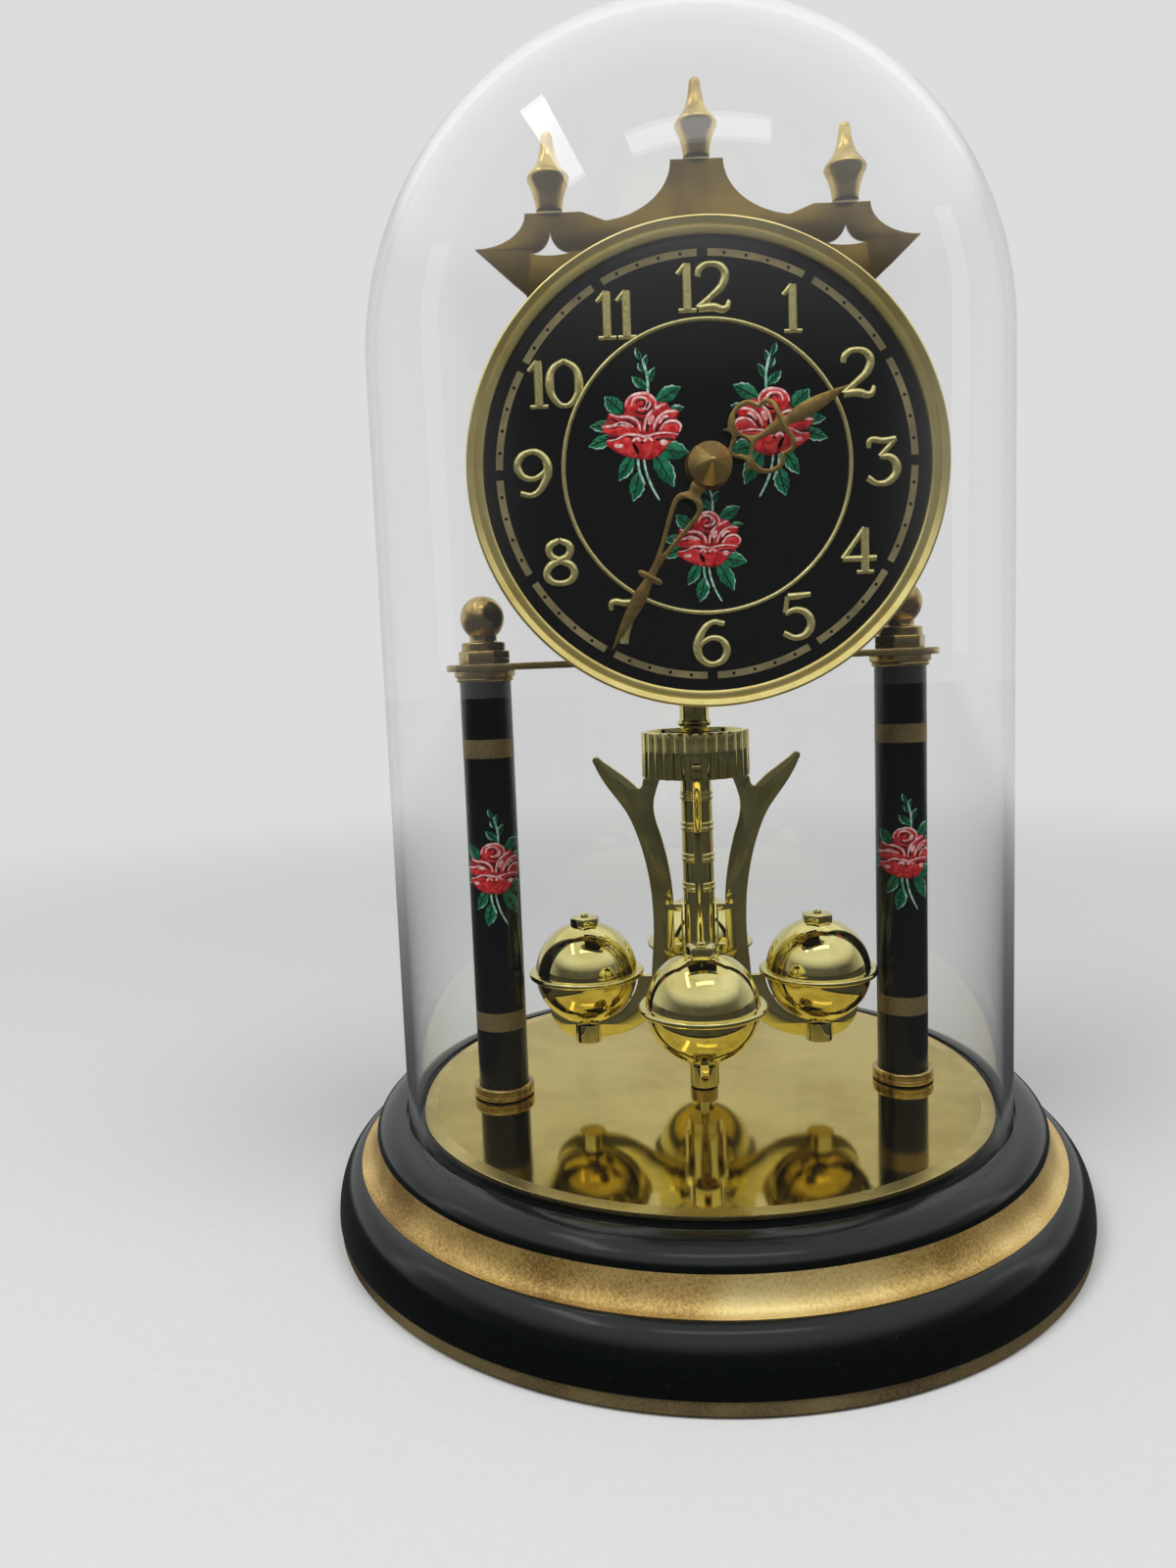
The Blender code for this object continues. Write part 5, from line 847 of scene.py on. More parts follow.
def dial_enamel():
    """Black gloss enamel with a printed track of minutes."""
    made, tree, shader, place = new_finish("dial_enamel")
    across, _, height = add(tree, "SeparateXYZ", [place]).outputs
    upward = add(tree, "Math", [height, DIAL_HEIGHT], operation="SUBTRACT")
    squares = [add(tree, "Math", [reach, reach], operation="MULTIPLY") for reach in (across, upward)]
    radius = add(tree, "Math", [add(tree, "Math", squares, operation="ADD")], operation="SQRT")
    angle = add(tree, "Math", [across, upward], operation="ARCTAN2")
    turn = add(tree, "Math", [angle, math.tau], operation="DIVIDE")
    beside = add(tree, "Math", [radius, TRACK_RADIUS], operation="SUBTRACT")
    off_track = add(tree, "Math", [beside], operation="ABSOLUTE")

    def distance_from(count):
        """How far round the track a place is from the nearest of so many even marks."""
        phase = add(tree, "Math", [turn, count], operation="MULTIPLY")
        nearest = add(tree, "Math", [phase], operation="ROUND")
        off = add(tree, "Math", [phase, nearest], operation="SUBTRACT")
        share = add(tree, "Math", [off], operation="ABSOLUTE")
        return add(tree, "Math", [share, math.tau * TRACK_RADIUS / count], operation="MULTIPLY")

    squares = [add(tree, "Math", [reach, 2.0], operation="POWER") for reach in (distance_from(60), off_track)]
    from_dot = add(tree, "Math", [add(tree, "Math", squares, operation="ADD")], operation="SQRT")
    dot = add(tree, "Math", [from_dot, MINUTE_DOT], operation="LESS_THAN")
    not_dot = add(tree, "Math", [1.0, dot], operation="SUBTRACT")
    band = add(tree, "Math", [off_track, TRACK_HALF_WIDTH], operation="LESS_THAN")
    not_hour = add(tree, "Math", [distance_from(12), HOUR_GAP], operation="GREATER_THAN")
    arcs = add(tree, "Math", [band, not_hour], operation="MULTIPLY")
    track = add(tree, "Math", [arcs, not_dot], operation="MULTIPLY")
    wear = add(tree, "TexNoise", {"Vector": place, "Scale": cells_per_metre(5.0), "Detail": 4.0})
    gold = add(tree, "ValToRGB", [wear], [(0.35, "#6E6546"), (0.7, "#8C805A")])
    dust = add(tree, "TexNoise", {"Vector": place, "Scale": cells_per_metre(0.5), "Detail": 5.0})
    black = add(tree, "ValToRGB", [dust], [(0.0, "#040505"), (0.74, "#060707"), (0.80, "#26261F")])
    colour = add(tree, "Mix", {"Factor": track, 6: black, 7: gold}, data_type="RGBA").outputs[2]
    rough = add(tree, "MapRange", {"Value": track, "To Min": 0.10, "To Max": 0.42})
    feed(tree, shader, {"Base Color": colour, "Roughness": rough})
    return made


# %% Dial plate
BUSH_BORE = 0.0032
DIAL_EDGE = 0.0001

outline = [(BUSH_BORE, -DIAL_THICKNESS), (DIAL_RADIUS, -DIAL_THICKNESS), (DIAL_RADIUS, 0), (BUSH_BORE, 0)]
disc = turned("enamelled_dial", outline, WIDE_STEPS, DIAL_EDGE)
settle(disc, DIAL_PLACE)
dress(disc, dial_enamel(), "clock", "dial_black", "dial_plate")

# %% Raised gilt of the dial
CHAPTER_RADIUS = radius_of("chapter_ring")
CHAPTER_WIDTH = 0.0008
RELIEF_HEIGHT = 0.0005


def relief_gilt():
    """Gold foil over raised enamel: bright, a little grainy, greener in the hollows."""
    made, tree, shader, place = new_finish("relief_gilt")
    grain = add(tree, "TexNoise", {"Vector": place, "Scale": cells_per_metre(0.6), "Detail": 4.0})
    tones = add(tree, "ValToRGB", [grain], [(0.3, "#CEC37C"), (0.6, "#EEE4A4")])
    bump = add(tree, "Bump", {"Height": grain, "Strength": 0.10, "Distance": 0.0001})
    feed(tree, shader, {"Base Color": tones, "Metallic": 0.78, "Roughness": 0.18, "Normal": bump})
    return made


RELIEF_GILT = relief_gilt()
outline = arc(CHAPTER_RADIUS - CHAPTER_WIDTH / 2, 0, CHAPTER_WIDTH / 2, 0, 180, 10, RELIEF_HEIGHT)
chapter = turned("raised_ring", outline, WIDE_STEPS, edge=0)
settle(chapter, DIAL_PLACE)
dress(chapter, RELIEF_GILT, "clock", "bezel_brass", "chapter_ring")

# %% [markdown]
# ## Numerals
# The numerals are old-style figures with short serifs, and their raised strokes have a round back. So each
# stroke is a curve with a round section, thick in stems and thin in serifs, and is then flattened towards the
# dial. The strokes are points in shares of a figure's height, and curves run smoothly through them.

# %% Numeral strokes, as points of (across, up, thickness) in shares of a figure's height
DIGIT_STROKES = {
    "0": [[(0.00, 0.47, 0.7), (0.24, 0.30, 1.0), (0.31, 0.00, 1.3), (0.24, -0.30, 1.0), (0.00, -0.47, 0.7),
           (-0.24, -0.30, 1.0), (-0.31, 0.00, 1.3), (-0.24, 0.30, 1.0), (0.00, 0.47, 0.7)]],
    "1": [[(0.02, 0.47, 1.2), (0.02, -0.46, 1.2)], [(-0.19, 0.27, 0.6), (0.00, 0.46, 0.9)],
          [(-0.17, -0.47, 0.6), (0.21, -0.47, 0.6)]],
    "2": [[(-0.30, 0.20, 0.8), (-0.26, 0.36, 1.0), (-0.02, 0.47, 0.8), (0.26, 0.33, 1.2), (0.24, 0.06, 1.2),
           (-0.02, -0.20, 0.9), (-0.32, -0.43, 0.8)],
          [(-0.30, -0.44, 1.1), (0.02, -0.42, 1.2), (0.28, -0.46, 1.0), (0.36, -0.30, 0.6)]],
    "3": [[(-0.28, 0.28, 0.6), (-0.24, 0.44, 0.9), (0.02, 0.43, 0.9), (0.30, 0.46, 0.9)],
          [(0.30, 0.46, 0.8), (0.12, 0.26, 0.8), (-0.04, 0.10, 0.7)],
          [(-0.04, 0.10, 0.7), (0.22, 0.06, 1.1), (0.33, -0.16, 1.3), (0.20, -0.40, 1.1), (-0.08, -0.47, 0.8),
           (-0.31, -0.34, 1.0)]],
    "4": [[(0.12, 0.47, 0.8), (-0.12, 0.14, 0.8), (-0.36, -0.18, 0.8)],
          [(-0.36, -0.18, 0.9), (0.37, -0.18, 0.9)],
          [(0.13, 0.47, 1.2), (0.13, -0.46, 1.2)], [(-0.06, -0.47, 0.6), (0.31, -0.47, 0.6)]],
    "5": [[(-0.20, 0.43, 1.0), (0.04, 0.44, 1.0), (0.30, 0.47, 0.7)],
          [(-0.20, 0.43, 0.7), (-0.26, 0.08, 0.7)],
          [(-0.26, 0.06, 0.7), (0.02, 0.14, 0.9), (0.28, -0.04, 1.2), (0.26, -0.32, 1.2), (0.00, -0.47, 0.9),
           (-0.30, -0.36, 0.9)]],
    "6": [[(0.28, 0.40, 0.8), (0.02, 0.44, 0.8), (-0.24, 0.18, 1.1), (-0.32, -0.14, 1.3),
           (-0.18, -0.41, 1.0), (0.06, -0.47, 0.8), (0.30, -0.30, 1.1), (0.30, -0.06, 1.1), (0.08, 0.10, 0.8),
           (-0.20, 0.00, 0.7), (-0.30, -0.14, 0.7)]],
    "7": [[(-0.30, 0.28, 0.6), (-0.28, 0.44, 0.9), (0.00, 0.43, 1.0), (0.33, 0.46, 0.9)],
          [(0.33, 0.46, 0.8), (0.10, 0.02, 1.0), (-0.02, -0.28, 1.3), (-0.04, -0.46, 1.3)]],
    "8": [[(0.00, 0.46, 0.8), (0.22, 0.32, 1.1), (0.18, 0.12, 1.1), (-0.02, 0.02, 1.0), (-0.26, -0.14, 1.1),
           (-0.28, -0.34, 1.1), (0.00, -0.47, 0.8), (0.28, -0.34, 1.1), (0.26, -0.12, 1.1), (0.00, 0.02, 0.9),
           (-0.20, 0.14, 1.0), (-0.22, 0.32, 1.1), (0.00, 0.46, 0.8)]],
}
DIGIT_STROKES["9"] = [[(-x, -y, w) for x, y, w in stroke] for stroke in DIGIT_STROKES["6"]]
PAIR_SHARES = {"10": (-0.33, 0.24), "11": (-0.20, 0.22), "12": (-0.36, 0.19)}
STROKE_RADIUS_SHARE = 0.077
NUMERAL_HEIGHT = 0.0081
NUMERAL_RADIUS = 0.0304

# %% Twelve numerals
stroke_radius = NUMERAL_HEIGHT * STROKE_RADIUS_SHARE
flatten = Matrix.Diagonal((1, 1, RELIEF_HEIGHT / stroke_radius, 1))


def numeral(text, x, y):
    """One raised numeral on the dial's face, of one figure or of two side by side."""
    curve = bpy.data.curves.new(f"numeral_{text}", "CURVE")
    curve.dimensions = "3D"
    curve.bevel_depth = stroke_radius
    curve.bevel_resolution = 3
    curve.resolution_u = 6
    curve.use_fill_caps = True
    offsets = PAIR_SHARES.get(text, (0.0,))
    strokes = [(offset, stroke) for digit, offset in zip(text, offsets) for stroke in DIGIT_STROKES[digit]]
    for offset, stroke in strokes:
        spline = curve.splines.new("BEZIER")
        spline.bezier_points.add(len(stroke) - 1)
        for point, (across, up, weight) in zip(spline.bezier_points, stroke):
            point.co = ((across + offset) * NUMERAL_HEIGHT, up * NUMERAL_HEIGHT, 0)
            point.radius = weight
            point.handle_left_type = "AUTO"
            point.handle_right_type = "AUTO"
    made = meshed(f"numeral_{text}", curve)
    settle(made, DIAL_PLACE @ Matrix.Translation((x, y, 0)) @ flatten)
    tidy(made)
    smooth(made)
    return made


for hour in range(1, 13):
    turn = math.tau * hour / 12
    made = numeral(str(hour), NUMERAL_RADIUS * math.sin(turn), NUMERAL_RADIUS * math.cos(turn))
    dress(made, RELIEF_GILT, "clock", "dial_black")

# %% [markdown]
# ## Bezel
# The bezel is a spun ring with two bands and a fine groove between them. The inner band slopes in towards the
# dial. The outer one is slightly dished: it rises towards its rim, so at the foot of the ring it mirrors the
# pale room behind the clock, and at the top the dark in front of it.

# %% Bezel
BEZEL_LIP = 0.0389
LIP_HEIGHT = 0.0011
INNER_BAND = 0.0013
INNER_DROP = 0.0017
RIDGE_DROP = 0.0006
GROOVE_DROP = 0.0008
GROOVE_HALF_WIDTH = 0.00012
DISH_DROP = 0.0005
RIM_ROUND = 0.0004
BEZEL_WALL = 0.0007
BEZEL_EDGE = 0.00004

back = DIAL_FACE_Y - high("bezel").y
proud = DIAL_FACE_Y - low("bezel").y
ridge = BEZEL_LIP + INNER_BAND
outer_wall = BEZEL_RADIUS - BEZEL_WALL
dial_rim = DIAL_RADIUS + SEAT_GAP
outline = [(BEZEL_LIP, SEAT_GAP), (BEZEL_LIP, LIP_HEIGHT)]
outline += arc(ridge, LIP_HEIGHT, ridge - BEZEL_LIP, 165, 110, 6, proud - INNER_DROP)
outline += [(ridge, proud - RIDGE_DROP), (ridge + GROOVE_HALF_WIDTH, proud - GROOVE_DROP),
            (ridge + GROOVE_HALF_WIDTH * 2, proud - DISH_DROP), (BEZEL_RADIUS - RIM_ROUND, proud)]
outline += arc(BEZEL_RADIUS - RIM_ROUND, proud - RIM_ROUND, RIM_ROUND, 90, 0, 4)[1:]
outline += [(BEZEL_RADIUS, back), (outer_wall, back), (outer_wall, -DIAL_THICKNESS),
            (dial_rim, -DIAL_THICKNESS), (dial_rim, SEAT_GAP)]
bezel = turned("spun_bezel", outline, WIDE_STEPS, BEZEL_EDGE)
settle(bezel, DIAL_PLACE)
dress(bezel, BEZEL_BRASS, "clock", "bezel_brass", "bezel")

# %% [markdown]
# ## Roses
# Each column and the middle of the dial carry transfer prints of red roses with green leaves, a traditional
# pattern on clocks of this kind. A spray is drawn once from flat shapes and brush strokes, each colour a
# little above the one before, as printed layers are. It is copied three times onto the dial, and a smaller
# copy is cut into narrow strips and bent round each column's tube.

# %% Printing inks
INK_LAYER = 0.000012


def printed_ink(name, first, second, size_mm):
    """Glossy printing ink whose tone drifts a little, as in a hand-cut print."""
    made, tree, shader, place = new_finish(name)
    drift = add(tree, "TexNoise", {"Vector": place, "Scale": cells_per_metre(size_mm), "Detail": 3.0})
    tones = add(tree, "ValToRGB", [drift], [(0.42, first), (0.58, second)])
    feed(tree, shader, {"Base Color": tones, "Roughness": 0.22})
    return made


INKS = {"leaf": printed_ink("leaf_green_ink", "#06593B", "#0D7A52", 1.6),
        "leaf_line": printed_ink("leaf_shadow_ink", "#032418", "#05301F", 1.0),
        "leaf_light": printed_ink("leaf_light_ink", "#5FA58A", "#B9D9CB", 0.8),
        "deep": printed_ink("deep_rose_ink", "#7C0A12", "#A30F18", 1.4),
        "red": printed_ink("rose_red_ink", "#B81420", "#DC3A38", 1.2),
        "shade": printed_ink("rose_shadow_ink", "#2C0306", "#4A070C", 1.0),
        "pink": printed_ink("rose_pink_ink", "#E08A8C", "#F4D3CF", 0.9)}
INK_ORDER = list(INKS)
print(len(INKS), "inks, from the lowest layer up:", ", ".join(INK_ORDER))

# %% Flat shapes and brush strokes
# Their places are in millimetres from the middle of the bloom.
THINNEST_SHARE = 0.15


def flat_shape(points, ink):
    """One flat printed shape, whose height tells its place in the order of printing."""
    height = INK_LAYER * (INK_ORDER.index(ink) + 2)
    made = stamped("shape", [[(x / 1000, y / 1000) for x, y in points]], height, INK_LAYER / 4, rounding=True)
    settle(made, Matrix.Translation((0, 0, height / 2)))
    made.data.materials.append(INKS[ink])
    return made


def brush_stroke(points, width, ink):
    """A stroke that is widest in its middle and runs out to points."""
    left = []
    right = []
    for k, (x, y) in enumerate(points):
        before = Vector(points[max(k - 1, 0)])
        after = Vector(points[min(k + 1, len(points) - 1)])
        run = (after - before).normalized()
        share = math.sin(math.pi * (k + 0.35) / (len(points) - 0.3))
        half = width / 2 * max(share, THINNEST_SHARE)
        left.append((x - run.y * half, y + run.x * half))
        right.append((x + run.y * half, y - run.x * half))
    return flat_shape(left + right[::-1], ink)


# %% Leaves
# The leaf's rim is in shares of its length, and its half width stands to that as fullness says.
LEAF_SHARES = [(0.0, 0.02), (0.18, 0.17), (0.34, 0.24), (0.42, 0.22), (0.55, 0.25), (0.64, 0.20),
               (0.76, 0.18), (0.84, 0.10)]
RIB_SHARES = (0.0, 0.3, 0.6, 0.92)
VEIN_SHARES = (0.35, 0.6)
VEIN_RUN_SHARE = 0.20
VEIN_SIDE_SHARE = 0.18
RIM_OFFSET_SHARE = 0.01
RIB_WIDTH_MM = 0.30
RIM_WIDTH_MM = 0.26
VEIN_WIDTH_MM = 0.18


def leaf(base, tip, fullness):
    """A pointed leaf with a notched edge, a dark midrib, two veins and a light edge."""
    start = Vector(base)
    run = Vector(tip) - start
    side = Vector((-run.y, run.x)) * fullness
    upper = [tuple(start + run * along + side * half) for along, half in LEAF_SHARES]
    lower = [tuple(start + run * along - side * half) for along, half in LEAF_SHARES]
    rib = [tuple(start + run * share) for share in RIB_SHARES]
    rim = [tuple(start + run * along + side * (half + RIM_OFFSET_SHARE)) for along, half in LEAF_SHARES[2:]]
    made = [flat_shape(upper + [tuple(tip)] + lower[::-1], "leaf"),
            brush_stroke(rib, RIB_WIDTH_MM, "leaf_line"),
            brush_stroke(rim + [tuple(tip)], RIM_WIDTH_MM, "leaf_light")]
    for share in VEIN_SHARES:
        vein = [tuple(start + run * (share + VEIN_RUN_SHARE * k / 2) - side * VEIN_SIDE_SHARE * k / 2)
                for k in range(3)]
        made.append(brush_stroke(vein, VEIN_WIDTH_MM, "leaf_line"))
    return made


LEAVES = [((-3.2, 2.6), (-6.2, 5.4), 1.3), ((-4.6, 0.6), (-9.0, 0.4), 0.9), ((-4.8, -1.4), (-9.3, -3.0), 0.9),
          ((2.6, 4.2), (7.0, 6.6), 1.0), ((4.4, 2.4), (7.5, 3.1), 0.9), ((2.6, -3.8), (8.2, -4.6), 1.1),
          ((2.2, -4.6), (5.4, -10.4), 0.9), ((-1.6, -4.6), (-4.2, -9.0), 0.9),
          ((-0.6, -7.6), (-1.8, -12.6), 1.0), ((1.2, 6.4), (-1.4, 8.6), 0.9),
          ((1.3, 7.4), (2.6, 10.0), 0.8), ((0.9, 9.2), (-0.3, 10.8), 1.0),
          ((0.8, 10.2), (1.3, 12.2), 0.8), ((0.3, 11.2), (-0.6, 13.4), 0.8)]
shapes = [piece for base, tip, fullness in LEAVES for piece in leaf(base, tip, fullness)]
print(len(LEAVES), "leaves of", len(shapes), "shapes")

# %% Stalks and petals
# Each list holds paths in millimetres, with the ink and the width of a stroke, or no width for a flat shape.
STALKS = [[(0.2, -5.0), (0.6, -7.6), (1.6, -10.4), (2.8, -12.6)], [(-0.8, -5.0), (-0.6, -7.4), (0.3, -9.8)],
          [(1.2, 5.0), (1.3, 8.0), (0.5, 11.6)]]
BLOOM = [[(-6.9, 0.1), (-6.1, 1.2), (-5.6, 2.4), (-3.9, 2.2), (-2.9, 2.6), (-2.9, 4.2), (-1.8, 5.4),
          (0.0, 5.9), (1.8, 5.6), (2.8, 4.3), (4.4, 4.0), (5.2, 3.0), (6.6, 2.4), (6.2, 1.0), (6.9, -0.2),
          (6.4, -1.6), (5.0, -2.7), (3.6, -4.4), (1.6, -5.5), (-0.6, -5.4), (-3.0, -4.8), (-5.2, -3.6),
          (-6.3, -2.4), (-5.6, -1.4)]]
PETALS = [[(-2.5, 3.2), (-1.9, 4.9), (0.0, 5.5), (1.9, 5.0), (2.4, 3.4), (1.4, 2.0), (-0.8, 1.8)],
          [(-5.4, 2.1), (-3.4, 1.2), (-1.4, 1.3), (-0.5, 0.2), (-0.4, -1.0), (-1.8, 0.1), (-3.6, 0.4),
           (-4.9, 1.0)],
          [(-6.7, -0.1), (-4.8, -0.2), (-3.0, 0.3), (-1.2, -0.7), (-2.6, -1.6), (-4.6, -1.2)],
          [(0.2, -1.0), (0.5, 1.0), (1.5, 2.4), (4.2, 3.7), (2.6, 1.8), (1.6, -0.8)],
          [(1.9, -0.8), (2.8, 1.2), (5.0, 2.6), (6.2, 2.1), (4.6, 1.0), (3.0, -0.9)],
          [(3.3, -0.9), (4.9, 0.4), (6.6, -0.2), (6.1, -1.3), (4.8, -1.5)],
          [(-6.1, -2.4), (-4.2, -2.2), (-2.6, -1.6), (-1.6, -2.2), (-0.8, -4.9), (-3.0, -4.5), (-5.0, -3.5)],
          [(-1.5, -2.1), (-0.6, -1.6), (0.2, -2.1), (1.0, -1.6), (2.0, -2.1), (1.8, -4.0), (0.6, -5.2),
           (-0.8, -4.6)],
          [(2.2, -1.8), (4.0, -1.6), (5.9, -1.8), (4.6, -3.0), (3.4, -4.2), (1.9, -5.0), (2.2, -3.4)]]
SHADES = [[(-5.2, 1.7), (-3.6, 0.9), (-1.7, 0.9), (-0.8, -0.1)],
          [(-6.4, -1.3), (-4.6, -1.7), (-3.0, -1.3), (-1.4, -1.9)],
          [(-1.0, 2.9), (0.2, 2.3), (1.5, 2.8), (1.9, 3.8)], [(1.0, -0.9), (1.2, 0.8), (2.2, 2.0)],
          [(2.4, -1.0), (3.4, 0.6), (4.8, 1.4)],
          [(-1.6, -2.3), (-0.9, -2.0), (0.1, -2.6), (1.0, -2.0), (2.0, -2.6)],
          [(-0.3, 3.5), (0.5, 3.7), (0.5, 4.5), (-0.3, 4.6), (-0.9, 4.0)],
          [(-2.6, 1.2), (-1.2, 1.6), (0.2, 1.2), (0.4, 0.0)], [(2.3, -2.2), (4.2, -2.1), (5.6, -2.3)]]
LIGHTS = [[(-5.6, 2.5), (-4.0, 1.9), (-2.2, 1.8), (-0.6, 0.9), (-0.2, -0.6)],
          [(-6.9, 0.3), (-5.0, 0.4), (-3.2, 0.8), (-1.4, 0.1)],
          [(-6.1, -2.1), (-4.4, -1.9), (-2.8, -1.2), (-0.8, -1.3), (0.6, -1.6), (2.4, -1.2), (4.6, -1.1),
           (6.4, -1.5)],
          [(0.5, -0.6), (0.8, 1.2), (1.8, 2.6), (4.3, 3.8)],
          [(2.0, -0.5), (2.9, 1.4), (4.6, 2.5), (6.4, 2.4)],
          [(3.2, -0.6), (4.6, 0.8), (6.8, 0.2), (6.6, -1.0)],
          [(-2.7, 3.4), (-2.2, 4.8), (-0.4, 5.7), (1.6, 5.4), (2.6, 4.0), (2.0, 2.6)],
          [(-1.6, 3.6), (-1.2, 4.8), (0.4, 5.0), (1.2, 4.2), (0.6, 3.1), (-0.6, 3.0)],
          [(3.1, 0.6), (3.9, 1.5), (4.7, 1.7)], [(-4.2, 0.6), (-3.2, 0.5), (-2.2, 0.1)],
          [(-0.2, -2.4), (-1.0, -1.9), (-1.6, -2.4)], [(0.3, -2.4), (1.1, -1.9), (1.9, -2.4)]]
GLINTS = [[(-4.8, -2.9), (-4.0, -2.7), (-3.3, -3.0), (-4.0, -3.4)],
          [(3.2, -2.5), (4.1, -2.3), (4.5, -2.7), (3.6, -3.2)],
          [(0.9, 3.0), (1.7, 3.4), (1.5, 4.3), (1.0, 3.8)], [(1.3, 0.4), (2.2, 1.8), (1.9, 2.0), (1.1, 0.9)]]
for paths, ink, width in ((STALKS, "leaf_light", 0.42), (BLOOM, "deep", 0), (PETALS, "red", 0),
                          (SHADES, "shade", 0.42), (LIGHTS, "pink", 0.46), (GLINTS, "pink", 0)):
    shapes += [brush_stroke(path, width, ink) if width else flat_shape(path, ink) for path in paths]
spray = shapes[0]
joined(spray, shapes[1:])
spray.name = "rose_spray"
print("one spray has", len(spray.data.polygons), "faces")

# %% Three roses on the dial
# Each has its place across and up from the dial's middle and its size; a size below nought mirrors it.
DIAL_ROSES = {"left": (-0.0113, 0.0073, 1.0), "right": (0.0118, 0.0073, -1.0),
              "lower": (-0.0004, -0.0125, 0.85)}

for name, (x, y, share) in DIAL_ROSES.items():
    place = DIAL_PLACE @ Matrix.Translation((x, y, 0)) @ Matrix.Diagonal((share, abs(share), 1, 1))
    made = copied(spray, f"{name}_dial_rose", place)
    tidy(made)
    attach(made, "clock")
    print(made.name)

# %% One rose bent round each column
COLUMN_ROSE_SHARE = 0.95
COLUMN_ROSE_HEIGHT = 0.0741
STRIP = 0.0004

upright = Matrix.Diagonal((COLUMN_ROSE_SHARE, COLUMN_ROSE_SHARE, 1, 1))
small = copied(spray, "small_spray", LIE_FLAT_TO_FRONT @ upright)
pick(small)
bpy.ops.object.mode_set(mode="EDIT")
reach = small.dimensions.x
cuts = int(reach / STRIP / 2)
for k in range(-cuts, cuts + 1):
    bpy.ops.mesh.select_all(action="SELECT")
    bpy.ops.mesh.bisect(plane_co=(k * STRIP, 0, 0), plane_no=(1, 0, 0))
bpy.ops.object.mode_set(mode="OBJECT")
change(small, "SIMPLE_DEFORM", deform_method="BEND", deform_axis="Z", angle=reach / COLUMN_RADIUS)
for side, x, turn in (("left", -COLUMN_X, 4), ("right", COLUMN_X, -8)):
    turned_to = Matrix.Rotation(math.radians(turn), 4, "Z")
    place = Matrix.Translation((x, COLUMN_Y, COLUMN_ROSE_HEIGHT)) @ turned_to
    made = copied(small, f"{side}_column_rose", place @ Matrix.Translation((0, -COLUMN_RADIUS, 0)))
    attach(made, "clock")
    print(made.name)
for model in (spray, small):
    bpy.data.objects.remove(model)

# %% [markdown]
# ## Hands and their nut
# Both hands are pierced sheet in matt gold: the hour hand opens into a lyre, the minute hand into a long loop
# with a small crossbar. They keep the angles of the photograph. A turned cone screws onto the centre arbor.

# %% Shapes of the hands
# Each place is (along, aside) in shares of the hand's length.
HAND_THICKNESS = 0.0004
HAND_EDGE = 0.00006
HOUR_HAND_LENGTH = 0.0278
HOUR_HUB_RADIUS = 0.0034
HOUR_BORE = 0.0020
HOUR_HAND_BACK = 0.0018
MINUTE_HAND_LENGTH = 0.0360
MINUTE_HUB_RADIUS = 0.0030
MINUTE_BORE = 0.0011
MINUTE_HAND_BACK = 0.0030
HOUR_HAND_ANGLE = math.radians(62.5)
MINUTE_HAND_ANGLE = math.radians(209.8)
HOUR_EDGE = [(0.133, 0.027), (0.192, 0.064), (0.213, 0.093), (0.178, 0.148), (0.212, 0.142), (0.240, 0.185),
             (0.283, 0.217), (0.343, 0.237), (0.400, 0.230), (0.432, 0.198), (0.441, 0.172), (0.455, 0.180),
             (0.490, 0.184), (0.525, 0.166), (0.545, 0.128), (0.544, 0.078), (0.541, 0.040), (0.560, 0.030),
             (0.600, 0.040), (0.670, 0.049), (0.750, 0.047), (0.850, 0.032), (0.940, 0.013)]
HOUR_CORNERS = [(0.178, 0.148), (0.212, 0.142), (0.441, 0.172), (0.541, 0.040)]
HOUR_LOOP = [(0.297, 0.192), (0.350, 0.208), (0.392, 0.200), (0.414, 0.176), (0.430, 0.152), (0.470, 0.156),
             (0.508, 0.138), (0.519, 0.095), (0.506, 0.050), (0.450, 0.032), (0.380, 0.018), (0.322, 0.027),
             (0.282, 0.060), (0.260, 0.104), (0.270, 0.152)]
HOUR_FORK = [(0.171, 0.012), (0.213, 0.040), (0.242, 0.066), (0.272, 0.038), (0.290, 0.006)]
MINUTE_EDGE = [(0.098, 0.030), (0.125, 0.036), (0.152, 0.031), (0.168, 0.044), (0.186, 0.064), (0.215, 0.074),
               (0.255, 0.072), (0.310, 0.062), (0.370, 0.048), (0.460, 0.029), (0.545, 0.019), (0.588, 0.019),
               (0.592, 0.056), (0.604, 0.066), (0.616, 0.056), (0.620, 0.021), (0.650, 0.026), (0.700, 0.034),
               (0.800, 0.030), (0.900, 0.018), (0.960, 0.008)]
MINUTE_CORNERS = [(0.588, 0.019), (0.620, 0.021)]
MINUTE_LOOP = [(0.188, 0.006), (0.196, 0.030), (0.216, 0.048), (0.255, 0.048), (0.310, 0.038), (0.370, 0.025),
               (0.430, 0.012), (0.476, 0.001)]

# %% Hands


def across(shares, length, side=1):
    """Places on a hand that points up, from (along, aside) in shares of its length."""
    return [(side * aside * length, along * length) for along, aside in shares]


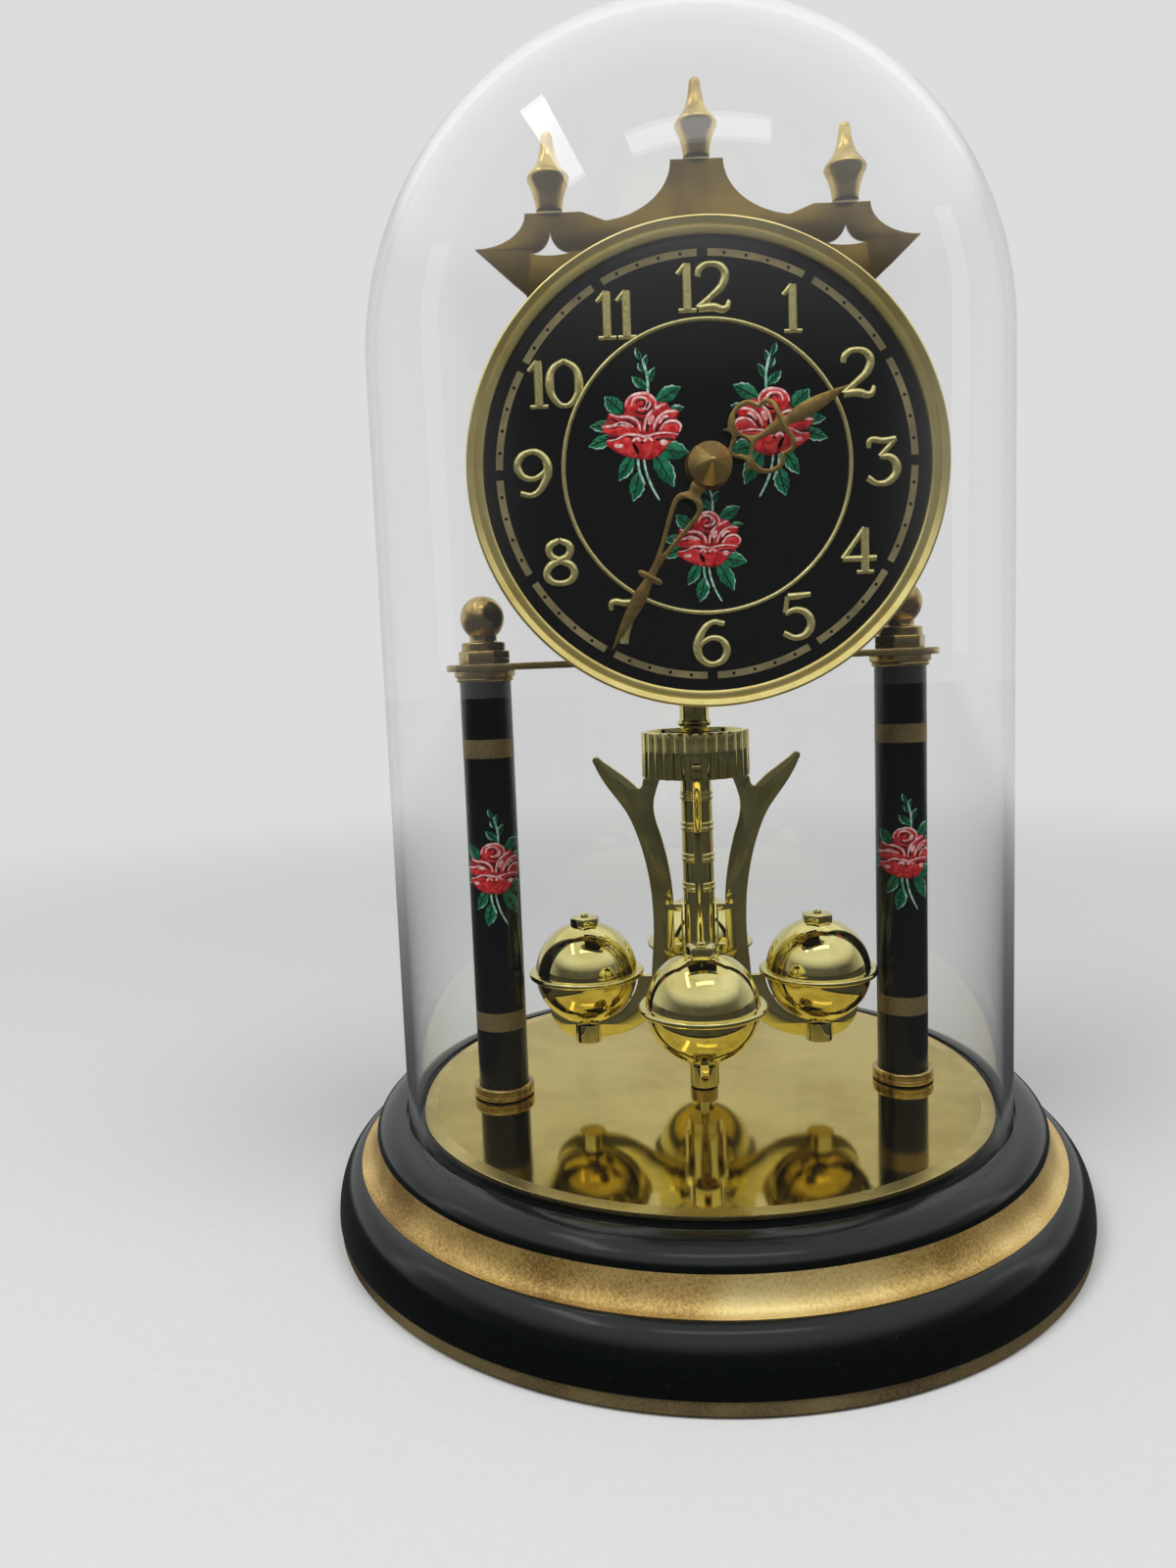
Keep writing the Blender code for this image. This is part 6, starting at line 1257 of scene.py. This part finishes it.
def hand(name, length, hub_radius, bore, edge, corners, windows, back, angle):
    """A pierced hand, cut from sheet with its windows and turned to its angle."""
    hub = arc(0, 0, hub_radius, -90, 62, 12)
    rim = [point for point in across(edge, length) if point[1] > hub[-1][1]]
    tip = (0, length)
    outline = mirrored(hub[1:] + rim + [tip]) + [hub[0]]
    sharp = [tip] + across(corners, length) + across(corners, length, -1)
    loops = [outline, ring(bore), *windows]
    made = stamped(name, loops, HAND_THICKNESS, HAND_EDGE, rounding=True, corners=sharp)
    lift = Matrix.Translation((0, 0, back + HAND_THICKNESS / 2))
    settle(made, DIAL_PLACE @ Matrix.Rotation(-angle, 4, "Z") @ lift)
    return made


hour_windows = [across(HOUR_LOOP, HOUR_HAND_LENGTH), across(HOUR_LOOP, HOUR_HAND_LENGTH, -1),
                mirrored(across(HOUR_FORK, HOUR_HAND_LENGTH))]
hour_hand = hand("pierced_hour_hand", HOUR_HAND_LENGTH, HOUR_HUB_RADIUS, HOUR_BORE, HOUR_EDGE,
                 HOUR_CORNERS, hour_windows, HOUR_HAND_BACK, HOUR_HAND_ANGLE)
dress(hour_hand, HAND_GOLD, "hour_work", "hand_gold", "hour_hand")
minute_windows = [mirrored(across(MINUTE_LOOP, MINUTE_HAND_LENGTH))]
minute_hand = hand("pierced_minute_hand", MINUTE_HAND_LENGTH, MINUTE_HUB_RADIUS, MINUTE_BORE, MINUTE_EDGE,
                   MINUTE_CORNERS, minute_windows, MINUTE_HAND_BACK, MINUTE_HAND_ANGLE)
dress(minute_hand, HAND_GOLD, "minute_work", "hand_gold", "minute_hand")

# %% Hand nut
NUT_BACK = 0.0037
NUT_TIP_RADIUS = 0.0007
NUT_RIM_RADIUS = 0.0004
NUT_RIM_HEIGHT = 0.0005
CONE_FOOT = (0.0002, 0.0008)
NUT_BACK_INSET = 0.0005
NUT_BORE_DEPTH = 0.0023

nut_tip = DIAL_FACE_Y - low("hand_nut").y
nut_radius = radius_of("hand_nut")
bore_end = NUT_BACK + NUT_BORE_DEPTH
outline = [(0, nut_tip)] + arc(0, nut_tip - NUT_TIP_RADIUS, NUT_TIP_RADIUS, 75, 20, 4)
outline += [(nut_radius - CONE_FOOT[0], NUT_BACK + CONE_FOOT[1])]
outline += arc(nut_radius - NUT_RIM_RADIUS, NUT_BACK + NUT_RIM_HEIGHT, NUT_RIM_RADIUS, 20, -60, 4)
outline += [(nut_radius - NUT_BACK_INSET, NUT_BACK), (MINUTE_BORE, NUT_BACK), (MINUTE_BORE, bore_end),
            (0, bore_end)]
hand_nut = turned("turned_hand_nut", outline, edge=0.00005)
settle(hand_nut, DIAL_PLACE)
dress(hand_nut, HAND_NUT_BRASS, "minute_work", "aged_brass", "hand_nut")

# %% [markdown]
# ## Crown
# The crown is a shaped sheet behind the dial, with a small tent-shaped window in each wing, and three slender
# turned finials that stand on its top edge. Its face is brushed from side to side and has gone olive.

# %% Crown plate
CROWN_FRONT = -0.0045
CROWN_THICKNESS = 0.0010
CROWN_EDGE = 0.00012
CREST_TOP = BEZEL_RADIUS + 0.0116
CREST_HALF = 0.0046
DIP = (CREST_HALF + 0.0111, CREST_TOP - 0.0098)
SHOULDER_TOP = DIP[1] + 0.0017
SHOULDER_INNER = DIP[0] + 0.0046
SHOULDER_OUTER = SHOULDER_INNER + 0.0099
TIP = (SHOULDER_OUTER + 0.0088, SHOULDER_TOP - 0.0057)
WING_EDGE = (TIP[0] - 0.0085, TIP[1] - 0.0079)
CROWN_HUB_RADIUS = 0.0130
WINDOW_MIDDLE = (SHOULDER_OUTER - 0.0043, SHOULDER_TOP - 0.0065)
WINDOW_HALF = 0.0034
WINDOW_RISE = 0.0036
WINDOW_SAG = 0.0006


def crown_window(side):
    """A tent with a bowed foot and two hollow slopes that meet in a point."""
    middle, foot = WINDOW_MIDDLE
    slope = arc(WINDOW_HALF, WINDOW_RISE, WINDOW_HALF, 180, 270, 8, WINDOW_RISE)
    bow = arc(0, 0, WINDOW_HALF, 180, 360, 10, WINDOW_SAG)[1:-1]
    rim = bow + slope[::-1] + [(-x, y) for x, y in slope[1:]]
    return [(side * middle + x, foot + y) for x, y in rim]


half = [(0, -CROWN_HUB_RADIUS)] + arc(0, 0, CROWN_HUB_RADIUS, -90, 0, 8)[1:] + [WING_EDGE, TIP]
half += arc(TIP[0], SHOULDER_TOP, TIP[0] - SHOULDER_OUTER, 270, 180, 14, SHOULDER_TOP - TIP[1])[1:]
half += [(SHOULDER_INNER, SHOULDER_TOP)]
half += arc(DIP[0] + CREST_HALF / 2, CREST_TOP, DIP[0] - CREST_HALF / 2, 262, 180, 20, CREST_TOP - DIP[1])
crown = stamped("crown_sheet", [mirrored(half), ring(BUSH_BORE), crown_window(-1), crown_window(1)],
                CROWN_THICKNESS, CROWN_EDGE)
settle(crown, DIAL_PLACE @ Matrix.Translation((0, 0, CROWN_FRONT - CROWN_THICKNESS / 2)))
dress(crown, CROWN_BRASS, "clock", "brushed_brass", "crown_plate")

# %% Crown finials
# Each place is (radius, height) in shares of the girdle's radius and of the whole height.
FINIAL_SHARES = [(0.00, 1.000), (0.14, 0.992), (0.23, 0.970), (0.27, 0.935), (0.29, 0.880), (0.33, 0.800),
                 (0.40, 0.710), (0.52, 0.620), (0.70, 0.535), (0.88, 0.475), (0.98, 0.435), (1.00, 0.410),
                 (0.98, 0.385), (0.90, 0.340), (0.79, 0.260), (0.70, 0.170), (0.64, 0.080), (0.62, 0.000),
                 (0.00, 0.000)]
girdle = radius_of("centre_crown_finial")
finial_height = high("centre_crown_finial").z - low("centre_crown_finial").z
outline = [(across * girdle, up * finial_height) for across, up in FINIAL_SHARES]
model = turned("crown_finial", outline, SMALL_STEPS, edge=0.00005)
for side in ("centre", "left", "right"):
    node = f"{side}_crown_finial"
    x, y, _ = middle_of(node)
    made = copied(model, f"{node}_turned", Matrix.Translation((x, y, low(node).z)))
    dress(made, FINIAL_BRASS, "clock", "brushed_brass", node)
bpy.data.objects.remove(model)

# %% [markdown]
# ## Pendulum
# A sleeve hangs from the movement with a fluted cup. Under the cup a ringed tube runs down to the hub, and
# four blade arms cradle the balls. The whole group is bright gilt, so smooth that it mirrors the room. One
# arm and one ball are modelled and then copied a quarter turn apart.

# %% Bright gilt


def bright_gilt():
    """Polished pale gold plate with a breath of haze and a few shallow dents."""
    made, tree, shader, place = new_finish("bright_gilt")
    haze = add(tree, "TexNoise", {"Vector": place, "Scale": cells_per_metre(9.0), "Detail": 5.0})
    tones = add(tree, "ValToRGB", [haze], [(0.40, "#E6DC98"), (0.72, "#D2C478")])
    rough = add(tree, "MapRange", {"Value": haze, "From Min": 0.35, "From Max": 0.7,
                                   "To Min": 0.03, "To Max": 0.07})
    dents = add(tree, "TexNoise", {"Vector": place, "Scale": cells_per_metre(5.0), "Detail": 1.0})
    bump = add(tree, "Bump", {"Height": dents, "Strength": 0.02, "Distance": 0.0003})
    feed(tree, shader, {"Base Color": tones, "Metallic": 1.0, "Roughness": rough, "Normal": bump})
    return made


BRIGHT_GILT = bright_gilt()


def hang(piece, *nodes):
    """Puts a gilt piece on the pendulum's axis, in the place of its solids."""
    settle(piece, PENDULUM_PLACE)
    dress(piece, BRIGHT_GILT, "pendulum", "bright_gilt", *nodes)


# %% Hanger sleeve
SLEEVE_TOP = 0.1085
SLEEVE_RADIUS = 0.0031
SLEEVE_ROUND = 0.0006
SHAFT_RADIUS = 0.0012
FLANGE_HEIGHTS = (0.0019, 0.0029)
BEAD_LIFT = 0.0016
BEAD_REACH = 0.0004
BEAD_RISE = 0.0006

cup_top = high("pendulum_cup").z
shaft_top = high("hanger_shaft").z
shaft_foot = low("hanger_shaft").z
flange_foot, flange_top = (low("movement_back").z + height for height in FLANGE_HEIGHTS)
outline = [(0, shaft_top), (SHAFT_RADIUS, shaft_top), (SHAFT_RADIUS, flange_top), (SHAFT_HOLE, flange_top),
           (SHAFT_HOLE, flange_foot), (SHAFT_RADIUS, flange_foot), (SHAFT_RADIUS, SLEEVE_TOP)]
outline += arc(SLEEVE_RADIUS - SLEEVE_ROUND, SLEEVE_TOP - SLEEVE_ROUND, SLEEVE_ROUND, 90, 0, 5)
outline += [(SLEEVE_RADIUS, cup_top + BEAD_LIFT + BEAD_RISE)]
outline += arc(SLEEVE_RADIUS, cup_top + BEAD_LIFT, BEAD_REACH, 90, -90, 6, BEAD_RISE)
outline += [(SLEEVE_RADIUS, shaft_foot), (0, shaft_foot)]
hang(turned("hanger_sleeve", outline, SMALL_STEPS, edge=0.00008), "hanger_shaft")

# %% Fluted cup
CUP_WALL = 0.0014
CUP_FLOOR = 0.0012
CUP_FLUTES = 28
CUP_FLUTE_DEPTH = 0.0005
CUP_EDGE = 0.0003
FLOOR_OVERLAP = 0.0002
POINTS_PER_FLUTE = 8


def fluted(radius, depth, count):
    """A circle of so many rounded beads."""
    points = []
    for k in range(count * POINTS_PER_FLUTE):
        turn = math.tau * k / (count * POINTS_PER_FLUTE)
        reach = radius - depth * (1 - abs(math.sin(turn * count / 2)))
        points.append((reach * math.cos(turn), reach * math.sin(turn)))
    return points


cup_bottom = low("pendulum_cup").z
cup_radius = radius_of("pendulum_cup")
cup_rims = [fluted(cup_radius, CUP_FLUTE_DEPTH, CUP_FLUTES), ring(cup_radius - CUP_WALL, MIDDLE_STEPS)]
cup = stamped("fluted_cup_wall", cup_rims, cup_top - cup_bottom, CUP_EDGE)
settle(cup, Matrix.Translation((0, 0, (cup_top + cup_bottom) / 2)))
hang(cup, "pendulum_cup")
inside = cup_radius - CUP_WALL + FLOOR_OVERLAP
hang(turned("cup_floor", [(0, cup_bottom), (inside, cup_bottom), (inside, cup_bottom + CUP_FLOOR),
                          (0, cup_bottom + CUP_FLOOR)]))

# %% Ringed tube
TUBE_RADIUS = 0.0033
RING_PAIR_SHARES = (0.919, 0.780, 0.638, 0.505)
RING_PAIR_HALF = 0.0012
RING_OFFSET = 0.0005
RING_REACH = 0.00025
RING_RISE = 0.0004

under_cup = cup_bottom - SEAT_GAP
hub_top = high("pendulum_hub").z
tube_foot = hub_top + SEAT_GAP
outline = [(0, under_cup), (TUBE_RADIUS, under_cup)]
for share in RING_PAIR_SHARES:
    height = tube_foot + (under_cup - tube_foot) * share
    outline += [(TUBE_RADIUS, height + RING_PAIR_HALF)]
    outline += arc(TUBE_RADIUS, height + RING_OFFSET, RING_REACH, 90, -90, 6, RING_RISE)
    outline += arc(TUBE_RADIUS, height - RING_OFFSET, RING_REACH, 90, -90, 6, RING_RISE)
    outline += [(TUBE_RADIUS, height - RING_PAIR_HALF)]
outline += [(TUBE_RADIUS, tube_foot), (0, tube_foot)]
hang(turned("ringed_tube", outline, SMALL_STEPS, edge=0.00006), "pendulum_tube")

# %% Hub and guide pin
HUB_BOTTOM = 0.0310
HUB_ROUND = 0.0008
HUB_CHAMFER = (0.0024, 0.0030)
HUB_INSET = 0.0006
PIN_RADIUS = 0.0009

hub_radius = radius_of("pendulum_hub")
pin_end = low("pendulum_hub").z
outline = [(0, hub_top)] + arc(hub_radius - HUB_ROUND, hub_top - HUB_ROUND, HUB_ROUND, 90, 0, 6)
chamfer_foot, chamfer_top = (HUB_BOTTOM + height for height in HUB_CHAMFER)
outline += [(hub_radius, chamfer_top), (hub_radius - HUB_INSET, chamfer_foot),
            (hub_radius - HUB_INSET, HUB_BOTTOM), (PIN_RADIUS, HUB_BOTTOM),
            (PIN_RADIUS, pin_end), (0, pin_end)]
hang(turned("pendulum_hub_turned", outline, SMALL_STEPS), "pendulum_hub")

# %% Shape of the blade arms
# The lists hold shares of the arm's reach and of the blade's rise. The cradle's are of its own run and rise.
BALL_CIRCLE = 0.0250
BALL_RADIUS = 0.0111
BALL_HEIGHT = 0.0493
RING_THICKNESS = 0.0012
ARM_THICKNESS = 0.0016
ARM_EDGE = 0.00018
ARM_REACH = 0.0219
TIP_LIFT = 0.0045
RUNG = 0.0016
RUNG_SHARE = 0.315
ROOT_SHARE = 0.253
WINDOW_DROP = 0.0088
PRONG_SHARES = (0.345, 0.510)
SHELF_LENGTH = 0.0029
CRADLE_RUN = 0.0082
CRADLE_THICKNESS = 0.0038
BLADE_INNER = [(0.256, 0.360), (0.288, 0.492), (0.347, 0.621), (0.408, 0.721), (0.418, 0.781), (0.394, 0.832)]
HORN = [(0.553, 0.853), (0.603, 0.870), (0.667, 0.898), (0.781, 0.938), (0.895, 0.977), (0.968, 1.000),
        (1.000, 0.989)]
BLADE_OUTER = [(0.982, 0.962), (0.927, 0.909), (0.854, 0.855), (0.758, 0.794), (0.676, 0.735), (0.580, 0.625),
               (0.516, 0.515), (0.479, 0.416), (0.461, 0.330), (0.457, 0.173), (0.477, 0.061)]
CRADLE_RISE = [(0.85, 0.035), (0.70, 0.100), (0.55, 0.230), (0.40, 0.450), (0.20, 0.800)]

blade_rise = cup_bottom + TIP_LIFT - BALL_HEIGHT
rung_top = BALL_HEIGHT + blade_rise * RUNG_SHARE
lowest = BALL_HEIGHT - BALL_RADIUS - CRADLE_THICKNESS
tube_side = TUBE_RADIUS + SEAT_GAP
hub_side = hub_radius + SEAT_GAP
ledge = BALL_HEIGHT - RING_THICKNESS / 2 - SEAT_GAP
seat = BALL_RADIUS + SEAT_GAP
print("blade", round(blade_rise * 1000, 1), "mm high above the balls' middle")

# %% Blade arm


def on_blade(shares):
    """Places on the blade, from shares of its reach and of its rise."""
    return [(ARM_REACH * out, BALL_HEIGHT + blade_rise * up) for out, up in shares]


first = 180 + math.degrees(math.asin((BALL_HEIGHT - ledge) / seat))
last = 360 - math.degrees(math.acos(CRADLE_RUN / seat))
ball_seat = arc(BALL_CIRCLE, BALL_HEIGHT, seat, first, last, 24)
cradle_end = ball_seat[-1][1]
under = arc(BALL_CIRCLE, cradle_end, CRADLE_RUN, 0, -90, 10, cradle_end - lowest)
root_x = ARM_REACH * ROOT_SHARE
inner_corners = [(tube_side, rung_top), (root_x, rung_top)]
prong = [(ARM_REACH * share, under_cup) for share in PRONG_SHARES]
shelf = (ball_seat[0][0] - SHELF_LENGTH, ledge)
root = [(hub_side, hub_top - RUNG), (hub_side, hub_top + RUNG), (tube_side, hub_top + RUNG * 2)]
cradle_run = BALL_CIRCLE - hub_side
cradle_rise = hub_top - RUNG - lowest
cradle = [(hub_side + cradle_run * out, lowest + cradle_rise * up) for out, up in CRADLE_RISE]
outline = inner_corners + on_blade(BLADE_INNER) + prong + on_blade(HORN) + on_blade(BLADE_OUTER)
outline += [shelf] + ball_seat + under + cradle + root
window_side = tube_side + RUNG / 4
window = [(window_side, rung_top - WINDOW_DROP), (root_x, rung_top - WINDOW_DROP),
          (root_x, rung_top - RUNG), (window_side, rung_top - RUNG)]
corners = inner_corners + prong + [shelf, ball_seat[0], ball_seat[-1]] + root + window
arm = stamped("blade_arm", [outline, window], ARM_THICKNESS, ARM_EDGE, rounding=True, corners=corners)
print(arm.name, len(arm.data.polygons), "faces")

# %% Ringed ball
BALL_CAP_RADIUS = 0.0032
CAP_EDGE = 0.0002
CAP_HEIGHT = 0.0025
BEAD_HEIGHT = 0.0009
BEAD_RADIUS = 0.0009
BALL_RING_RADIUS = 0.0125
RING_EDGE = 0.0004

land = BALL_HEIGHT + math.sqrt(BALL_RADIUS ** 2 - BALL_CAP_RADIUS ** 2)
cap_top = land + CAP_HEIGHT
cap_shelf = cap_top - BEAD_HEIGHT
cap_foot = land - CAP_EDGE * 2
edge_turn = math.degrees(math.asin(RING_THICKNESS / 2 / BALL_RADIUS))
bead_turn = math.degrees(math.acos(BEAD_RADIUS / BALL_RADIUS))
ring_edge = BALL_RING_RADIUS - RING_EDGE
outline = [(0, cap_top)] + arc(0, cap_top - BEAD_RISE, BEAD_RADIUS, 80, 0, 8, BEAD_RISE)
outline += arc(0, BALL_HEIGHT, BALL_RADIUS, bead_turn, edge_turn, 18)
outline += [(ring_edge, BALL_HEIGHT + RING_THICKNESS / 2)]
outline += arc(ring_edge, BALL_HEIGHT, RING_EDGE, 60, -60, 6, RING_THICKNESS / 2)
outline += [(ring_edge, BALL_HEIGHT - RING_THICKNESS / 2)]
outline += arc(0, BALL_HEIGHT, BALL_RADIUS, -edge_turn, -90, 20)[:-1] + [(0, BALL_HEIGHT - BALL_RADIUS)]
ball = turned("ringed_ball", outline, BALL_STEPS, edge=0.00006)
bpy.ops.object.select_all(action="DESELECT")
bpy.ops.mesh.primitive_cylinder_add(vertices=6, radius=BALL_CAP_RADIUS + CAP_EDGE, depth=cap_shelf - cap_foot,
                                    location=(0, 0, (cap_shelf + cap_foot) / 2))
cap = bpy.context.object
settle(cap, cap.matrix_world.copy())
rounded(cap, CAP_EDGE)
smooth(cap)
joined(ball, [cap])
print(ball.name, len(ball.data.polygons), "faces")

# %% Stem under the ball
STEM_RADIUS = 0.0029
STEM_LENGTH = 0.0040

stem_top = BALL_HEIGHT - BALL_RADIUS - SEAT_GAP
stem_foot = stem_top - STEM_LENGTH
outline = [(0, stem_top), (STEM_RADIUS, stem_top), (STEM_RADIUS, stem_foot), (0, stem_foot)]
stem = turned("ball_stem", outline, SMALL_STEPS, edge=0.0002)
print(stem.name, len(stem.data.polygons), "faces")

# %% Four arms, four balls
for number, side in enumerate(("front", "right", "back", "left")):
    quarter = PENDULUM_PLACE @ Matrix.Rotation(math.radians(-90 + 90 * number), 4, "Z")
    made = copied(arm, f"{side}_blade_arm", quarter @ LIE_FLAT_TO_FRONT)
    dress(made, BRIGHT_GILT, "pendulum", "bright_gilt", f"{side}_arm")
    out = quarter @ Matrix.Translation((BALL_CIRCLE, 0, 0))
    dress(copied(ball, f"{side}_ringed_ball", out), BRIGHT_GILT, "pendulum", "bright_gilt", f"{side}_ball")
    dress(copied(stem, f"{side}_ball_stem", out), BRIGHT_GILT, "pendulum", "bright_gilt")
for model in (arm, ball, stem):
    bpy.data.objects.remove(model)

# %% [markdown]
# ## Movement and base from behind
# The case, its back, the wheels, the bolts and the ballast have the right shape already, so their solids stay
# and get materials of their own. Only the two things that a finger works are modelled finer: the battery
# cover, which gets grip ribs, and the fluted knob that sets the hands.

# %% Plain finishes


def grained(name, first, second, size_mm, rough_low, rough_high, metal=0.0, bump=0.1, stretch=(1, 1, 1)):
    """Two close tones in a fine grain, with roughness and a slight relief that follow it."""
    made, tree, shader, place = new_finish(name)
    along = add(tree, "Mapping", {"Vector": place, "Scale": stretch})
    grain = add(tree, "TexNoise", {"Vector": along, "Scale": cells_per_metre(size_mm), "Detail": 6.0})
    tones = add(tree, "ValToRGB", [grain], [(0.36, first), (0.64, second)])
    rough = add(tree, "MapRange", {"Value": grain, "From Min": 0.3, "From Max": 0.7,
                                   "To Min": rough_low, "To Max": rough_high})
    relief = add(tree, "Bump", {"Height": grain, "Strength": bump, "Distance": 0.0001})
    feed(tree, shader, {"Base Color": tones, "Metallic": metal, "Roughness": rough, "Normal": relief})
    return made


# Sand-cast iron is dark and pitted, without any shine.
CAST_IRON = grained("sand_cast_iron", "#2E2E2F", "#4A4847", 1.2, 0.60, 0.85, 0.6, 0.5)
# Pressed fibreboard shows short threads in dull black.
FIBREBOARD = grained("black_fibreboard", "#12110F", "#242220", 0.8, 0.80, 0.95, 0.0, 0.4, (1, 4, 1))
# Zinc plate is a cool grey with small blooms of two brightnesses.
ZINC_PLATE = grained("zinc_plated_steel", "#A9ADB1", "#C6C9CC", 1.5, 0.28, 0.45, 1.0, 0.05)
# Pressed magnet powder is almost black and very finely grained.
SINTERED_MAGNET = grained("sintered_magnet", "#3A3B3D", "#505154", 0.3, 0.45, 0.60, 0.7, 0.2)
# Moulded plastic has the spark-eroded texture of its mould, so it never shines.
CASE_PLASTIC = grained("textured_black_plastic", "#161616", "#1E1E1E", 0.5, 0.40, 0.50, 0.0, 0.06)
SPACER_PLASTIC = grained("grey_moulded_plastic", "#6E6E6C", "#7C7C79", 0.9, 0.42, 0.55, 0.0, 0.1)
print("six plain finishes")

# %% Copper wire and battery foil


def copper_winding():
    """Enamelled wire in turns a fifth of a millimetre apart, each turn with a painted highlight and painted
    shade in its colour.
    """
    made, tree, shader, place = new_finish("enamelled_copper_winding")
    turns = add(tree, "TexWave", {"Vector": place, "Scale": cells_per_metre(0.2) / math.tau,
                                  "Distortion": 0.6}, bands_direction="Z").outputs["Fac"]
    # The colour runs from a painted shade between the turns to a painted highlight on each turn.
    tones = add(tree, "ValToRGB", [turns], [(0.1, "#5E2A14"), (0.8, "#C4713E")])
    relief = add(tree, "Bump", {"Height": turns, "Strength": 0.6, "Distance": 0.0001})
    feed(tree, shader, {"Base Color": tones, "Metallic": 0.8, "Roughness": 0.30, "Normal": relief})
    return made


def battery_jacket():
    """A printed foil sleeve in two plain colours, crimped over bare steel ends."""
    made, tree, shader, place = new_finish("battery_foil_jacket")
    along = add(tree, "SeparateXYZ", [place])
    ends = {"From Min": low("battery").x, "From Max": high("battery").x}
    length = add(tree, "MapRange", {"Value": along, **ends})
    zones = add(tree, "ValToRGB", [length],
                [(0.0, "#B9BBBD"), (0.04, "#23303C"), (0.70, "#A8763A"), (0.95, "#B9BBBD")])
    zones.color_ramp.interpolation = "CONSTANT"
    scuffs = add(tree, "TexNoise", {"Vector": place, "Scale": cells_per_metre(2.5), "Detail": 5.0})
    rough = add(tree, "MapRange", {"Value": scuffs, "To Min": 0.22, "To Max": 0.45})
    feed(tree, shader, {"Base Color": zones, "Metallic": 0.6, "Roughness": rough})
    return made


# %% Solids that stay
STAYING = {CAST_IRON: ["ballast_plate"], FIBREBOARD: ["bottom_cover"],
           ZINC_PLATE: ["left_tie_bolt", "right_tie_bolt", "left_case_screw", "right_case_screw",
                        "left_battery_contact", "right_battery_contact"],
           SINTERED_MAGNET: ["drive_magnet", "rotor"], CASE_PLASTIC: ["movement_case", "movement_back"],
           SPACER_PLASTIC: ["dial_spacer"], AGED_BRASS: ["dial_nut"],
           copper_winding(): ["drive_coil", "motor_coil"], battery_jacket(): ["battery"],
           TRAIN_BRASS: ["guide_cup", "hour_wheel", "centre_arbor", "set_stem", "third_wheel"]}
for finish, names in STAYING.items():
    for name in names:
        for material_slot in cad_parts[name].material_slots:
            material_slot.material = finish
    print(finish.name, "on", ", ".join(names))

# %% Battery cover with grip ribs
COVER_EDGE = 0.0003
RIB_HEIGHT = 0.0004
RIB_WIDTH = 0.0009
RIB_PITCH = 0.0019
RIB_COUNT = 6
RIB_END = 0.0020


def block(name, size, middle, edge):
    """A plain block with rounded edges."""
    bpy.ops.object.select_all(action="DESELECT")
    bpy.ops.mesh.primitive_cube_add(size=1, scale=size, location=middle)
    made = bpy.context.object
    made.name = name
    settle(made, made.matrix_world.copy())
    rounded(made, edge, 3)
    return made


cover_low, cover_high = low("battery_cover"), high("battery_cover")
width, depth, height = cover_high - cover_low
depth -= RIB_HEIGHT
middle_z = (cover_low.z + cover_high.z) / 2
cover_middle = (0, cover_low.y + depth / 2, middle_z)
cover = block("ribbed_battery_cover", (width, depth, height), cover_middle, COVER_EDGE)
ribs = block("grip_ribs", (RIB_WIDTH, RIB_HEIGHT * 2, height - RIB_END * 2),
             (cover_high.x - RIB_END * 2, cover_high.y - RIB_HEIGHT, middle_z), RIB_HEIGHT / 2)
change(ribs, "ARRAY", count=RIB_COUNT, use_relative_offset=False, use_constant_offset=True,
       constant_offset_displace=(-RIB_PITCH, 0, 0))
joined(cover, [ribs])
smooth(cover)
dress(cover, CASE_PLASTIC, "battery_cover_body", "black_plastic", "battery_cover")

# %% Hand-setting knob
KNOB_FLUTES = 24
KNOB_FLUTE_DEPTH = 0.0004
KNOB_EDGE = 0.0004

knob_low, knob_high = low("set_knob"), high("set_knob")
knob_length = knob_high.y - knob_low.y
knob = stamped("fluted_set_knob", [fluted(radius_of("set_knob"), KNOB_FLUTE_DEPTH, KNOB_FLUTES)],
               knob_length, KNOB_EDGE)
knob_middle = (0, knob_low.y + knob_length / 2, (knob_low.z + knob_high.z) / 2)
settle(knob, Matrix.Translation(knob_middle) @ LIE_FLAT_TO_FRONT)
dress(knob, CASE_PLASTIC, "set_work", "black_plastic", "set_knob")
